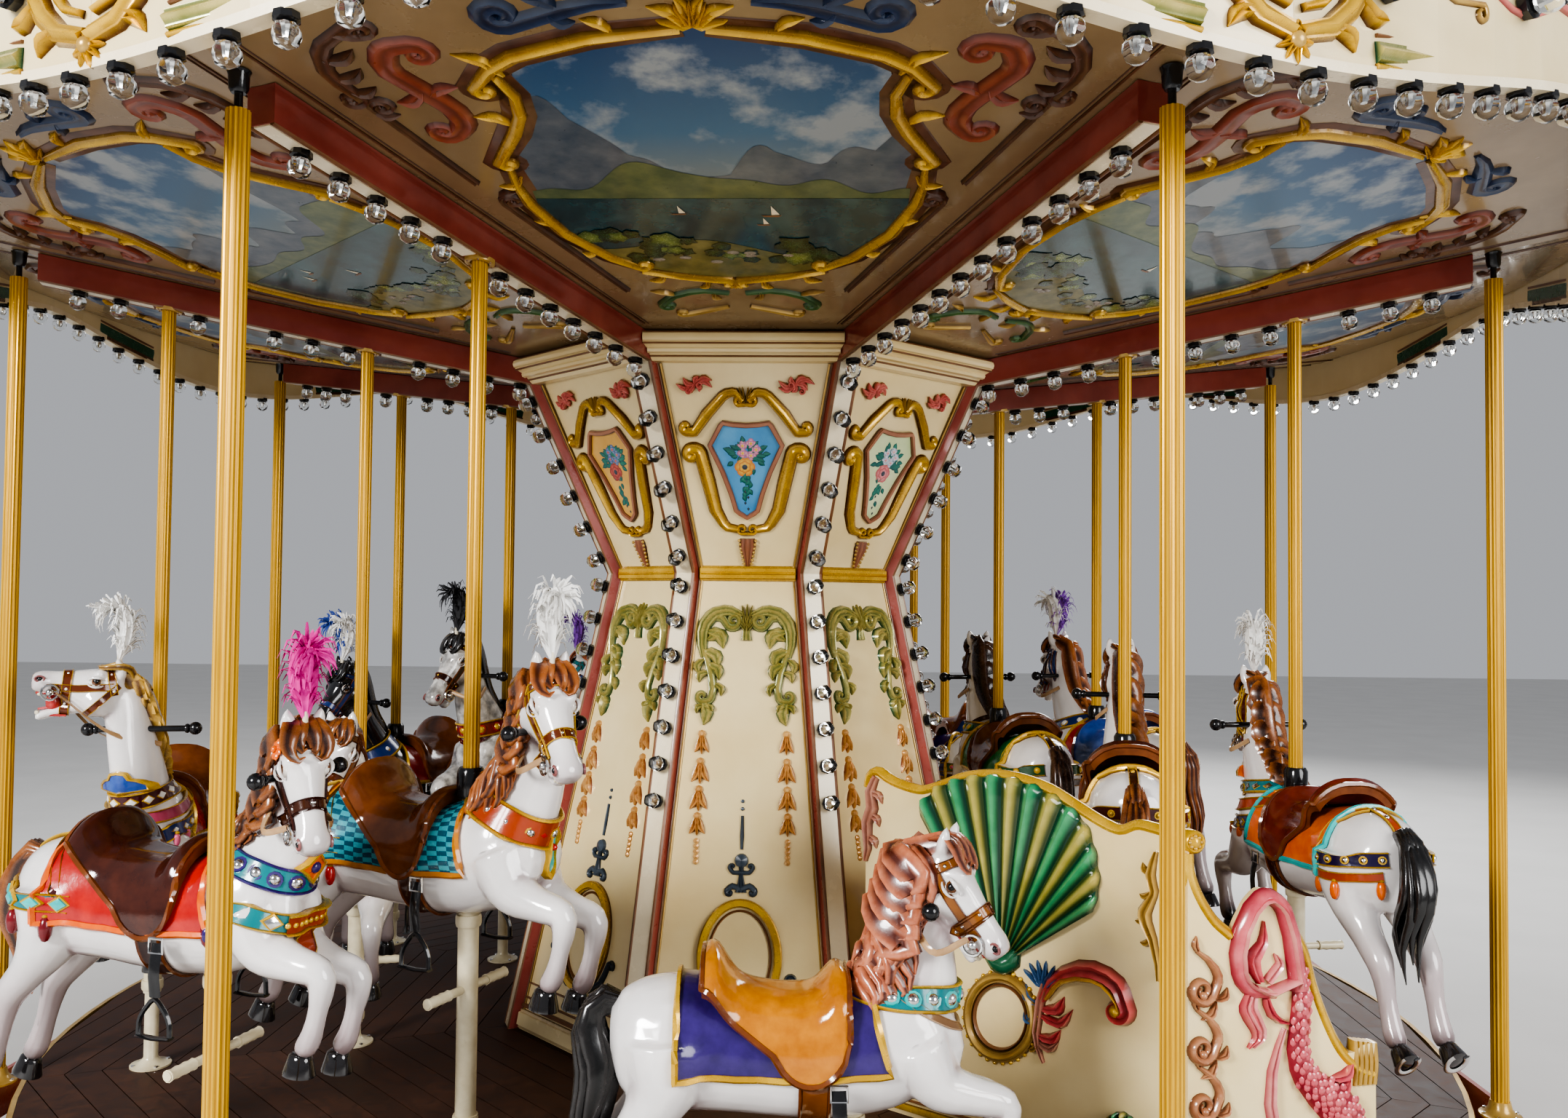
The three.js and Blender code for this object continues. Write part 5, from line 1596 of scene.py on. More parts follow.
def badge(shape, row, outline, tones, thick=0.012, heart=0.026, bend=0.12):
    """An ornament on a strap, bent round the neck: rim, raised field and a domed heart."""
    rim_tone, field_tone, heart_tone = tones
    outline = np.asarray(outline, float)
    plate = Shape()
    rows = [np.column_stack([outline * scale, level - (outline[:, 0] * scale) ** 2 / (2 * bend)])
            for scale, level in ((1.0, -0.005), (0.97, thick), (0.80, thick), (0.76, 0.6 * thick),
                                 (0.40, 0.6 * thick), (0.02, 0.6 * thick))]
    plate.grid(np.stack(rows), wrap=True, caps=True, tone=rim_tone)
    plate.tones = [rim_tone if k < 3 * len(outline) else field_tone for k in range(len(plate.tones))]
    if heart:
        ball(plate, (0, 0, 0.5 * thick), (heart, heart, 0.9 * thick), heart_tone, 10, 6)
    shape.merge(plate, seated(row))


DIAMOND = [(0, 0.050), (0.034, 0.016), (0.060, 0), (0.034, -0.016), (0, -0.050), (-0.034, -0.016),
           (-0.060, 0), (-0.034, 0.016)]
DAGGER = [(0, 0.075), (0.016, 0.060), (0.016, 0.020), (0.013, -0.030), (0.024, -0.060), (0.022, -0.085),
          (0, -0.102), (-0.022, -0.085), (-0.024, -0.060), (-0.013, -0.030), (-0.016, 0.020),
          (-0.016, 0.060)]
CLOUD = [(0, 0.050), (0.030, 0.044), (0.044, 0.020), (0.070, 0.012), (0.105, -0.012), (0.110, -0.034),
         (0.0, -0.040), (-0.110, -0.034), (-0.105, -0.012), (-0.070, 0.012), (-0.044, 0.020),
         (-0.030, 0.044)]


def drops_under(shape, skin, frames, every, tones, size=1.0, drop=0.038):
    """Long enamel drops that hang under a strap."""
    drop_tone, cap_tone = tones
    for row in frames[1:-1:every]:
        spot, out = skin.near(row[:3] + np.array([0, 0, -drop]))
        ball(shape, spot + out * 0.006, (0.013 * size, 0.013 * size, 0.026 * size), drop_tone, 8, 6)
        ball(shape, spot + out * 0.008 + (0, 0, 0.024 * size), (0.010, 0.010, 0.007), cap_tone, 7, 4)


def collar(shape, skin, bearing, height, slope, width, thick, tone, edge):
    """A strap round the neck."""
    return strap(shape, skin, collar_line(skin, bearing, height, slope), width, thick, tone, edge,
                 loop=True)


def gem_harness(shape, skin, bearing, tones):
    """A broad collar with round stones over a narrow one."""
    band, edge, stud, second, *_ = tones
    frames = collar(shape, skin, bearing, 0.335, 0.06, 0.070, 0.008, band, edge)
    studs(shape, frames, 3, 0.018, stud, rim=band)
    collar(shape, skin, bearing, 0.330, 0.60, 0.022, 0.005, second, None)


def sash_harness(shape, skin, bearing, tones):
    """A wide sloping sash with two rows of ornaments and a dagger in front."""
    band, edge, stud, _, pendant, heart, _ = tones
    frames = collar(shape, skin, bearing, 0.330, 0.42, 0.098, 0.010, band, edge)
    studs(shape, frames, 4, 0.014, stud, rim=edge)
    studs(shape, frames, 4, 0.012, heart, "diamond", start=2)
    badge(shape, row_under(skin, bearing, 0.235), DAGGER, (edge, pendant, heart), 0.020, 0.012)


def diamond_harness(shape, skin, bearing, tones):
    """Two collars, a cloud-shaped plate and a breast strap with diamonds and drops."""
    band, edge, stud, second, pendant, heart, drops = tones
    frames = collar(shape, skin, bearing, 0.345, 0.15, 0.060, 0.008, band, edge)
    studs(shape, frames, 3, 0.018, stud, "diamond", rim=edge)
    badge(shape, row_under(skin, bearing, 0.395), CLOUD, (edge, pendant, heart), 0.014, 0.0, 0.070)
    collar(shape, skin, bearing, 0.285, 0.20, 0.046, 0.010, drops, edge)
    frames = strap(shape, skin, chest_line(0.262, 0.16, 0.190, 0.060), 0.056, 0.008, second, edge)
    studs(shape, frames, 3, 0.014, stud, "diamond", rim=edge)
    drops_under(shape, skin, frames, 4, (drops, edge))


def studded_harness(shape, skin, bearing, tones):
    """A studded collar with a diamond plate, and a breast strap with a tongue and drops."""
    band, edge, stud, second, pendant, heart, drops = tones
    frames = collar(shape, skin, bearing, 0.330, 0.30, 0.072, 0.008, band, edge)
    studs(shape, frames, 3, 0.018, stud, rim=edge)
    badge(shape, row_under(skin, bearing, 0.335), DIAMOND, (second, pendant, edge), 0.014, 0.018)
    frames = strap(shape, skin, chest_line(0.262, 0.16, 0.180, 0.060), 0.056, 0.008, band, second)
    middle = len(frames) // 2
    for k in (-1, 1):
        studs(shape, frames[middle + 6 * k:middle + 6 * k + 1], 1, 0.024, stud, "diamond", rim=second)
    plate = strap(shape, skin, frames[middle - 4:middle + 5, :3], 0.056, 0.014, pendant, second)
    studs(shape, plate, 1, 0.009, second)
    tongue = [frames[middle, :3] + np.array([0.0, 0.0, -0.03 - 0.02 * k]) for k in range(5)]
    strap(shape, skin, np.array(tongue), [0.050, 0.058, 0.044, 0.016], 0.008, pendant, second)
    for row in (frames[2], frames[-3]):
        spot, out = skin.near(row[:3] + np.array([-0.03, 0, -0.06]))
        ball(shape, spot + out * 0.004, (0.026, 0.016, 0.040), drops, 12, 8)
        ball(shape, spot + out * 0.010, (0.014, 0.014, 0.024), heart, 10, 6)


HARNESSES = {
    "gems": gem_harness,
    "sash": sash_harness,
    "diamonds": diamond_harness,
    "studs": studded_harness,
}


def row_under(skin, bearing, height):
    """A frame on the throat side of the neck at a height."""
    heights = bearing.neck[:, 2]
    centre = np.array([np.interp(height, heights, bearing.neck[:, k]) for k in (0, 1)] + [height])
    turn = float(np.interp(height, heights, bearing.neck_turns))
    ahead = np.array([math.cos(turn), math.sin(turn), 0])
    spot, out = skin.hit(centre + ahead * 0.4, -ahead)
    return np.concatenate([spot + out * 0.006, out, (-math.sin(turn), math.cos(turn), 0)])


def crupper(shape, skin, tones, style):
    """Straps over the rump. Tones: strap, edge, stud, second strap, drops."""
    band, edge, stud, second, drops = tones
    spine = strap(shape, skin, curve([(-0.42, 0, 0.38), (-0.50, 0, 0.38), (-0.60, 0, 0.35),
                                      (-0.655, 0, 0.28)], 20), 0.032, 0.006, second, edge)
    studs(shape, spine, 4, 0.009, stud)
    for side in (-1, 1):
        high = curve([(-0.50, side * 0.02, 0.365), (-0.47, side * 0.12, 0.36),
                      (-0.43, side * 0.19, 0.29), (-0.40, side * 0.18, 0.24)], 24)
        strap(shape, skin, high, 0.030, 0.006, second, edge)
        level = curve([(-0.655, side * 0.05, 0.235), (-0.60, side * 0.15, 0.225),
                       (-0.50, side * 0.19, 0.215), (-0.38, side * 0.18, 0.205)], 28)
        frames = strap(shape, skin, level, 0.050, 0.007, band, edge)
        if style == "plates":
            studs(shape, frames[1:], 4, 0.024, stud, "diamond", rim=edge)
            drops_under(shape, skin, frames, 7, (drops, edge), 1.5, 0.075)
        else:
            studs(shape, frames[1:], 3, 0.011, stud, rim=edge)
            lower = curve([(-0.64, side * 0.06, 0.180), (-0.59, side * 0.15, 0.165),
                           (-0.50, side * 0.19, 0.160), (-0.40, side * 0.18, 0.165)], 28)
            strap(shape, skin, lower, 0.030, 0.006, second, edge)
            drops_under(shape, skin, frames, 8, (drops, edge), 1.3, 0.105)


def fluted_pole(shape, low, high, radius=0.0245, flutes=14, tone=0, x=0.0, y=0.0, depth=0.05):
    """A polished tube with fine flutes; the crest value marks ridge and groove."""
    sides = flutes * 4
    angle = full_turn(sides)
    ripple = 1 + depth * np.cos(flutes * angle)
    rows = [np.column_stack([x + radius * ripple * np.cos(angle), y + radius * ripple * np.sin(angle),
                             np.full(sides, z)]) for z in np.linspace(low, high, 3)]
    ridge = np.tile(0.5 + 0.5 * np.cos(flutes * angle), 3)
    shape.grid(np.array(rows), wrap=True, caps=True, tone=tone, crest=ridge)


def handle(shape, x, z, tone):
    """Black cross handle with a ball at each end and a collar round the neck holes."""
    path = [(x, y, z) for y in np.linspace(-GRIP_REACH, GRIP_REACH, 3)]
    tube(shape, path, 0.0115, 10, tone, up=(0, 0, 1))
    for side in (-1, 1):
        ball(shape, (x, side * GRIP_REACH, z), 0.0245, tone, 12, 8)
        lathe(shape, [(0.016, -0.006), (0.018, 0), (0.016, 0.006)], 12, tone,
              Matrix.Translation((x, side * (GRIP_REACH - 0.028), z)) @ Matrix.Rotation(math.pi / 2, 4, "X"))


# Colours of the horses

# deep: painted shade along strap edges and middles and in the grooves of carved hair
def leather(name, dark, light, deep=None, rough=0.22):
    return paint(name, dark, light, deep=deep, rough=rough, grain=18, coat=0.5, relief_bump=0.25)


def hair_paint(name, dark, light, deep, rough=0.26):
    return paint(f"hair_{name}", dark, light, deep=deep, rough=rough, grain=30, coat=0.5)


def feather_paint(name, dark, light):
    return paint(f"feather_{name}", dark, light, rough=0.7, grain=40, coat=0)


def coat_material(name, stops, mottle=(0.92, 1.0), grain=7.0):
    """Glossy lacquered coat coloured from the crest value, which holds painted shade in the hollows and the
    darker muzzle, legs and hooves, with faint mottling.
    """
    made, nodes, links = material(name)
    shader = nodes["Principled BSDF"]
    place = object_place(nodes)
    shade = shaded(nodes, links, crest_value(nodes), stops)
    blotch = noise(nodes, links, place, grain, 4.0, 0.55)
    mottling = shaded(nodes, links, blotch, [(0.35, (mottle[0],) * 3), (0.65, (mottle[1],) * 3)])
    mix = nodes.new("ShaderNodeMix")
    mix.data_type = "RGBA"
    mix.blend_type = "MULTIPLY"
    mix.inputs["Factor"].default_value = 1.0
    links.new(shade, mix.inputs["A"])
    links.new(mottling, mix.inputs["B"])
    links.new(mix.outputs["Result"], shader.inputs["Base Color"])
    links.new(between(nodes, links, blotch, 0.10, 0.24), shader.inputs["Roughness"])
    shader.inputs["Coat Weight"].default_value = 0.8
    shader.inputs["Coat Roughness"].default_value = 0.05
    bump(nodes, links, noise(nodes, links, place, 26.0, 3.0, 0.6), 0.10, 0.003, shader)
    return made


# Coat ramps: the lower stops give the painted shade of the hollows and the darker muzzle, legs and hooves.
HORSE_COAT = coat_material("horse_white", [(0.0, (0.012, 0.011, 0.012)), (0.22, (0.20, 0.15, 0.15)),
                                           (0.55, (0.46, 0.38, 0.38)), (1.0, (0.83, 0.80, 0.78))])
HORSE_BLACK = coat_material("horse_black", [(0.0, (0.006, 0.006, 0.007)), (0.5, (0.05, 0.04, 0.045)),
                                            (1.0, (0.018, 0.018, 0.022))], (0.7, 1.0))
HORSE_GREY = coat_material("horse_dapple", [(0.0, (0.010, 0.010, 0.010)), (0.3, (0.16, 0.14, 0.14)),
                                            (1.0, (0.74, 0.72, 0.69))], (0.32, 1.0), 22.0)


def checked_cloth(name, dark, light, across=(15, 40)):
    """Cloth painted in a lattice of two tones, each square slightly raised."""
    made, nodes, links = material(name)
    shader = nodes["Principled BSDF"]
    place = nodes.new("ShaderNodeUVMap")
    place.uv_map = "flat"
    stretch = nodes.new("ShaderNodeMapping")
    stretch.inputs["Scale"].default_value = (*across, 1.0)
    links.new(place.outputs["UV"], stretch.inputs["Vector"])
    squares = nodes.new("ShaderNodeTexChecker")
    squares.inputs["Scale"].default_value = 1.0
    squares.inputs["Color1"].default_value = (*dark, 1)
    squares.inputs["Color2"].default_value = (*light, 1)
    links.new(stretch.outputs["Vector"], squares.inputs["Vector"])
    links.new(squares.outputs["Color"], shader.inputs["Base Color"])
    soft = noise(nodes, links, place.outputs["UV"], 60.0)
    links.new(between(nodes, links, soft, 0.15, 0.35), shader.inputs["Roughness"])
    shader.inputs["Coat Weight"].default_value = 0.5
    bump(nodes, links, squares.outputs["Fac"], 0.4, 0.003, shader)
    return made


TACK = {
    "turquoise": leather("turquoise", (0.03, 0.40, 0.40), (0.07, 0.56, 0.54), (0.01, 0.16, 0.19)),
    "teal": leather("teal", (0.01, 0.12, 0.15), (0.03, 0.22, 0.26), (0.005, 0.05, 0.07)),
    "blue": leather("royal_blue", (0.02, 0.06, 0.30), (0.05, 0.14, 0.48), (0.01, 0.03, 0.14)),
    "orange": leather("orange", (0.70, 0.11, 0.012), (0.84, 0.19, 0.025), (0.32, 0.035, 0.006)),
    "amber": leather("amber", (0.44, 0.15, 0.015), (0.60, 0.24, 0.03), (0.18, 0.05, 0.008), rough=0.12),
    "honey": leather("honey", (0.50, 0.20, 0.028), (0.64, 0.29, 0.055), (0.22, 0.07, 0.01), rough=0.16),
    "mahogany": leather("mahogany", (0.11, 0.014, 0.008), (0.20, 0.032, 0.016), (0.035, 0.005, 0.003),
                        rough=0.12),
    "tan": leather("tan", (0.40, 0.24, 0.12), (0.52, 0.34, 0.18), (0.20, 0.10, 0.04)),
    "brown": leather("saddle_brown", (0.13, 0.036, 0.010), (0.22, 0.068, 0.018), (0.04, 0.012, 0.006),
                     rough=0.14),
    "oxblood": leather("oxblood", (0.045, 0.011, 0.008), (0.085, 0.022, 0.012), (0.02, 0.005, 0.004),
                       rough=0.12),
    "chestnut": leather("chestnut", (0.26, 0.065, 0.016), (0.40, 0.12, 0.03), (0.10, 0.02, 0.006),
                        rough=0.14),
    "red": leather("scarlet", (0.40, 0.012, 0.010), (0.56, 0.03, 0.02), (0.16, 0.005, 0.005)),
    "maroon": leather("maroon", (0.14, 0.010, 0.014), (0.24, 0.02, 0.028), (0.05, 0.004, 0.006)),
    "purple": leather("purple", (0.030, 0.014, 0.115), (0.055, 0.028, 0.19), (0.010, 0.004, 0.04)),
    "green": leather("green", (0.02, 0.17, 0.05), (0.05, 0.29, 0.10), (0.01, 0.06, 0.02)),
    "white": leather("white_enamel", (0.74, 0.73, 0.70), (0.86, 0.85, 0.82), (0.4, 0.38, 0.36)),
    "black": leather("black_leather", (0.010, 0.009, 0.009), (0.03, 0.027, 0.027), (0.004, 0.004, 0.004)),
    "gold": GOLD,
    "silver": CHROME,
    "pink": leather("rose_pink_enamel", (0.62, 0.10, 0.20), (0.78, 0.22, 0.34), (0.3, 0.04, 0.08)),
    "yellow": leather("yellow", (0.72, 0.44, 0.04), (0.85, 0.60, 0.10), (0.4, 0.18, 0.02)),
    "checked": checked_cloth("checked_teal", (0.008, 0.09, 0.14), (0.05, 0.34, 0.40)),
}
HAIRS = {
    "brown": hair_paint("brown", (0.20, 0.062, 0.018), (0.36, 0.135, 0.042), (0.035, 0.010, 0.005)),
    "copper": hair_paint("copper", (0.34, 0.10, 0.03), (0.52, 0.20, 0.07), (0.07, 0.018, 0.008), 0.24),
    "rose": hair_paint("rose_copper", (0.44, 0.125, 0.062), (0.62, 0.25, 0.14), (0.10, 0.022, 0.013), 0.24),
    "dark": hair_paint("dark_brown", (0.05, 0.02, 0.012), (0.11, 0.05, 0.025), (0.015, 0.006, 0.004)),
    "black": hair_paint("black", (0.010, 0.009, 0.009), (0.032, 0.028, 0.027), (0.004, 0.004, 0.004), 0.24),
    "gold": hair_paint("gold", (0.48, 0.28, 0.06), (0.68, 0.45, 0.13), (0.15, 0.07, 0.02)),
}
FEATHERS = {
    "white": feather_paint("white", (0.76, 0.75, 0.72), (0.88, 0.87, 0.84)),
    "magenta": feather_paint("magenta", (0.58, 0.02, 0.25), (0.78, 0.06, 0.38)),
    "purple": feather_paint("purple", (0.20, 0.06, 0.40), (0.34, 0.13, 0.58)),
    "blue": feather_paint("blue", (0.02, 0.05, 0.26), (0.06, 0.12, 0.45)),
    "black": feather_paint("black", (0.012, 0.012, 0.014), (0.04, 0.04, 0.045)),
}
HOOF = paint("hoof_gloss", (0.010, 0.009, 0.010), (0.028, 0.025, 0.026), rough=0.10, grain=10, coat=0.9)
EYE_WHITE = paint("eye_white", (0.68, 0.62, 0.56), (0.82, 0.78, 0.72), rough=0.08, grain=30, coat=1.0)
EYE_BROWN = paint("eye_brown", (0.10, 0.035, 0.012), (0.20, 0.08, 0.03), rough=0.05, grain=60, coat=1.0)
MOUTH = paint("mouth_red", (0.34, 0.03, 0.03), (0.50, 0.07, 0.06), rough=0.2, grain=20)
TONGUE = paint("tongue", (0.55, 0.10, 0.11), (0.68, 0.18, 0.18), rough=0.2, grain=20)
IVORY = paint("tooth_ivory", (0.66, 0.58, 0.42), (0.80, 0.74, 0.60), rough=0.2, grain=30)
NOSTRIL = paint("nostril", (0.20, 0.07, 0.07), (0.32, 0.13, 0.12), rough=0.3, grain=20)

# Dress of the horses, over what most of them share. bands: strap, edge, stud, second strap,
# pendant, its heart, drops. rump: strap, edge, stud, second strap, drops. near: seen from close by.
USUAL = dict(turn=0, look=0, hair="brown", plume="", chest="gems", rump_style="bands",
             mane=(6, 0.34, 0.9))
JUMPERS = [{**USUAL, **own} for own in (
    dict(sweep=0, radius=2.05, belly=0.85, look=-34, near=True, hair="copper", plume="white",
         bridle="chestnut", chest="sash", mane=(8, 0.58, 1.0), wave=1.4, crown=0.03,
         bands="orange gold silver orange turquoise red turquoise", cloth="checked amber", saddle="brown",
         rump="orange gold silver orange red"),
    dict(sweep=2, radius=2.32, belly=0.754, turn=32, look=-12, near=True, tail="black", plume="white",
         bridle="maroon", shoes=True, chest="diamonds", mane=(7, 0.34, 0.8),
         bands="turquoise gold silver purple orange purple orange", cloth="orange turquoise",
         saddle="mahogany", rump="purple gold silver orange orange"),
    dict(sweep=2, radius=1.675, belly=0.85, turn=12, bridle="brown",
         bands="maroon gold gold maroon gold red maroon", cloth="maroon gold", saddle="oxblood",
         rump="maroon gold gold brown red"),
    dict(sweep=3, radius=1.87, belly=0.85, hair="copper", plume="purple white", bridle="blue",
         chest="studs", rump_style="plates", mane=(6, 0.38, 0.9),
         bands="blue gold white gold red gold red", cloth="red gold", saddle="blue",
         rump="blue gold white red gold"),
    dict(sweep=3, radius=1.29, belly=0.85, turn=-8, look=-15, hair="dark", bridle="brown",
         bands="green gold yellow brown gold green green", cloth="green gold", saddle="brown",
         rump="green gold yellow brown green"),
    dict(sweep=4, radius=2.32, belly=0.76, look=-15, hair="gold", plume="white", bridle="red",
         chest="studs", rump_style="plates", mane=(6, 0.42, 0.95),
         bands="red gold white gold blue gold red", cloth="blue gold", saddle="chestnut",
         rump="red gold white blue red"),
    dict(sweep=4, radius=1.675, belly=0.7, bridle="green", bands="green gold pink green gold red green",
         cloth="purple gold", saddle="brown", rump="green gold pink purple green"),
    dict(sweep=5, radius=2.32, belly=0.7, look=-15, hair="rose", plume="purple", bridle="turquoise",
         chest="sash", mane=(6, 0.42, 0.95), bands="turquoise gold orange purple orange gold purple",
         cloth="maroon gold", saddle="amber", rump="turquoise gold orange purple red"),
    dict(sweep=5, radius=1.675, belly=0.78, hair="dark", bridle="blue", chest="studs",
         bands="blue gold white gold gold red blue", cloth="teal gold", saddle="brown",
         rump="blue gold white blue red"),
    dict(sweep=6, radius=2.12, belly=0.7, look=-10, hair="black", coat="black", plume="blue white",
         bridle="blue", chest="sash", mane=(6, 0.38, 0.9), bands="blue gold white red gold white red",
         cloth="red gold", saddle="brown", rump="blue gold white red gold"),
    dict(sweep=6, radius=1.4, belly=0.86, look=-10, hair="black", coat="grey", plume="black",
         bridle="oxblood", bands="red gold gold maroon gold blue red", cloth="blue gold",
         saddle="chestnut", rump="red gold gold maroon gold"),
    dict(sweep=7, radius=2.48, belly=0.74, turn=-8, look=-75, carriage=THROWN_UP, gape=0.1, near=True,
         hair="gold", plume="white", bridle="chestnut", chest="diamonds", mane=(8, 0.2, 0.5),
         bands="maroon gold white blue blue gold pink", cloth="red gold", saddle="brown",
         rump="maroon gold white blue red"),
    dict(sweep=7, radius=1.73, belly=0.56, turn=-6, look=-20, bridle="chestnut", chest="sash",
         mane=(6, 0.38, 0.9), bands="green gold white green gold red green", cloth="teal gold",
         saddle="chestnut", rump="green gold white green red"),
)]
STANDERS = [{**USUAL, **own} for own in (
    dict(x=0.4, y=-2.33, belly=0.44, heading=3, look=-26, near=True, hair="rose", tail="black",
         carriage=(0.01, 0.06, 0.47, 0.7, 0.165, 0.462), bridle="honey", cord="brown", rump_style=None,
         mane=(6, 0.62, 1.0), wave=1.7, crown=0.05,
         bands="turquoise gold silver tan gold turquoise purple", cloth="purple gold", saddle="amber",
         rump="turquoise gold silver turquoise purple"),
    dict(x=-1.434, y=-2.185, belly=0.74, heading=-14, look=-34, near=True,
         carriage=(0.085, 0.125, 0.46, 0.7, 0.135, 0.405), plume="magenta", bridle="brown",
         cord="oxblood", rosette=True, chest="studs", rump_style="plates", mane=(9, 0.24, 0.7),
         crown=0.022, bands="turquoise purple silver gold orange purple maroon", cloth="red orange",
         saddle="oxblood", rump="turquoise gold turquoise maroon maroon"),
)]
GUIDE_FLANGE = 0.075
POLE_OVER_SWEEP = 0.300
CRANK = 0.150
TUBE_CLEAR = 0.034
LIFTS = [0.0, 0.090, -0.090, 0.090, -0.090, 0.060, -0.060, -0.080, 0.080, -0.070, 0.070, 0.100, -0.100]


def sweep_under(radius):
    """Height of the sweeps' undersides over the ground, at a radius."""
    return SWEEP_Z + SWEEP_RISE * (radius - POST_RADIUS)


def hollows(points, faces):
    """How deep each point lies in a hollow of the surface, 0 to 1."""
    edges = np.array([(face[k], face[k - 1]) for face in faces for k in range(len(face))])
    edges = np.vstack([edges, edges[:, ::-1]])
    tally = np.bincount(edges[:, 0], minlength=len(points))[:, None]

    def spread(values):
        total = np.zeros_like(values)
        np.add.at(total, edges[:, 0], values[edges[:, 1]])
        return total / np.maximum(tally, 1)

    corners = [points[[face[k] for face in faces]] for k in range(3)]
    flat = np.cross(corners[1] - corners[0], corners[2] - corners[0])
    normal = np.zeros_like(points)
    for k in range(3):
        np.add.at(normal, [face[k] for face in faces], flat)
    normal = unit(normal)
    soft = points
    for _ in range(6):
        soft = spread(soft)
    depth = ((soft - points) * normal).sum(1)[:, None]
    for _ in range(3):
        depth = (depth + spread(depth)) / 2
    return np.clip(depth[:, 0] / HOLLOW_DEPTH, 0, 1)


def coat_shade(points, faces, bearing):
    """Coat colour values: painted shade grey in the hollows; grey round the muzzle and between the ears,
    dark over the hooves, and darker towards the foot of the legs.
    """
    # painted shade: grey in the hollows of the surface, by their depth
    shade = 1.0 - 0.55 * hollows(points, faces)
    for centre, reach, least in ((bearing.nose, 0.10, 0.60), (bearing.head(0.03, 0.06), 0.05, 0.60)):
        far = np.linalg.norm(points - centre, axis=1)
        shade = np.minimum(shade, least + (1 - least) * np.clip(far / reach, 0, 1))
    for foot in (FORE_HOOF, HIND_HOOF):
        for side in (-1, 1):
            far = np.linalg.norm(points - np.array(foot) * (1, side, 1), axis=1)
            shade = np.minimum(shade, np.clip((far - 0.020) / 0.075, 0, 1))
    leg = 1 - 0.42 * np.clip((0.06 - points[:, 2]) / 0.20, 0, 1)
    return np.minimum(shade, leg)


def leathers(names):
    return [TACK[name] for name in names.split()]


def add_face_and_hooves(wear, bearing, spec, near, coat):
    """Eyes, mouth and nostrils of one horse, and its four hooves."""
    made = Shape()
    for side in (-1, 1):
        eye(made, bearing, side, (0, 1, 2, 3))
    face(made, bearing, (4, 2, 5, 6, 7), near)
    wear("face", made, [EYE_WHITE, EYE_BROWN, BLACK, coat, NOSTRIL, MOUTH, IVORY, TONGUE], 60,
         share=0.75)
    feet = Shape()
    shod = spec.get("shoes")
    for side in (-1, 1):
        hoof(feet, np.array(FORE_HOOF) * (1, side, 1) + (0, 0, FORE_STEP * side), 0.10, None)
        hoof(feet, np.array(HIND_HOOF) * (1, side, 1), 0.95 if shod else 0.28, 1 if shod else None)
    wear("hooves", feet, [HOOF, CHROME])


def add_hair(wear, bearing, spec, near, rng):
    """Mane, tail and plume of one horse."""
    hair = Shape()
    locks, fall, fullness = spec["mane"]
    sides = ((-1, fullness), (1, 0.4 * fullness)) if near else ((-1, fullness),)
    mane(hair, bearing, rng, sides, locks, 0.58 / locks, fall, spec.get("wave", 1.0), spec.get("crown"))
    wear("mane", hair, [HAIRS[spec["hair"]]], 70, share=0.85)
    hair = Shape()
    tail(hair, rng, flow=rng.uniform(-0.3, 0.3))
    wear("tail", hair, [HAIRS[spec.get("tail", spec["hair"])]], 70, share=0.8)
    colours = spec["plume"].split()
    if colours:
        feathers = Shape()
        plume(feathers, bearing, range(1, len(colours) + 1), rng, barbs=130 if near else 80)
        wear("plume", feathers, [IVORY] + [FEATHERS[name] for name in colours])


def add_tack(wear, skin, bearing, spec, near, body):
    """Harness, crupper, bridle and saddle of one horse."""
    tones = leathers(spec["bands"])
    gear = Shape()
    HARNESSES[spec["chest"]](gear, skin, bearing, range(7))
    wear("harness", gear, tones, share=0.85)
    if spec["rump_style"]:
        gear = Shape()
        crupper(gear, skin, range(5), spec["rump_style"])
        wear("crupper", gear, leathers(spec["rump"]), share=0.85)
    gear = Shape()
    bridle(gear, skin, bearing, range(7), spec.get("rosette", False),
           (bearing.middle[0] - 0.02, 0.06, GRIP_HEIGHT - 0.06))
    cord = TACK[spec.get("cord", "gold" if near else "brown")]
    wear("bridle", gear, [TACK[spec["bridle"]], cord, tones[2], CHROME, TACK["orange"], tones[4],
                          TACK["tan"]], share=0.85)
    gear = Shape()
    if body == TURNING:
        saddlery(gear, skin, range(7), seat_ends=(-0.405, -0.015), pommel=0.055, cantle=0.085)
    else:
        saddlery(gear, skin, range(7))
    hide = TACK[spec["saddle"]]
    wear("saddle", gear, [*leathers(spec["cloth"]), hide, TACK["brown"], hide, BLACK, CHROME], 45,
         share=0.70)


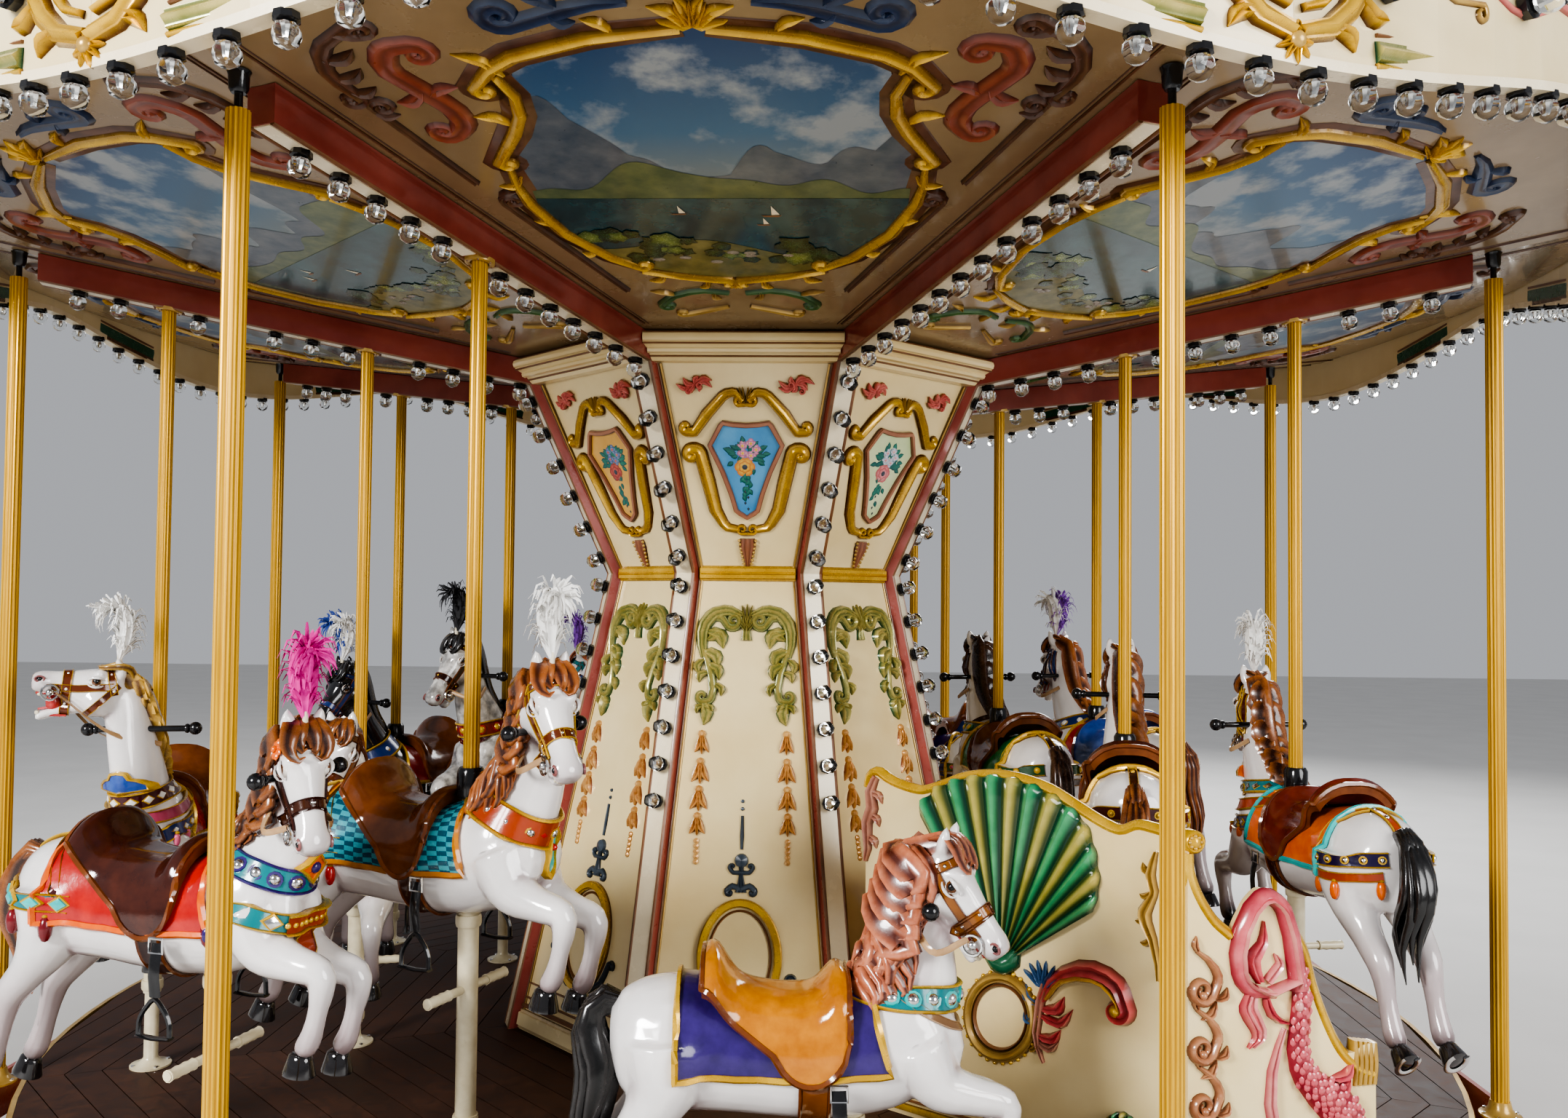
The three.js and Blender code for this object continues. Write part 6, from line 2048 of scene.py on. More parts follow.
def build_horse(key, node, body, spec, matrix, pole):
    """All pieces of one horse. pole gives the ends of the upper pole and the lower tube."""
    rng = np.random.default_rng(sum(ord(letter) * 7 for letter in key))
    near = spec.get("near", False)
    bearing = Bearing(spec["look"], spec.get("carriage", LEVEL_HEAD), spec.get("gape", 0.0))
    points, faces = skin_mesh(horse_form(bearing), HORSE_VOXEL, NEAR_TRIANGLES if near else FAR_TRIANGLES)
    skin = Skin(points, faces, 1.0 if near else 1.5)
    coat = {"black": HORSE_BLACK, "grey": HORSE_GREY}.get(spec.get("coat"), HORSE_COAT)

    def wear(part, shape, materials, sharp=50, replaces=(), share=1.0):
        piece(f"{key}_{part}", Shape().merge(shape, matrix), materials, body, replaces,
              sharp, share)

    form = Shape()
    form.add(points, faces, 0, coat_shade(points, faces, bearing))
    wear("body", form, [coat], 180, [node])
    add_face_and_hooves(wear, bearing, spec, near, coat)
    add_hair(wear, bearing, spec, near, rng)
    add_tack(wear, skin, bearing, spec, near, body)
    build_pole(key, body, bearing, matrix, pole)


def build_pole(key, body, bearing, matrix, pole):
    """Upper pole, lower tube with its collars, foot rest, flange and hand grips of one horse."""
    poles = Shape()
    low_end, top_end, tube_low = pole
    if top_end is not None:
        fluted_pole(poles, 0.30, top_end)
        lathe(poles, [(0.040, 0.360), (0.044, 0.372), (0.044, 0.440), (0.036, 0.455)], 18, 1)
    lathe(poles, [(0.0325, tube_low), (0.0325, 0.03)], 20, 2)
    for at in (-0.02, tube_low + 0.03):
        lathe(poles, [(0.038, at - 0.018), (0.040, at - 0.010), (0.040, at + 0.010), (0.038, at + 0.018)],
              20, 2)
    for side in (-1, 1):
        tube(poles, [(0, side * 0.030, -0.230), (0, side * 0.190, -0.230)], 0.0135, 10, 2)
        grip = [(0, side * (0.09 + 0.016 * k), -0.230) for k in range(7)]
        tube(poles, grip, [0.018, 0.0155] * 3 + [0.018], 10, 2)
    if low_end is not None:
        lathe(poles, [(GUIDE_FLANGE, low_end), (GUIDE_FLANGE, low_end + 0.007), (0.060, low_end + 0.010),
                      (0.045, low_end + 0.018), (0.036, low_end + 0.045)], 24, 2)
        screws(poles, 4, 0.066, [(0.008, 0.0), (0.008, 0.006)], 3,
               Matrix.Translation((0, 0, low_end + 0.007)), math.pi / 4)
    handle(poles, bearing.middle[0] + 0.010, GRIP_HEIGHT, 1)
    piece(f"{key}_pole_and_handle", Shape().merge(poles, matrix), [BRASS, BLACK, CREAM_TUBE, CHROME],
          body, sharp=50)


def build_horses():
    for number, spec in enumerate(JUMPERS, 1):
        angle = FIRST_SWEEP + spec["sweep"] * BAY
        x, y = polar(spec["radius"], angle)
        heading = math.degrees(angle) + 90 + spec["turn"]
        lift = LIFTS[number - 1]
        top = sweep_under(spec["radius"]) - DECK + POLE_OVER_SWEEP - spec["belly"]
        low = TUBE_CLEAR + CRANK + lift - spec["belly"]
        build_horse(f"jumper_{number}", f"jumper_horse_{number}", f"jumper_{number}", spec,
                    horse_matrix(x, y, spec["belly"], heading), (None, top, low))
    for number, spec in enumerate(STANDERS, 1):
        build_horse(f"stander_{number}", f"stander_horse_{number}", TURNING, spec,
                    horse_matrix(spec["x"], spec["y"], spec["belly"], spec["heading"]),
                    (-spec["belly"] + 0.001, None, -spec["belly"] + 0.04))


# Sweeps

BOARD_LOW_AT_SWEEP = DECK + 2.990
BOARD_LOW_MID = DECK + 3.175
BOARD_TOP_AT_SWEEP = DECK + 3.700
BOARD_TOP_MID = DECK + 3.580
EDGE_BULBS = 18
FACE_BULB = 1.35
DECK_THICK = 0.040
GUIDE_TOP = 0.488
GUIDE_TUBE = 0.0273


def scallop(share, at_sweep, at_mid):
    """Height of a rounding board's edge, at a share of the way from one sweep to the next."""
    return at_mid + (at_sweep - at_mid) * np.abs(np.cos(math.pi * np.asarray(share))) ** 1.6


def ring_plate(shape, inner, outer, height, tone, matrix=None, sides=28):
    """A flat ring with a rounded upper edge."""
    angle = full_turn(sides)
    rows = [level_ring(r, angle, z)
            for r, z in ((inner, -0.002), (inner, height), ((inner + outer) / 2, height * 1.25),
                         (outer - 0.003, height), (outer, -0.002))]
    made = Shape()
    made.grid(rows, wrap=True, loop=True, tone=tone)
    shape.merge(made, matrix)


def holes_on(index):
    """Radii at which poles pass a sweep."""
    return [spec["radius"] for spec in JUMPERS if spec["sweep"] == index]


def build_sweeps():
    strips, lamps = Shape(), Shape()
    slant = math.hypot(1, SWEEP_RISE)
    length = (SWEEP_FAR - SWEEP_NEAR) * slant
    for index in range(BAYS):
        dress(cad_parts[f"sweep_beam_{index + 1}"], SWEEP_RED)
        matrix = plane_matrix(FIRST_SWEEP + index * BAY, SWEEP_NEAR, sweep_under(SWEEP_NEAR),
                              SWEEP_FAR, sweep_under(SWEEP_FAR))
        holes = sorted((radius - SWEEP_NEAR) * slant for radius in holes_on(index))
        strip = Shape()
        stops = [0.004] + [h + s * 0.056 for h in holes for s in (-1, 1)] + [length - 0.004]
        for start, end in zip(stops[::2], stops[1::2]):
            relief(strip, [(0, start), (0, end)], 0.058, 0.005, BAND, 0)
        for side in (-1, 1):
            relief(strip, [(side * 0.038, 0.002), (side * 0.038, length - 0.002)], 0.018, 0.007,
                   ROUND, 1)
        for h in holes:
            ring_plate(strip, 0.0305, 0.050, 0.010, 2, Matrix.Translation((0, h, 0)))
            screws(strip, 6, 0.041, [(0, 0), (0.0042, 0), (0.003, 0.004), (0, 0.005)], 1,
                   Matrix.Translation((0, h, 0.010)))
        strips.merge(strip, matrix)
        count = int((length - 0.10) / BULB_PITCH) + 1
        for k in range(count):
            y = 0.06 + k * BULB_PITCH * 0.985
            if all(abs(y - h) > 0.072 for h in holes) and y < length - 0.05:
                place = matrix @ Vector((0, y, 0.004))
                bulb(lamps, place, matrix.to_3x3() @ Vector((0, 0, 1)))
    piece("sweep_undersides", strips, [WHITE, BROWN, OLD_GOLD], sharp=40)
    piece("sweep_bulbs", lamps, [GLASS, BLACK, CHROME])


# Ceiling

def sky_material():
    """Blue sky that pales to the horizon, with painted clouds."""
    made, nodes, links = material("painted_sky")
    shader = nodes["Principled BSDF"]
    place = nodes.new("ShaderNodeUVMap")
    place.uv_map = "flat"
    split = nodes.new("ShaderNodeSeparateXYZ")
    links.new(place.outputs["UV"], split.inputs["Vector"])
    tone = shaded(nodes, links, split.outputs["Y"],
                  [(0.15, (0.30, 0.30, 0.24)), (0.55, (0.07, 0.17, 0.28)), (1.0, (0.02, 0.065, 0.17))])
    cloud = noise(nodes, links, object_place(nodes), 5.0, 7.0, 0.58)
    cover = shaded(nodes, links, cloud, [(0.47, (0, 0, 0)), (0.62, (1, 1, 1))])
    links.new(blend(nodes, links, cover, tone, (0.32, 0.35, 0.37)), shader.inputs["Base Color"])
    shader.inputs["Roughness"].default_value = 0.3
    bump(nodes, links, cloud, 0.1, 0.001, shader)
    return made


def picture_edge(u):
    """Near and far limits of a ceiling picture at a place across the panel."""
    far = np.interp(np.abs(u), [0, 0.15, 0.33, 0.47, 0.50, 0.56], [2.94, 2.92, 2.86, 2.77, 2.60, 2.34])
    near = np.interp(np.abs(u), [0, 0.10, 0.20, 0.33, 0.42, 0.50, 0.56],
                     [1.54, 1.55, 1.58, 1.63, 1.73, 1.86, 2.06])
    return near, far


def up_slope(far):
    """Distance up the ceiling's slope for a distance from the axis."""
    return (np.asarray(far) - CEILING_NEAR) * CEILING_STRETCH


def on_ceiling(points):
    """Points set out in plan, moved into the plane of a ceiling panel."""
    points = np.asarray(points, float)
    return np.column_stack([points[:, 0], up_slope(points[:, 1])])


def ridge_line(u, level, rough, rng):
    """A hill line as a sum of a few waves."""
    line = np.full(len(u), float(level))
    for k in range(1, 7):
        line += rough / k * np.sin(k * 5.1 * u + rng.uniform(0, 6.3))
    return line


def add_trees(shape, rng, u, shore):
    """Round trees and bushes along the shore of one picture."""
    for k in range(46):
        side = rng.uniform(-0.53, 0.53)
        crowd = abs(side) > 0.2
        base = np.interp(side, u, shore) + rng.uniform(-0.12, 0.10 if crowd else 0.01)
        size = rng.uniform(0.025, 0.065 if crowd else 0.035)
        low, high = picture_edge(side)
        if base - size < low or base + size > high:
            continue
        angle = np.linspace(0, 2 * math.pi, 15)[:-1]
        wobble = 1 + 0.18 * np.sin(5 * angle + k) + 0.1 * np.sin(9 * angle)
        rim = on_ceiling(np.column_stack([side + size * wobble * np.cos(angle),
                                          base + 0.9 * size * wobble * np.sin(angle)]))
        level = 0.0058 + 0.00004 * k
        disc(shape, rim, level, (side, up_slope(base), level + 0.001), 5 if k % 3 else 6,
             np.append(np.full(14, 0.2), 1))


def add_boats(shape, rng, horizon):
    """Three small boats with white sails."""
    for _ in range(3):
        side = rng.uniform(-0.28, 0.28)
        y = up_slope(rng.uniform(horizon - 0.2, horizon - 0.06))
        size = rng.uniform(0.02, 0.032)
        hull = [(side + across * size, y + up * size, 0.0056)
                for across, up in ((-1, 0), (1, 0), (0.7, -0.35), (-0.7, -0.35))]
        sail = [(side + across * size, y + up * size, 0.0057)
                for across, up in ((0, 0.1), (0.8, 0.15), (0, 2.0))]
        shape.add(hull, [[0, 1, 2, 3]], 8)
        shape.add(sail, [[0, 1, 2]], 9)


def landscape(seed):
    """Painted view of a mountain lake in one ceiling panel. Tones: 0 sky, 1 far mountains,
    2 hills, 3 water, 4 meadow, 5 trees, 6 light leaves, 7 rocks, 8 boat hull, 9 sail."""
    rng = np.random.default_rng(seed)
    shape = Shape()
    u = np.linspace(-0.558, 0.558, 61)
    near, far = picture_edge(u)

    def layer(low, high, tone, level):
        low = np.clip(low, near, far)
        high = np.clip(high, near, far)
        rows = [np.column_stack([u, up_slope(row), np.full(len(u), level)])
                for row in (low, (low + high) / 2, high)]
        flat = [np.column_stack([u + 0.5, (row - 1.9) / 1.05]) for row in (low, (low + high) / 2, high)]
        shape.grid(rows, tone=tone, flat=np.concatenate(flat))

    horizon = rng.uniform(2.02, 2.14)
    layer(near, far, 0, 0.0020)
    peaks = ridge_line(u, horizon + 0.27, 0.13, rng) + 0.04 * np.abs(np.sin(23 * u + seed))
    layer(near, np.maximum(peaks, horizon + 0.05), 1, 0.0028)
    layer(near, ridge_line(u, horizon + 0.10, 0.06, rng), 2, 0.0036)
    layer(near, np.full(len(u), horizon), 3, 0.0044)
    slope = rng.choice([-1, 1])
    shore = 1.77 + 0.10 * slope * u + 0.05 * np.sin(9 * u + seed)
    layer(near, shore, 4, 0.0052)
    add_trees(shape, rng, u, shore)
    for _ in range(7):
        side, base = rng.uniform(-0.3, 0.3), rng.uniform(1.66, 1.74)
        ball(shape, (side, up_slope(base), 0.006), (0.022, 0.013, 0.003), 7, 9, 5)
    add_boats(shape, rng, horizon)
    return shape


def scroll_both(path, radius, turns, side):
    """A flat path that ends in a spiral at either end."""
    return curl(curl(path, radius, turns, side, 0.25, 14)[::-1], radius, turns, side, 0.25, 14)


def moulding_run(start, end):
    """A straight moulding beside a sweep that ends in a volute."""
    away = np.linspace(start, end, 6)
    line = np.column_stack([away * math.tan(HALF_BAY) - BEAM_HALF - 0.150, away])
    return curl(line, 0.034, 1.25, 1, 0.25, 16)


def ceiling_scrolls():
    """Right half of the scrolls round a ceiling picture: path, widths and tone of each."""
    return [
        (curl(curve([(0.03, 2.945), (0.15, 2.925), (0.28, 2.90), (0.40, 2.86), (0.50, 2.80),
                     (0.575, 2.715)], 22), 0.030, 0.9, -1, 0.25, 12),
         [0.030, 0.055, 0.055, 0.045, 0.018], 0),
        (curl(curve([(0.515, 2.755), (0.488, 2.68), (0.490, 2.59), (0.520, 2.50), (0.565, 2.43),
                     (0.610, 2.34)], 20), 0.028, 0.9, -1, 0.25, 12),
         [0.030, 0.050, 0.055, 0.018], 0),
        (curl(curve([(0.590, 2.30), (0.592, 2.16), (0.565, 2.00), (0.505, 1.85), (0.42, 1.72),
                     (0.32, 1.625)], 22), 0.030, 0.9, -1, 0.25, 12),
         [0.022, 0.055, 0.055, 0.045, 0.016], 0),
        (curl(curve([(0.31, 1.60), (0.20, 1.56), (0.10, 1.53), (0.03, 1.525)], 18), 0.022, 0.8, 1, 0.25, 12),
         [0.018, 0.045, 0.045, 0.016], 0),
        (curl(curve([(0.14, 3.04), (0.25, 3.025), (0.34, 2.98), (0.43, 2.95)], 18), 0.046, 1.3, 1, 0.25, 16),
         [0.024, 0.060, 0.085, 0.075, 0.060, 0.030], 1),
        (scroll_both(curve([(0.685, 2.88), (0.75, 2.86), (0.775, 2.78), (0.73, 2.69), (0.67, 2.61),
                            (0.655, 2.53), (0.69, 2.47)], 24), 0.036, 1.1, 1),
         [0.024, 0.060, 0.085, 0.095, 0.085, 0.060, 0.024], 2),
        (scroll_both(curve([(0.885, 2.66), (0.93, 2.76), (0.90, 2.87), (0.80, 2.96)], 16), 0.030, 1.1, 1),
         [0.020, 0.045, 0.060, 0.045, 0.020], 4),
        (moulding_run(1.42, 2.08), [0.026, 0.034, 0.034, 0.034, 0.024], 4),
        (moulding_run(2.20, 2.60), [0.026, 0.034, 0.034, 0.024], 4),
        (curl(curve([(0.03, 1.40), (0.12, 1.42), (0.22, 1.38), (0.28, 1.30)], 18), 0.026, 1.1, -1, 0.25, 12),
         [0.022, 0.048, 0.018], 3),
        (curl(curve([(0.04, 1.28), (0.12, 1.24), (0.20, 1.20)], 12), 0.022, 1.0, 1, 0.25, 12),
         [0.020, 0.040, 0.016], 5),
    ]


CEILING_LEAVES = (
    ((0.49, 2.75), (0.60, 2.84), 0.2, 0.040, 0), ((0.52, 2.52), (0.62, 2.56), 0.25, 0.040, 0),
    ((0.57, 2.24), (0.65, 2.18), -0.2, 0.036, 0), ((0.53, 1.92), (0.60, 1.96), 0.25, 0.036, 0),
    ((0.44, 1.74), (0.49, 1.73), -0.2, 0.034, 0), ((0.24, 1.58), (0.30, 1.50), -0.25, 0.034, 0),
    ((0.10, 1.53), (0.13, 1.44), -0.2, 0.030, 0), ((0.02, 2.96), (0.10, 3.02), 0.2, 0.044, 0),
    ((0.01, 2.97), (0.035, 3.06), 0.1, 0.040, 0), ((0.19, 2.93), (0.26, 2.975), 0.2, 0.034, 0),
    ((0.30, 3.02), (0.38, 3.05), 0.2, 0.045, 1), ((0.33, 2.99), (0.27, 2.965), 0.2, 0.040, 1),
    ((0.72, 2.68), (0.80, 2.63), -0.2, 0.055, 2), ((0.70, 2.66), (0.62, 2.70), -0.2, 0.045, 2),
    ((0.92, 2.74), (0.84, 2.78), 0.2, 0.050, 4), ((0.92, 2.82), (0.83, 2.86), 0.2, 0.050, 4),
    ((0.86, 2.92), (0.78, 2.90), -0.2, 0.045, 4), ((0.90, 2.68), (0.83, 2.70), 0.2, 0.040, 4),
    ((0.665, 2.12), (0.60, 2.15), -0.2, 0.030, 4), ((0.875, 2.60), (0.81, 2.57), 0.2, 0.036, 4),
    ((0.08, 1.42), (0.06, 1.34), 0.2, 0.024, 5), ((0.22, 1.38), (0.31, 1.41), 0.2, 0.022, 5),
)


def ceiling_frame():
    """Ornament round a ceiling picture. Tones: 0 gold, 1 dark blue, 2 red-brown, 3 green,
    4 brown line and painted shade round the gold scrolls, 5 old gold, 6 cream."""
    shape = Shape()
    scrolls = ceiling_scrolls()
    placed = [(*on_ceiling([base, tip]), *own) for base, tip, *own in CEILING_LEAVES]
    for flip in (np.asarray, mirrored):
        for path, widths, tone in scrolls:
            path = flip(on_ceiling(path))
            if tone == 0:
                relief(shape, path, widths, 0.022, REEDED, tone)
                # a wide flat band of the dark line's colour round each gold scroll: painted shade round the
                # raised scroll
                relief(shape, path, 0.055 + np.array(widths), 0.003, BAND, 4)
            else:
                relief(shape, path, widths, 0.012, LEAF, tone)
        leaves(shape, flip, placed, 0.016)
        for inset, width in ((0.030, 0.010), (0.046, 0.005)):
            line = [(level * math.tan(HALF_BAY) - BEAM_HALF - inset, level) for level in (1.10, 3.28)]
            relief(shape, flip(on_ceiling(line)), width, 0.004, ROUND, 4)
    for at, count, reach in (((0, 2.955), 7, 0.085), ((0, 1.50), 5, 0.055)):
        for k in range(count):
            turn = math.radians(90 + 26 * (k - (count - 1) / 2)) * (1 if at[1] > 2 else -1)
            leaf(shape, *on_ceiling([at, polar(reach, turn, *at)]), 0.0, 0.034, 0.022, 0)
    return shape


def build_ceiling():
    dress(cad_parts["ceiling"], CEILING_PAINT_AND_SHADE)
    tones = [
        sky_material(),
        paint("far_mountains", (0.06, 0.09, 0.13), (0.15, 0.17, 0.19), grain=12, rough=0.3),
        paint("painted_hills", (0.06, 0.10, 0.05), (0.16, 0.19, 0.08), grain=14, rough=0.3),
        paint("painted_water", (0.006, 0.035, 0.045), (0.03, 0.10, 0.11), grain=9, rough=0.2),
        paint("painted_meadow", (0.10, 0.10, 0.025), (0.24, 0.21, 0.07), grain=16, rough=0.35),
        paint("painted_trees", (0.012, 0.045, 0.012), (0.045, 0.11, 0.03), deep=(0.005, 0.018, 0.006),
              grain=60),
        paint("painted_light_leaves", (0.14, 0.20, 0.04), (0.26, 0.32, 0.08), deep=(0.04, 0.08, 0.02),
              grain=60),
        paint("painted_rocks", (0.20, 0.17, 0.14), (0.36, 0.32, 0.27), grain=40),
        BROWN,
        WHITE,
    ]
    blue, red_brown, green, dark_line_and_shade = (
        paint(name, dark, light, deep=deep, grain=12, rough=0.3) for name, dark, light, deep in (
            ("blue_scroll", (0.012, 0.028, 0.075), (0.035, 0.065, 0.14), (0.004, 0.008, 0.025)),
            ("red_brown_scroll", (0.22, 0.045, 0.025), (0.34, 0.09, 0.05), (0.07, 0.016, 0.010)),
            ("green_scroll", (0.05, 0.12, 0.04), (0.11, 0.21, 0.07), (0.015, 0.045, 0.015)),
            ("dark_ceiling_line_and_shade", (0.075, 0.028, 0.014), (0.17, 0.070, 0.034), (0.025, 0.010, 0.006)),
        ))
    border = ceiling_frame()
    far_z = CEILING_Z + CEILING_SLOPE * (CEILING_FAR - CEILING_NEAR)
    for bay in range(BAYS):
        matrix = plane_matrix(FIRST_SWEEP + HALF_BAY + bay * BAY, CEILING_NEAR, CEILING_Z, CEILING_FAR,
                              far_z)
        piece(f"ceiling_picture_{bay + 1}", Shape().merge(landscape(40 + bay), matrix), tones,
              sharp=30)
        piece(f"ceiling_ornament_{bay + 1}", Shape().merge(border, matrix),
              [GOLD, blue, red_brown, green, dark_line_and_shade, OLD_GOLD, CREAM_TRIM],
              sharp=50, share=0.80)


# Rounding boards

def bent(shape, radius, angle, z):
    """A flat panel wrapped round the carousel: x along the rim, y up, z outward."""
    made = Shape()
    points, crest, flat = shape.arrays()
    turn = angle + points[:, 0] / radius
    out = radius + points[:, 2]
    made.points = [np.column_stack([out * np.cos(turn), out * np.sin(turn), z + points[:, 1]])]
    made.crests, made.flats = [crest], [flat]
    made.faces, made.tones, made.count = shape.faces, shape.tones, shape.count
    return made


def board_edge(x, top=False):
    """Height of the board's edge over the deck's level at an arc length from the sweep."""
    share = np.asarray(x) / (BOARD_RADIUS * BAY)
    if top:
        return scallop(share, BOARD_TOP_AT_SWEEP, BOARD_TOP_MID)
    return scallop(share, BOARD_LOW_AT_SWEEP, BOARD_LOW_MID)


def board_rims(shape, side):
    """Mouldings and drops along both edges of a rounding board, on one side of its sweep."""
    span = BOARD_RADIUS * BAY
    x = np.linspace(side * 0.235, side * span / 2, 30)
    relief(shape, np.column_stack([x, board_edge(x) + 0.052]), 0.052, 0.026, REEDED, 1)
    relief(shape, np.column_stack([x, board_edge(x) + 0.020]), 0.016, 0.012, ROUND, 0)
    relief(shape, np.column_stack([x, board_edge(x) + 0.090]), 0.010, 0.008, ROUND, 4)
    x = np.linspace(0, side * span / 2, 34)
    relief(shape, np.column_stack([x, board_edge(x, True) - 0.022]), 0.040, 0.030, STEPPED, 0)
    relief(shape, np.column_stack([x, board_edge(x, True) - 0.058]), 0.014, 0.012, ROUND, 4)
    for k in range(15):
        at = side * (0.05 + 0.085 * k)
        if abs(at) > span / 2 - 0.03:
            continue
        ball(shape, (at, float(board_edge(at, True)) - 0.078, 0.002), (0.026, 0.017, 0.012), 1, 10, 6)


def cartouche_side(shape, flip):
    """Scrolls and leaves on one side of the mirror, and the lines that run out from it."""
    u_side = curl(curve([(0.01, 3.305), (0.09, 3.325), (0.165, 3.40), (0.195, 3.52),
                         (0.185, 3.66), (0.215, 3.78)], 34), 0.036, 1.1, -1)
    relief(shape, flip(u_side), [0.05, 0.062, 0.058, 0.050, 0.045, 0.016], [0.030, 0.036, 0.022],
           REEDED, 0)
    inner = curl(curve([(0.02, 3.36), (0.075, 3.38), (0.115, 3.44), (0.115, 3.52)], 20), 0.03, 1.1, 1)
    relief(shape, flip(inner), [0.020, 0.032, 0.030, 0.012], 0.022, ROUND, 0)
    leaves(shape, flip, (
        ((0.18, 3.42), (0.275, 3.38), -0.25, 0.050, 0), ((0.20, 3.50), (0.285, 3.50), -0.3, 0.044, 1),
        ((0.195, 3.60), (0.270, 3.63), -0.25, 0.040, 0), ((0.10, 3.33), (0.17, 3.29), 0.2, 0.044, 0),
        ((0.05, 3.80), (0.075, 3.88), -0.1, 0.040, 0), ((0.12, 3.70), (0.09, 3.80), 0.2, 0.040, 7),
    ), 0.024)
    for path, widths, tone in (
        (curl(curve([(0.30, 3.62), (0.42, 3.66), (0.56, 3.60), (0.68, 3.62)], 24), 0.040, 1.1, 1),
         [0.012, 0.026, 0.026, 0.010], 3),
        (curl(curve([(0.62, 3.55), (0.80, 3.52), (0.98, 3.60), (1.12, 3.60)], 26), 0.036, 1.1, 1),
         [0.010, 0.024, 0.024, 0.010], 3),
        (curl(curve([(1.30, 3.66), (1.18, 3.70), (1.05, 3.68)], 16), 0.030, 1.0, 1),
         [0.010, 0.022, 0.010], 1),
        (curl(curve([(0.40, 3.50), (0.50, 3.48), (0.60, 3.50)], 14), 0.026, 1.0, -1),
         [0.010, 0.020, 0.010], 7),
    ):
        relief(shape, flip(path), widths, 0.010, ROUND, tone)
    tips = [polar(0.07, math.radians(turn), 1.13, 3.60) for turn in (70, 30, -10)]
    leaves(shape, flip, [((1.13, 3.60), tip, 0.15, 0.026, 3) for tip in tips], 0.012)


def board_ornament():
    """Outer face of one rounding board and the cartouche at its sweep. Tones: 0 gold,
    1 green and gold, 2 white, 3 pink-red, 4 brown, 5 cream, 6 mirror, 7 old gold."""
    shape = Shape()
    for side, flip in ((-1, mirrored), (1, np.asarray)):
        board_rims(shape, side)
        cartouche_side(shape, flip)
    for k in range(9):
        turn = 2 * math.pi * k / 9
        leaf(shape, (0, 3.285), polar(0.050, turn, 0, 3.285), 0.0, 0.030, 0.020, 0)
    ball(shape, (0, 3.285, 0.012), (0.020, 0.020, 0.016), 7, 14, 8)
    for k in range(9):
        turn = math.radians(90 + 17 * (k - 4))
        tip = (0.105 * math.cos(turn), 3.70 + 0.15 * math.sin(turn))
        leaf(shape, (0, 3.70), tip, 0.0, 0.038, 0.030, k % 2)
    angle = full_turn(48)
    oval = np.column_stack([0.072 * np.cos(angle), 3.565 + 0.095 * np.sin(angle)])
    relief(shape, oval, 0.026, 0.024, STEPPED, 0, loop=True)
    mirror = np.column_stack([0.062 * np.cos(angle), 3.565 + 0.085 * np.sin(angle)])
    disc(shape, mirror, 0.004, (0, 3.565, 0.007), 6)
    return shape


def board_bulbs():
    """Bulbs under the lower edge of one rounding board, and five larger ones on its face."""
    lamps = Shape()
    middle = BOARD_RADIUS - BOARD_THICK / 2
    for k in range(EDGE_BULBS):
        share = (k + 0.5) / EDGE_BULBS
        angle = FIRST_SWEEP + share * BAY
        z = float(scallop(share, BOARD_LOW_AT_SWEEP, BOARD_LOW_MID))
        bulb(lamps, (*polar(middle, angle), z), (0, 0, -1))
    big = Shape()
    bulb(big, (0, 0, 0), (0, 0, 1))
    grown = Matrix.Diagonal((FACE_BULB, FACE_BULB, FACE_BULB, 1))
    radius = BOARD_RADIUS + 0.001
    for k in range(5):
        share = (k + 0.5) / 5
        angle = FIRST_SWEEP + share * BAY
        z = float(scallop(share, BOARD_LOW_AT_SWEEP, BOARD_LOW_MID)) + 0.20
        out = Vector((*polar(1, angle), 0)).to_track_quat("Z", "Y").to_matrix().to_4x4()
        lamps.merge(big, Matrix.Translation((*polar(radius, angle), z)) @ out @ grown)
    return lamps


def board_strip():
    """White strip along the lower edge of one rounding board, under its bulbs."""
    strip = Shape()
    share = np.linspace(0, 1, 40)
    angle = FIRST_SWEEP + share * BAY
    half = BOARD_THICK / 2 + 0.004
    rows = []
    for out, drop in ((half, 0.020), (half, -0.004), (-half, -0.004), (-half, 0.020)):
        radius = BOARD_RADIUS - BOARD_THICK / 2 + out
        z = scallop(share, BOARD_LOW_AT_SWEEP, BOARD_LOW_MID) + drop
        rows.append(level_ring(radius, angle, z))
    strip.grid(np.stack(rows, 1), wrap=True, caps=True)
    return strip


def build_boards():
    face_paint = paint("board_cream", (0.74, 0.60, 0.34), (0.84, 0.72, 0.46), rough=0.22, grain=2.5,
                       coat=0.5)
    pink_red = paint("pink_red_line", (0.50, 0.10, 0.09), (0.66, 0.22, 0.18), deep=(0.30, 0.05, 0.05),
                     rough=0.3, grain=12)
    for index in range(BAYS):
        dress(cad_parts[f"rounding_board_{index + 1}"], face_paint)
    one = bent(board_ornament(), BOARD_RADIUS, FIRST_SWEEP, 0.0)
    for bay in range(BAYS):
        piece(f"rounding_board_ornament_{bay + 1}",
              Shape().merge(one, Matrix.Rotation(bay * BAY, 4, "Z")),
              [GOLD, GREEN_GOLD, WHITE, pink_red, BROWN, CREAM_TRIM, CHROME, OLD_GOLD],
              sharp=50, share=0.71)
    piece("rounding_board_strips", around(board_strip()), [WHITE], sharp=30)
    piece("rounding_board_bulbs", around(board_bulbs()), [GLASS, BLACK, CHROME])


# Posts, platform, skirt, base and roof

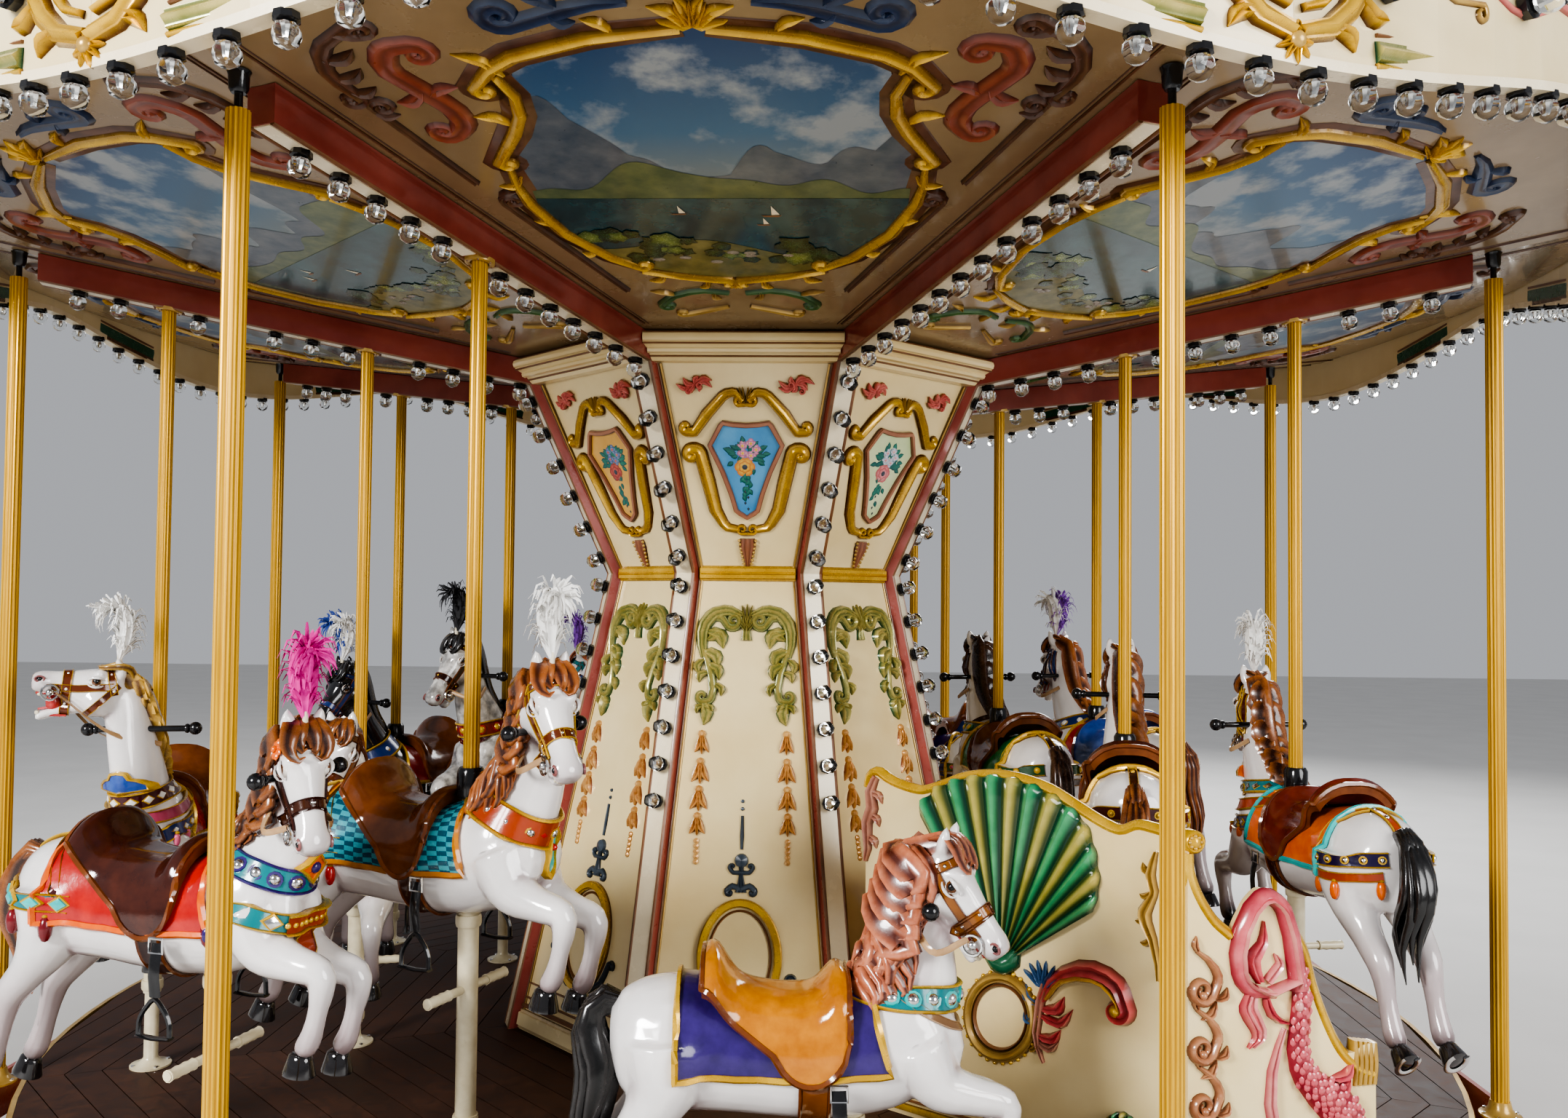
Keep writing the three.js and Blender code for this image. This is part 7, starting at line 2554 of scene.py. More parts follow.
def build_posts():
    for index in range(BAYS):
        angle = FIRST_SWEEP + index * BAY
        x, y = polar(POST_RADIUS, angle)
        node = f"outer_post_{index + 1}"
        low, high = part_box(node)
        shape = Shape()
        place = Matrix.Translation((x, y, 0))
        fluted_pole(shape, low.z + 0.03, SWEEP_Z, 0.0285, 14, 0, x, y, 0.055)
        lathe(shape, [(0, low.z), (0.070, low.z), (0.070, low.z + 0.007), (0.052, low.z + 0.012),
                      (0.040, low.z + 0.030), (0.034, low.z + 0.055), (0, low.z + 0.055)], 32, 1, place)
        screws(shape, 6, 0.060, [(0, 0), (0.0075, 0), (0.0075, 0.005), (0.004, 0.007), (0, 0.007)], 2,
               Matrix.Translation((x, y, low.z + 0.008)))
        lathe(shape, [(0, SWEEP_Z - 0.010), (0.0105, SWEEP_Z - 0.010), (0.0105, high.z), (0, high.z)],
              16, 3, place)
        lathe(shape, [(0, high.z - 0.055), (0.018, high.z - 0.055), (0.024, high.z - 0.045),
                      (0.026, high.z - 0.010), (0.030, high.z), (0, high.z)], 16, 3, place)
        piece(f"brass_post_{index + 1}", shape, [BRASS, OLD_GOLD, CHROME, BLACK],
              replaces=[node], sharp=50)


def slab(shape, outline, low, high, tone=0, crest=1.0):
    """An upright block over a convex outline."""
    outline = np.asarray(outline, float)
    count = len(outline)
    points = np.vstack([np.column_stack([outline, np.full(count, low)]),
                        np.column_stack([outline, np.full(count, high)])])
    faces = [list(range(count))[::-1], list(range(count, 2 * count))]
    faces += [[i, (i + 1) % count, count + (i + 1) % count, count + i] for i in range(count)]
    shape.add(points, faces, tone, crest)


PLANK_WIDTH = 0.118
PLANK_GAP = 0.004
PLANK_LOW = DECK - 0.026
PLANKS_FROM = 0.56
PLANKS_TO = DECK_EDGE - 0.012


def add_planks(boards):
    """Boards of the deck, cut to the eight bays, each with its own shade and a slightly uneven top."""
    tangent = math.tan(HALF_BAY)
    edge = PLANKS_TO
    for bay in range(BAYS):
        out = np.array(polar(1, FIRST_SWEEP + HALF_BAY + bay * BAY))
        across = np.array([-out[1], out[0]])
        near = PLANKS_FROM
        while near < edge - 0.02:
            far = min(near + PLANK_WIDTH, edge)
            half_near, half_far = (
                min(level * tangent, math.sqrt(max(0, edge ** 2 - level ** 2))) - PLANK_GAP / 2
                for level in (near, far))
            end = far - PLANK_GAP
            corners = [out * near - across * half_near, out * near + across * half_near,
                       out * end + across * max(half_far, 0.02), out * end - across * max(half_far, 0.02)]
            slab(boards, corners, PLANK_LOW, DECK - 0.0005 * draw.random(), 0, draw.uniform(0.55, 1.0))
            near = far


def deck_ring(boards, profile, tone):
    """A ring round the axis with a section given by radius and height."""
    boards.grid([level_ring(r, full_turn(96), z) for r, z in profile], wrap=True, loop=True, tone=tone)


def build_platform():
    boards = Shape()
    add_planks(boards)
    under = DECK - DECK_THICK
    inner, outer = PLANKS_FROM - 0.01, PLANKS_TO - 0.01
    deck_ring(boards, [(inner, under), (inner, PLANK_LOW + 0.001), (outer, PLANK_LOW + 0.001),
                       (outer, under)], 1)
    deck_ring(boards, [(DECK_EDGE - 0.022, under), (DECK_EDGE - 0.022, DECK + 0.001),
                       (DECK_EDGE - 0.004, DECK + 0.001), (DECK_EDGE, DECK - 0.006),
                       (DECK_EDGE, under + 0.004), (DECK_EDGE - 0.004, under)], 2)
    for spec in JUMPERS:
        angle = FIRST_SWEEP + spec["sweep"] * BAY
        place = Matrix.Translation((*polar(spec["radius"], angle), DECK))
        lathe(boards, [(0, 0), (0.075, 0), (0.075, 0.007), (0.060, 0.011), (0.044, 0.016),
                       (0.032, 0.026), (GUIDE_TUBE - 0.001, 0.034), (GUIDE_TUBE - 0.001, GUIDE_TOP),
                       (0, GUIDE_TOP)], 32, 3, place)
        screws(boards, 4, 0.064, [(0, 0), (0.008, 0), (0.008, 0.006), (0, 0.007)], 4,
               place @ Matrix.Translation((0, 0, 0.008)), math.pi / 4)
    dark = paint("dark_underlay", (0.02, 0.012, 0.008), (0.04, 0.025, 0.018), rough=0.7, grain=8, coat=0)
    piece("deck_boards", boards, [DECK_WOOD, dark, OLD_GOLD, CREAM_TUBE, CHROME],
          replaces=["platform_deck"], sharp=40)


def skirt_panel(span, tall):
    """Gold lines, field and scrolls of one panel of the skirt. Tones: 0 gold, 1 cream."""
    panel = Shape()
    relief(panel, [(-span / 2, tall - 0.014), (span / 2, tall - 0.014)], 0.022, 0.008, ROUND, 0)
    relief(panel, [(-span / 2, 0.012), (span / 2, 0.012)], 0.018, 0.008, ROUND, 0)
    inset = 0.055
    corners = [(-span / 2 + inset, 0.034), (span / 2 - inset, 0.034), (span / 2 - inset, tall - 0.036),
               (-span / 2 + inset, tall - 0.036)]
    box_line = np.vstack([np.linspace(corners[i], corners[(i + 1) % 4], 12, endpoint=False)
                          for i in range(4)])
    relief(panel, box_line, 0.010, 0.006, ROUND, 0, loop=True)
    across = np.linspace(-span / 2 + inset + 0.006, span / 2 - inset - 0.006, 24)
    panel.grid([np.column_stack([across, np.full(24, v), np.full(24, 0.0015)])
                for v in (0.040, tall - 0.042)], tone=1)
    for side in (-1, 1):
        flip = np.asarray if side > 0 else mirrored
        path = curl(curve([(0.04, 0.5 * tall), (0.14, 0.5 * tall + 0.022), (0.26, 0.5 * tall - 0.018),
                           (0.36, 0.5 * tall)], 22), 0.020, 1.0, 1)
        relief(panel, flip(path), [0.010, 0.020, 0.018, 0.008], 0.008, ROUND, 0)
        leaves(panel, flip, (((0.14, 0.52 * tall), (0.19, 0.72 * tall), 0.2, 0.020, 0),
                             ((0.26, 0.42 * tall), (0.31, 0.24 * tall), 0.2, 0.020, 0)), 0.010)
        ball(panel, (side * span / 2, 0.5 * tall, 0.0), (0.018, 0.018, 0.010), 0, 12, 6)
    for k in range(8):
        turn = 2 * math.pi * k / 8
        leaf(panel, (0, 0.5 * tall), polar(0.034, turn, 0, 0.5 * tall), 0.0, 0.022, 0.012, 0)
    return panel


def build_skirt():
    dress(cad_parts["platform_skirt"], RED)
    low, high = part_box("platform_skirt")
    panel = skirt_panel(high.x * BAY / 2, high.z - low.z)
    one = bent(panel, high.x, FIRST_SWEEP + BAY / 4, low.z)
    piece("skirt_panels", around(one, 2 * BAYS, BAY / 2), [GOLD, CREAM], sharp=50,
          share=0.65)


def build_base():
    dress(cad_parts["base_frame"], STEEL)


ROOF_LIFT = 0.016
CROWN_RADIUS = 0.060
CANVAS_FIELDS = 24


def roof_cover():
    """Seams of the canvas with red fields between every other pair. Tones: 0 seam, 1 red."""
    low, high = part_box("roof_canopy")
    edge = high.x - 0.012
    foot = low.z + ROOF_LIFT
    rise = high.z - foot

    def roof_z(radius):
        return foot + rise * (1 - (radius - CROWN_RADIUS) / (high.x - CROWN_RADIUS))

    cover = Shape()
    half = math.pi / CANVAS_FIELDS
    for k in range(CANVAS_FIELDS):
        turn = 2 * math.pi * k / CANVAS_FIELDS
        line = [(*polar(radius, turn), roof_z(radius) + 0.003) for radius in np.linspace(0.075, edge, 14)]
        tube(cover, line, 0.009, 6, 0, flatten=0.6)
        if k % 2:
            continue
        fan = turn + half + np.linspace(-half, half, 7) * 0.92
        cover.grid([level_ring(radius, fan, roof_z(radius) + 0.0022)
                    for radius in np.linspace(0.10, edge - 0.01, 8)], tone=1)
    return cover


def build_roof():
    dress(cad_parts["roof_canopy"], CANVAS)
    canvas_red = paint("canvas_red", (0.36, 0.05, 0.04), (0.48, 0.09, 0.07), rough=0.8, grain=3, coat=0.0,
                       relief_bump=0.5, bump_scale=220)
    piece("roof_seams", roof_cover(), [BROWN, canvas_red], sharp=30)
    low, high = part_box("roof_finial")
    tall = high.z - low.z
    profile = [(0.0, 0.0), (0.058, 0.0), (0.058, 0.028), (0.046, 0.036), (0.030, 0.046), (0.024, 0.060),
               (0.036, 0.080), (0.060, 0.105), (0.074, 0.135), (0.070, 0.165), (0.050, 0.195),
               (0.030, 0.210), (0.034, 0.220), (0.022, 0.232), (0.014, 0.262), (0.005, tall - 0.004),
               (0.0, tall)]
    finial = Shape()
    lathe(finial, profile, 36, 0, Matrix.Translation((0, 0, low.z)), flutes=12, depth=0.03)
    piece("turned_finial", finial, [GOLD], replaces=["roof_finial"], sharp=50)


# Chariot. Panels stand on the deck along lines in plan; ornament is set out in a panel's own
# plane, with x along the line, y up from the deck and z out of the face.

CHARIOT_IN = np.array([0.490, -1.140])
CHARIOT_OUT = np.array([1.420, -1.830])
CHARIOT_RUN = CHARIOT_OUT - CHARIOT_IN
CHARIOT_HEADING = math.atan2(CHARIOT_RUN[1], CHARIOT_RUN[0])
CHARIOT_LENGTH = float(np.linalg.norm(CHARIOT_RUN))
SIDE_HEADING = math.radians(15)
SIDE_LENGTH = 0.680
INNER_HEADING = math.radians(45)
INNER_LENGTH = 0.600
PANEL_THICK = 0.040


def panel_plane(start, heading, outward=True):
    """The plane of a chariot panel's face: outward, or the face towards the seat."""
    along_line = Vector((math.cos(heading), math.sin(heading), 0))
    normal = Vector((math.sin(heading), -math.cos(heading), 0)) * (1 if outward else -1)
    x = along_line * (1 if outward else -1)
    origin = Vector((*start, DECK)) + normal * (PANEL_THICK / 2)
    return axes_matrix(x, (0, 0, 1), normal, origin)


def panel_body(shape, top, tone=0, low=0.001, thick=PANEL_THICK):
    """A panel below a curved top edge; z = 0 is its outer face."""
    top = np.asarray(top, float)
    foot = np.column_stack([top[:, 0], np.full(len(top), low)])
    front, back = [
        np.stack([np.column_stack([line, np.full(len(top), level)])
                  for line in (foot, (foot + top) / 2, top)])
        for level in (0.0, -thick)
    ]
    shape.grid(front, tone=tone)
    shape.grid(back[::-1], tone=tone)
    rim = np.vstack([front[0], front[1][-1:], front[2][::-1], front[1][:1]])
    rear = np.vstack([back[0], back[1][-1:], back[2][::-1], back[1][:1]])
    shape.grid(np.stack([rear, rim]), wrap=True, tone=tone)


def edge_moulding(shape, path, width, tone, thick=PANEL_THICK, proud=0.007):
    """A rounded moulding that straddles a panel's top edge."""
    path = np.asarray(path, float)
    line = np.column_stack([path, np.full(len(path), -thick / 2)])
    section = []
    for angle in full_turn(20):
        section.append((math.cos(angle), math.sin(angle) * (1 + 0.10 * math.cos(4 * angle))))
    tube(shape, line, width / 2, tone=tone, flatten=(thick / 2 + proud) / (width / 2), up=(0, 0, 1),
         section=np.array(section))


def fan_shell(shape, tip, rim, ribs, height, tone_ridge, tone_groove):
    """A scallop shell: ribs that spread from its tip to a rounded rim. The crest value is high
    on the ridges and low in the grooves, at the rim and towards the tip, so the shell paints' deep tone lies
    as painted shade in the grooves and at the rim and darkens the shell towards its tip; alternate ribs
    change tone."""
    tip = np.asarray(tip, float)
    fine = curve(rim, ribs * 6 + 1)
    turn = np.linspace(0, ribs * 2 * math.pi, len(fine))
    wave = 0.5 - 0.5 * np.cos(turn)
    lobes = 1 + 0.018 * wave
    shares = np.array([0.02, 0.10, 0.22, 0.36, 0.5, 0.64, 0.78, 0.9, 0.97, 1.0, 1.0])
    rows, crest = [], []
    for k, share in enumerate(shares):
        spread = share * (lobes if share > 0.5 else np.ones(len(fine)))
        out = tip + (fine - tip) * spread[:, None]
        dome = height * (0.35 + 0.65 * math.sin(min(1.0, share * 1.25) * math.pi / 2))
        drop = {len(shares) - 2: 0.72, len(shares) - 1: 0.0}.get(k, 1.0)
        ridge = (0.008 + 0.018 * share) * wave * drop
        rows.append(np.column_stack([out, dome * drop + ridge - (0.003 if drop == 0 else 0)]))
        # crest: painted shade in the grooves and at the rim, and darker towards the tip
        crest.append(wave * (drop > 0) * min(1.0, 0.15 + 1.5 * share))
    rows = np.array(rows)
    many = len(fine)
    made = Shape()
    index = np.arange(rows.shape[0] * many).reshape(rows.shape[0], many)
    for i in range(rows.shape[0] - 1):
        for j in range(many - 1):
            made.faces.append([int(index[i, j]), int(index[i + 1, j]), int(index[i + 1, j + 1]),
                               int(index[i, j + 1])])
            made.tones.append(tone_ridge if (j // 6) % 2 == 0 else tone_groove)
    made.points = [rows.reshape(-1, 3)]
    made.crests = [np.concatenate(crest)]
    made.flats = [np.zeros((many * rows.shape[0], 2))]
    made.count = many * rows.shape[0]
    shape.merge(made)


def foot_lines(shape, length, lines):
    """Straight mouldings along a panel's foot, each with its height, width and tone."""
    for level, width, tone in lines:
        relief(shape, [(0.02, level), (length - 0.02, level)], width, 0.010, ROUND, tone)


BACK_TOP = [(0.0, 1.150), (0.010, 1.190), (0.045, 1.207), (0.090, 1.185), (0.150, 1.167), (0.229, 1.157),
            (0.280, 1.170), (0.326, 1.188), (0.410, 1.222), (0.512, 1.240), (0.614, 1.238), (0.725, 1.214),
            (0.821, 1.170), (0.892, 1.135), (0.950, 1.112), (0.990, 1.108), (1.039, 1.130), (1.090, 1.126),
            (1.155, 1.115)]


def great_shell(shape):
    """The large fan shell of the chariot's back, on its dark foot."""
    rim = [(0.243, 1.090), (0.270, 1.135), (0.326, 1.182), (0.407, 1.216), (0.512, 1.237),
           (0.614, 1.236), (0.725, 1.208), (0.821, 1.160), (0.880, 1.090), (0.909, 0.983),
           (0.911, 0.908), (0.892, 0.836)]
    fan_shell(shape, (0.566, 0.605), rim, 13, 0.030, 1, 2)
    foot = curve([(0.512, 0.655), (0.535, 0.622), (0.568, 0.610), (0.602, 0.628), (0.622, 0.668)], 13)
    relief(shape, foot, [0.030, 0.070, 0.078, 0.070, 0.030], [0.026, 0.044, 0.026], ROUND, 9)


def oval_frame(shape):
    """A tilted oval frame with a row of beads round it."""
    angle = full_turn(60)
    tilt = math.radians(28)
    oval = np.column_stack([0.118 * np.cos(angle), 0.140 * np.sin(angle)])
    oval = oval @ np.array([[math.cos(tilt), -math.sin(tilt)], [math.sin(tilt), math.cos(tilt)]])
    middle = np.array([0.560, 0.430])
    relief(shape, middle + oval, 0.042, 0.026, REEDED, 5, loop=True)
    relief(shape, middle + oval * 0.80, 0.010, 0.016, ROUND, 8, loop=True)
    for k in range(28):
        at = middle + oval[(k * 60) // 28] * 1.15
        ball(shape, (*at, 0.004), (0.008, 0.008, 0.008), 0, 8, 5)


def back_scroll(shape):
    """The red arch beside the oval, with its blue fan, stem and leaves."""
    arch = curl(curve([(0.715, 0.520), (0.752, 0.585), (0.823, 0.635), (0.900, 0.650), (0.975, 0.625),
                       (1.012, 0.560)], 34), 0.036, 0.95, -1, 0.3)
    relief(shape, arch, [0.030, 0.055, 0.070, 0.066, 0.056, 0.040, 0.018], [0.018, 0.034, 0.034, 0.026],
           LEAF, 3)
    inner = curve([(0.735, 0.530), (0.780, 0.590), (0.850, 0.620), (0.925, 0.620), (0.975, 0.580),
                   (0.990, 0.545)], 30)
    relief(shape, inner, [0.014, 0.022, 0.022, 0.016, 0.010], [0.030, 0.046, 0.044, 0.034], ROUND, 0)
    ball(shape, (0.976, 0.540, 0.012), (0.022, 0.022, 0.026), 0, 14, 8)
    for k in range(6):
        turn = math.radians(150 - 22 * k)
        leaf(shape, (0.722, 0.560), polar(0.085, turn, 0.720, 0.565), 0.0, 0.034, 0.022, 4)
    stem = curve([(0.725, 0.575), (0.705, 0.500), (0.695, 0.430), (0.702, 0.360), (0.722, 0.315)], 22)
    relief(shape, stem, [0.030, 0.040, 0.036, 0.026, 0.008], [0.018, 0.024, 0.014], LEAF, 6)
    for base, tip, bend, width, tone in (
        ((0.710, 0.490), (0.795, 0.545), -0.25, 0.048, 3), ((0.705, 0.470), (0.825, 0.510), -0.30, 0.040, 3),
        ((0.700, 0.400), (0.782, 0.435), -0.25, 0.044, 3), ((0.700, 0.380), (0.775, 0.395), -0.30, 0.034, 6),
        ((0.700, 0.500), (0.655, 0.560), 0.25, 0.040, 4), ((0.695, 0.440), (0.650, 0.470), 0.25, 0.034, 4),
        ((0.700, 0.370), (0.665, 0.350), 0.2, 0.028, 5),
    ):
        leaf(shape, base, tip, bend, width, 0.022, tone)


def back_borders(shape):
    """Leafy borders down both ends of the chariot's back."""
    side_leaf = curve([(0.045, 1.190), (0.020, 1.140), (0.030, 1.080), (0.008, 1.020), (0.015, 0.950),
                       (0.004, 0.880)], 28)
    relief(shape, side_leaf, [0.034, 0.050, 0.060, 0.048, 0.040, 0.014], [0.018, 0.026, 0.018], LEAF, 6)
    for base, tip, bend in (((0.022, 1.13), (0.075, 1.095), 0.25), ((0.020, 1.05), (0.062, 1.01), 0.25),
                            ((0.012, 0.97), (0.05, 0.93), 0.25)):
        leaf(shape, base, tip, bend, 0.034, 0.020, 6)
    bracket = curve([(1.105, 1.060), (1.085, 0.985), (1.098, 0.930), (1.066, 0.860), (1.092, 0.790),
                     (1.108, 0.730), (1.112, 0.660)], 34)
    relief(shape, bracket, [0.016, 0.040, 0.030, 0.052, 0.034, 0.024, 0.010], [0.016, 0.028, 0.016],
           LEAF, 5)
    for base, tip, bend in (((1.090, 0.985), (1.060, 1.020), 0.2), ((1.085, 0.930), (1.050, 0.920), 0.3),
                            ((1.070, 0.850), (1.036, 0.835), 0.2), ((1.085, 0.790), (1.052, 0.770), 0.3)):
        leaf(shape, base, tip, bend, 0.026, 0.018, 5)


def back_ornament():
    """Carving on the outward face of the chariot's back. Tones: 0 gold, 1 shell green,
    2 shell gold, 3 red, 4 blue, 5 old gold, 6 pink-brown, 7 green, 8 brown, 9 dark green."""
    shape = Shape()
    edge_moulding(shape, curve(BACK_TOP, 70), 0.040, 0)
    great_shell(shape)
    oval_frame(shape)
    back_scroll(shape)
    back_borders(shape)
    fan_shell(shape, (0.985, 0.075), [(0.930, 0.165), (0.955, 0.205), (0.998, 0.225), (1.040, 0.205),
                                      (1.065, 0.160)], 7, 0.016, 1, 2)
    foot_lines(shape, CHARIOT_LENGTH, ((0.030, 0.030, 0), (0.058, 0.008, 8)))
    return shape


SIDE_TOP = [(0.0, 1.120), (0.006, 1.060), (0.012, 1.000), (0.036, 0.929), (0.088, 0.849), (0.150, 0.800),
            (0.185, 0.850), (0.220, 0.905), (0.271, 0.938), (0.325, 0.900), (0.362, 0.840), (0.405, 0.750),
            (0.445, 0.620), (0.493, 0.501), (0.540, 0.415), (0.590, 0.405), (0.625, 0.425), (0.672, 0.430)]


def side_edges(shape):
    """Mouldings, disc and ribs along the upper edge of the chariot's side."""
    upper = curve([(0.006, 1.060), (0.010, 1.000), (0.036, 0.929), (0.088, 0.849), (0.150, 0.795)], 30)
    edge_moulding(shape, upper, 0.046, 0)
    lower = curve([(0.375, 0.800), (0.415, 0.727), (0.445, 0.620), (0.493, 0.501), (0.545, 0.410),
                   (0.610, 0.350), (0.665, 0.330)], 34)
    edge_moulding(shape, lower, 0.046, 0)
    disc = Matrix.Translation((0.022, 1.095, -PANEL_THICK))
    lathe(shape, [(0, -0.008), (0.034, -0.008), (0.036, 0.0), (0.036, PANEL_THICK + 0.006),
                  (0.030, PANEL_THICK + 0.012), (0.022, PANEL_THICK + 0.006),
                  (0.012, PANEL_THICK + 0.016), (0, PANEL_THICK + 0.018)], 28, 0, disc)
    for k in range(8):
        turn = k * math.pi / 4
        ball(shape, (*polar(0.019, turn, 0.022, 1.095), 0.008), (0.007, 0.007, 0.006), 4, 8, 5)
    for k in range(5):
        x = 0.600 + 0.018 * k
        path = curve([(x - 0.006, 0.300), (x, 0.370), (x + 0.002, 0.440 - 0.003 * k)], 8)
        line = np.column_stack([path, np.full(8, -PANEL_THICK / 2)])
        tube(shape, line, along([0.012, 0.013, 0.009], 8), 12, 4,
             flatten=(PANEL_THICK / 2 + 0.012) / 0.013, up=(0, 0, 1))


def copper_chain(shape):
    """A chain of three copper spirals with leaves."""
    for start, level in ((0.024, 0.700), (0.024, 0.520), (0.030, 0.345)):
        arm = curl(curve([(start + 0.004, level + 0.058), (start + 0.052, level + 0.022),
                          (start + 0.078, level - 0.028), (start + 0.058, level - 0.080)], 20),
                   0.042, 1.6, -1, 0.12, 36)
        relief(shape, arm, [0.014, 0.030, 0.034, 0.030, 0.024, 0.018, 0.010], [0.016, 0.028, 0.024, 0.014],
               ROUND, 1)
        ball(shape, (start + 0.022, level - 0.078, 0.012), (0.013, 0.013, 0.014), 1, 12, 7)
        leaf(shape, (start + 0.066, level - 0.096), (start + 0.112, level - 0.060), -0.25, 0.030, 0.020, 1)
        leaf(shape, (start + 0.070, level - 0.100), (start + 0.020, level - 0.155), 0.2, 0.030, 0.020, 1)
        leaf(shape, (start + 0.014, level + 0.050), (start + 0.004, level + 0.105), 0.2, 0.024, 0.018, 1)


def creature_head(shape):
    """Head of the sea creature: a ring round two flames, snout and eye."""
    ring = curve([(0.300, 0.610), (0.235, 0.618), (0.185, 0.660), (0.170, 0.740), (0.190, 0.830),
                  (0.230, 0.895), (0.275, 0.918), (0.325, 0.885), (0.355, 0.810), (0.372, 0.720),
                  (0.388, 0.620)], 54)
    relief(shape, ring, [0.030, 0.052, 0.060, 0.058, 0.052, 0.058, 0.062, 0.066], [0.024, 0.036, 0.034],
           ROUND, 2)
    relief(shape, ring * 0.92 + np.array([0.275, 0.75]) * 0.08, 0.016, 0.044, ROUND, 3)
    flame = curve([(0.250, 0.650), (0.225, 0.720), (0.258, 0.770), (0.262, 0.840)], 16)
    relief(shape, flame, [0.030, 0.060, 0.040, 0.006], [0.018, 0.026, 0.012], LEAF, 2)
    flame = curve([(0.275, 0.650), (0.318, 0.700), (0.300, 0.735)], 10)
    relief(shape, flame, [0.036, 0.040, 0.006], 0.020, LEAF, 3)
    snout = curve([(0.225, 0.640), (0.275, 0.618), (0.330, 0.640), (0.378, 0.650)], 16)
    relief(shape, snout, [0.016, 0.030, 0.034, 0.020], 0.046, ROUND, 3)
    ball(shape, (0.372, 0.575, 0.030), (0.014, 0.018, 0.012), 3, 12, 7)


def creature_fin(shape):
    """A fin that curls away in front of the creature's neck."""
    for shift, tone in ((0.0, 2), (0.018, 3)):
        fin = curve([(0.215 + shift, 0.622), (0.200 + shift, 0.570), (0.228 + shift, 0.520),
                     (0.236 + shift, 0.480), (0.205 + shift, 0.448)], 18)
        relief(shape, fin, [0.020, 0.052, 0.050, 0.034, 0.006], [0.016, 0.026, 0.014], LEAF, tone)
    barb = curve([(0.268, 0.600), (0.282, 0.560), (0.310, 0.530), (0.345, 0.520)], 12)
    relief(shape, barb, [0.020, 0.036, 0.030, 0.008], 0.024, LEAF, 2)


def creature_body(shape):
    """Neck and body of the sea creature, covered with scales, and the fins on its back."""
    neck = curve([(0.390, 0.690), (0.398, 0.600), (0.386, 0.520), (0.380, 0.440), (0.402, 0.360),
                  (0.455, 0.300), (0.520, 0.250), (0.560, 0.150), (0.520, 0.050)], 60)
    breadths = [0.044, 0.062, 0.066, 0.072, 0.090, 0.120, 0.150, 0.150, 0.130]
    depths = [0.026, 0.036, 0.044, 0.044]
    relief(shape, neck, breadths, depths, ROUND, 6)
    pitch = 0.025
    rows = 42
    for k in range(1, rows):
        share = k / rows
        step = int(share * 59)
        ahead = unit(neck[min(59, step + 1)] - neck[max(0, step - 1)])
        out = np.array([-ahead[1], ahead[0]])
        half = np.interp(share, np.linspace(0, 1, len(breadths)), breadths) / 2
        thick = np.interp(share, np.linspace(0, 1, 4), depths)
        for column in range(-3, 4):
            aside = (column + 0.5 * (k % 2)) * pitch
            if abs(aside) > 0.86 * half:
                continue
            rise = thick * np.interp(abs(aside) / half, [0, 0.72, 1], [1.0, 0.7, 0.0])
            ball(shape, (*(neck[step] + out * aside), rise - 0.001), (0.0130, 0.0140, 0.0036), 2, 7, 4)
    back = curve([(0.335, 0.500), (0.300, 0.400), (0.285, 0.300), (0.300, 0.180), (0.345, 0.060)], 24)
    relief(shape, back, [0.014, 0.036, 0.044, 0.050, 0.040], [0.014, 0.022, 0.020], LEAF, 3)
    for k in range(6):
        base = np.array([0.500 - 0.010 * k, 0.330 - 0.045 * k])
        leaf(shape, base, base + (0.085, 0.045), -0.2, 0.040, 0.026, 2)


def side_ornament():
    """Carving on the outward face of the chariot's side. Tones: 0 gold, 1 copper, 2 pink,
    3 light pink, 4 old gold, 5 brown, 6 gaps between the scales."""
    shape = Shape()
    side_edges(shape)
    copper_chain(shape)
    creature_head(shape)
    creature_fin(shape)
    creature_body(shape)
    foot_lines(shape, SIDE_LENGTH, ((0.028, 0.028, 0), (0.055, 0.008, 5)))
    return shape


INNER_TOP = [(0.0, 1.115), (0.030, 1.060), (0.080, 0.960), (0.140, 0.880), (0.200, 0.850), (0.280, 0.838),
             (0.360, 0.800), (0.430, 0.700), (0.500, 0.560), (0.560, 0.460), (0.595, 0.440)]


def inner_ornament():
    """Carving on the chariot's side by the column. Tones as on the outer side."""
    shape = Shape()
    edge_moulding(shape, curve(INNER_TOP, 46), 0.040, 0)
    for k in range(3):
        level = 0.72 - 0.19 * k
        arm = curl(curve([(0.10, level + 0.06), (0.16, level + 0.03), (0.19, level - 0.03),
                          (0.17, level - 0.08)], 20), 0.036, 1.35, -1, 0.12, 34)
        relief(shape, arm, [0.012, 0.028, 0.030, 0.020, 0.010], [0.016, 0.024, 0.014], ROUND, 1)
        leaf(shape, (0.178, level - 0.09), (0.23, level - 0.055), -0.25, 0.032, 0.020, 1)
        leaf(shape, (0.18, level - 0.10), (0.13, level - 0.155), 0.2, 0.030, 0.020, 1)
    bow = curl(curve([(0.26, 0.30), (0.34, 0.42), (0.42, 0.40), (0.48, 0.28)], 24), 0.05, 1.0, -1)
    relief(shape, bow, [0.02, 0.045, 0.05, 0.04, 0.014], [0.014, 0.026, 0.014], LEAF, 2)
    leaf(shape, (0.34, 0.42), (0.30, 0.54), -0.25, 0.05, 0.022, 2)
    leaf(shape, (0.42, 0.40), (0.45, 0.50), -0.2, 0.04, 0.020, 3)
    foot_lines(shape, INNER_LENGTH, ((0.028, 0.028, 0), (0.055, 0.008, 5)))
    return shape


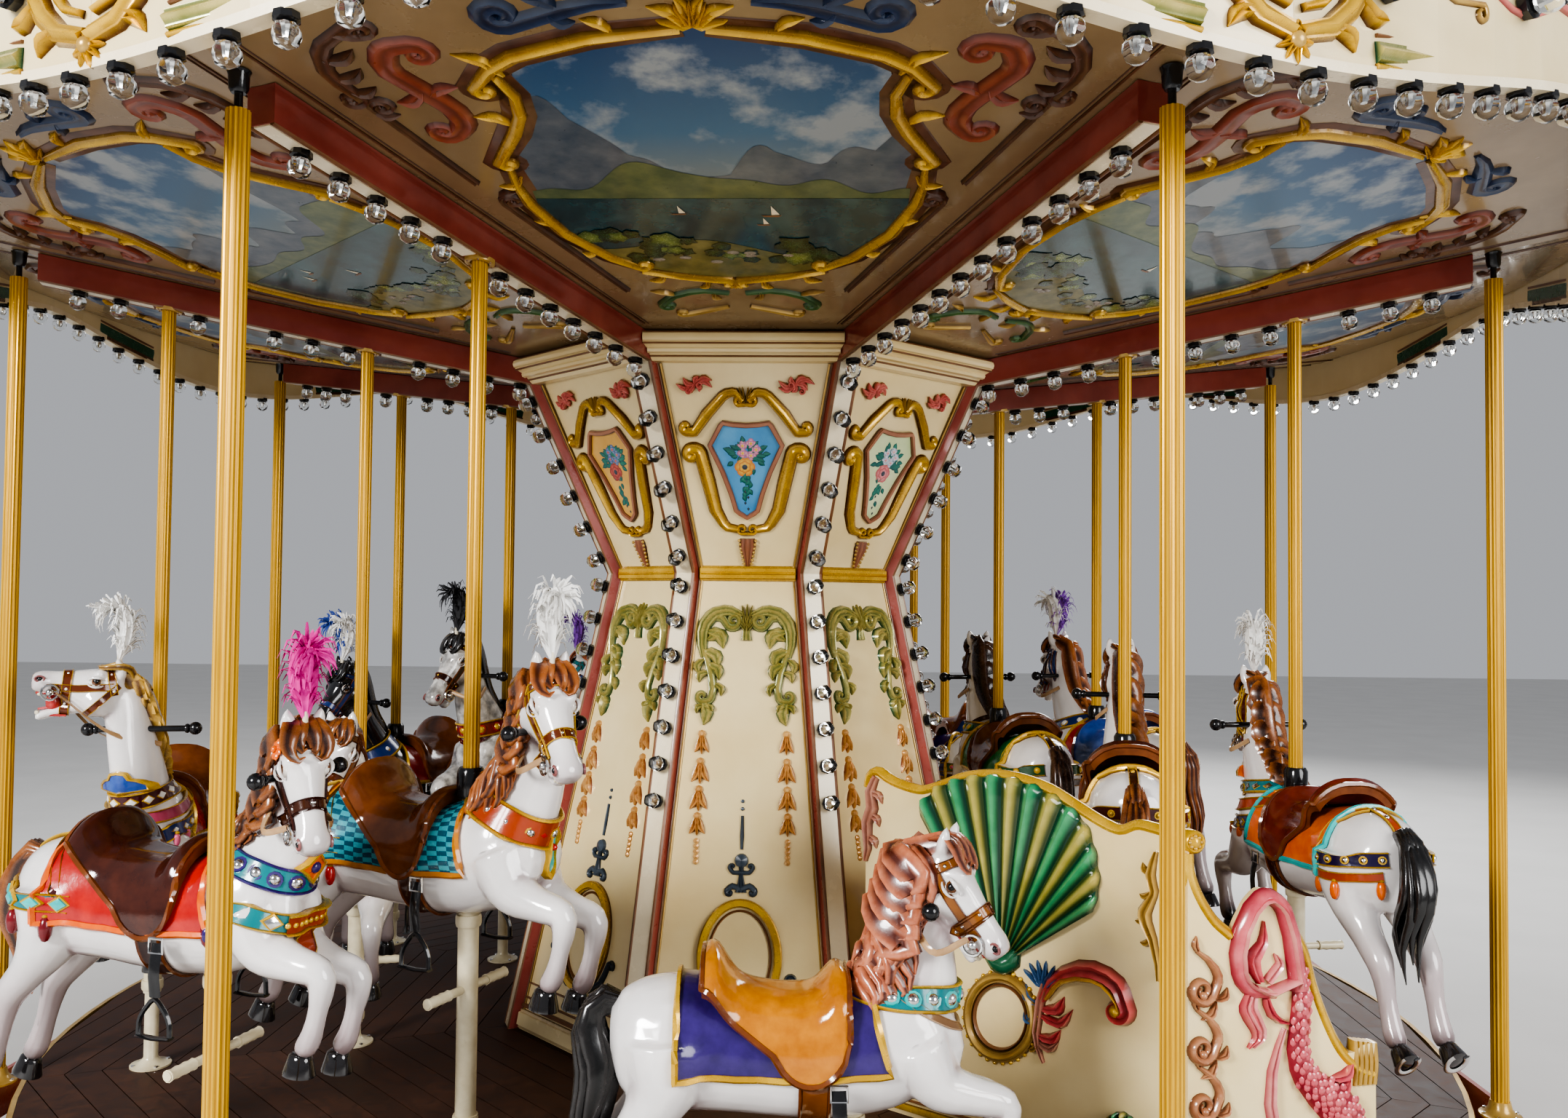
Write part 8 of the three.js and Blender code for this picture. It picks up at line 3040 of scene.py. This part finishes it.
def cushion(shape, corners, low, high, tone, puffs=(9, 4), button_tone=None):
    """A buttoned pad over four corners, its surface swelling between the buttons."""
    corners = np.asarray(corners, float)
    many, deep = puffs[0] * 6 + 1, puffs[1] * 6 + 1
    u, v = np.meshgrid(np.linspace(0, 1, many), np.linspace(0, 1, deep))
    place = ((1 - u) * (1 - v))[..., None] * corners[0] + (u * (1 - v))[..., None] * corners[1] \
        + (u * v)[..., None] * corners[2] + ((1 - u) * v)[..., None] * corners[3]
    swell = np.abs(np.sin(u * puffs[0] * math.pi) * np.sin(v * puffs[1] * math.pi)) ** 0.5
    edge = np.minimum(np.minimum(u, 1 - u) * puffs[0], np.minimum(v, 1 - v) * puffs[1])
    rim = np.clip(edge * 2.2, 0, 1) ** 0.5
    top = low + (high - low) * (0.25 * rim + 0.75 * rim * (0.45 + 0.55 * swell))
    rows = np.concatenate([place, top[..., None]], -1)
    # crest is lower in the creases round the buttons, where the leather's deep tone is painted shade
    shape.grid(rows, tone=tone, crest=np.ravel(0.3 + 0.7 * swell))
    border = np.vstack([rows[0], rows[1:, -1], rows[-1, -2::-1], rows[-2:0:-1, 0]])
    foot = border.copy()
    foot[:, 2] = low - 0.01
    shape.grid(np.stack([foot, border]), wrap=True, tone=tone)
    if button_tone is not None:
        for i in range(1, puffs[0]):
            for j in range(1, puffs[1]):
                s, t = i / puffs[0], j / puffs[1]
                spot = (1 - s) * (1 - t) * corners[0] + s * (1 - t) * corners[1] + s * t * corners[2] \
                    + (1 - s) * t * corners[3]
                ball(shape, (*spot, low + (high - low) * 0.62), (0.011, 0.011, 0.006), button_tone, 10, 5)


# deep: painted shade in the recesses of the carving
def carved_paint(name, dark, light, deep):
    return paint(name, dark, light, deep=deep, rough=0.2, grain=14, coat=0.6)


def shell_paint(name, dark, light, deep):
    return paint(name, dark, light, deep=deep, rough=0.18, grain=8, coat=0.7)


def carving_tones():
    """Materials of the carving on the chariot's back and on its sides."""
    back = [
        GOLD,
        shell_paint("shell_green", (0.03, 0.25, 0.10), (0.10, 0.42, 0.18), (0.004, 0.060, 0.030)),
        shell_paint("shell_gold", (0.33, 0.29, 0.06), (0.56, 0.47, 0.14), (0.045, 0.080, 0.020)),
        carved_paint("scroll_red", (0.50, 0.06, 0.07), (0.66, 0.14, 0.13), (0.16, 0.03, 0.02)),
        carved_paint("scroll_blue", (0.04, 0.10, 0.22), (0.10, 0.20, 0.36), (0.01, 0.03, 0.08)),
        OLD_GOLD,
        carved_paint("scroll_pink_brown", (0.42, 0.17, 0.12), (0.58, 0.30, 0.21), (0.16, 0.05, 0.03)),
        GREEN_GOLD,
        BROWN,
        shell_paint("shell_dark", (0.012, 0.085, 0.040), (0.030, 0.16, 0.075), (0.004, 0.03, 0.016)),
    ]
    sides = [
        GOLD,
        carved_paint("copper_scroll", (0.38, 0.16, 0.08), (0.58, 0.30, 0.16), (0.14, 0.045, 0.02)),
        carved_paint("creature_pink", (0.56, 0.085, 0.11), (0.74, 0.19, 0.20), (0.30, 0.03, 0.045)),
        carved_paint("creature_light_pink", (0.68, 0.23, 0.23), (0.82, 0.40, 0.37), (0.42, 0.07, 0.09)),
        OLD_GOLD,
        BROWN,
        paint("creature_scale_gaps", (0.30, 0.030, 0.045), (0.42, 0.055, 0.070), rough=0.3, grain=14),
    ]
    return back, sides


def padded_face(name, start, heading, length, hide):
    """The padded panel with gold buttons on a chariot panel's inward face."""
    pad = Shape()
    if name == "chariot_back":
        corners = [(-length + 0.10, 0.42), (-0.10, 0.42), (-0.10, 0.98), (-length + 0.10, 0.98)]
        cushion(pad, corners, 0.001, 0.045, 0, (9, 5), 1)
    else:
        corners = [(-length * 0.62, 0.40), (-0.08, 0.40), (-0.08, 0.70), (-length * 0.50, 0.62)]
        cushion(pad, corners, 0.001, 0.026, 0, (4, 3), 1)
    piece(f"{name}_padding", Shape().merge(pad, panel_plane(start, heading, outward=False)),
          [hide, GOLD], sharp=60)


def seat_cushion(hide):
    """A thin cushion over the top of the chariot's seat."""
    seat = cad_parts["chariot_seat"]
    dress(seat, hide)
    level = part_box("chariot_seat")[1].z
    forward = np.array(polar(1, CHARIOT_HEADING + math.pi / 2))
    run = np.array(polar(1, CHARIOT_HEADING))
    points = np.array([v.co[:] for v in seat.data.vertices])
    top = points[points[:, 2] > level - 0.005][:, :2]
    middle = top.mean(0)
    local = np.column_stack([(top - middle) @ run, (top - middle) @ forward])
    rear, front = local[:, 1].min(), local[:, 1].max()
    ends = [local[np.abs(local[:, 1] - edge) < 0.02][:, 0] for edge in (rear, front)]
    corners = [(ends[0].min() + 0.02, rear + 0.01), (ends[0].max() - 0.02, rear + 0.01),
               (ends[1].max() - 0.02, front), (ends[1].min() + 0.02, front)]
    corners = [middle + run * x + forward * y for x, y in corners]
    pad = Shape()
    cushion(pad, corners, level + 0.001, level + 0.016, 0, (8, 3), 1)
    piece("chariot_seat_cushion", pad, [hide, GOLD], sharp=60)


def build_chariot():
    back_tones, side_tones = carving_tones()
    hide = paint("seat_red_leather", (0.30, 0.03, 0.03), (0.42, 0.06, 0.05), deep=(0.12, 0.01, 0.01),
                 rough=0.32, grain=10, coat=0.3, relief_bump=0.4, bump_scale=160)
    side_start, inner_start = (
        corner + 0.75 * PANEL_THICK * np.array(polar(1, heading))
        for corner, heading in ((CHARIOT_OUT, SIDE_HEADING), (CHARIOT_IN, INNER_HEADING)))
    for name, start, heading, length, top, ornament, tones in (
        ("chariot_back", CHARIOT_IN, CHARIOT_HEADING, CHARIOT_LENGTH, BACK_TOP, back_ornament, back_tones),
        ("chariot_outer_side", side_start, SIDE_HEADING, SIDE_LENGTH, SIDE_TOP, side_ornament, side_tones),
        ("chariot_inner_side", inner_start, INNER_HEADING, INNER_LENGTH, INNER_TOP, inner_ornament,
         side_tones),
    ):
        matrix = panel_plane(start, heading)
        plate = Shape()
        panel_body(plate, curve(top, 80))
        piece(f"{name}_panel", Shape().merge(plate, matrix), [CREAM],
              replaces=[name], sharp=30)
        piece(f"{name}_carving", Shape().merge(ornament(), matrix), tones, sharp=50)
        padded_face(name, start, heading, length, hide)
    seat_cushion(hide)


# Camera and studio

LENS = 28.6
CAMERA_PLACE = (0.313, -5.783, 2.095)
CAMERA_AHEAD = (-0.03166, 0.99902, 0.03088)
CAMERA_ROLL = math.radians(0.5467)
LAMPS = (
    ("key", (-5.5, -8.5, 5.0), (0, -1, 1.6), 2.6, 950),
    ("fill", (6.5, -7.0, 4.0), (0, -1, 1.6), 5.0, 500),
    ("back", (5.0, 9.0, 7.0), (0, 0, 2.0), 6.0, 700),
    ("top", (0.0, 0.0, 11.0), (0, 0, 0), 8.0, 700),
)


def build_camera():
    """The camera that was fitted to the photo."""
    camera = bpy.data.cameras.new("camera")
    camera.lens = LENS
    camera.sensor_width = 36.0
    camera.sensor_fit = "HORIZONTAL"
    camera.clip_start = 0.05
    camera.clip_end = 200.0
    ahead = Vector(CAMERA_AHEAD).normalized()
    right = ahead.cross(Vector((0, 0, 1))).normalized()
    up = right.cross(ahead)
    cos, sin = math.cos(CAMERA_ROLL), math.sin(CAMERA_ROLL)
    right, up = right * cos + up * sin, up * cos - right * sin
    rig = bpy.data.objects.new("camera", camera)
    bpy.context.scene.collection.objects.link(rig)
    rig.matrix_world = axes_matrix(right, up, -ahead, CAMERA_PLACE)
    bpy.context.scene.camera = rig


def build_floor():
    floor_paint, nodes, links = material("studio_floor")
    shader = nodes["Principled BSDF"]
    place = object_place(nodes)
    tone = shaded(nodes, links, noise(nodes, links, place, 1.5),
                  [(0.3, (0.62, 0.61, 0.59)), (0.7, (0.66, 0.65, 0.63))])
    links.new(tone, shader.inputs["Base Color"])
    shader.inputs["Roughness"].default_value = 0.6
    bpy.ops.mesh.primitive_plane_add(size=60)
    floor = bpy.context.object
    floor.name = "studio_floor"
    floor.data.materials.append(floor_paint)


def build_light():
    """Pale surroundings and four soft lamps, aimed at the carousel."""
    bpy.context.scene.view_settings.look = "AgX - High Contrast"
    bpy.context.scene.view_settings.exposure = -0.25
    world = bpy.data.worlds.new("studio")
    bpy.context.scene.world = world
    world.use_nodes = True
    back = world.node_tree.nodes["Background"]
    back.inputs["Color"].default_value = (0.93, 0.95, 1.0, 1)
    back.inputs["Strength"].default_value = 0.45
    for name, place, aim, size, power in LAMPS:
        light = bpy.data.lights.new(name, "AREA")
        light.shape = "DISK"
        light.size = size
        light.energy = power
        lamp = bpy.data.objects.new(name, light)
        bpy.context.scene.collection.objects.link(lamp)
        lamp.location = place
        run = Vector(aim) - Vector(place)
        lamp.rotation_euler = run.to_track_quat("-Z", "Y").to_euler()


build_camera()
build_floor()
build_light()
build_column()
build_sweeps()
build_ceiling()
build_boards()
build_posts()
build_platform()
build_skirt()
build_base()
build_roof()
build_chariot()
build_horses()
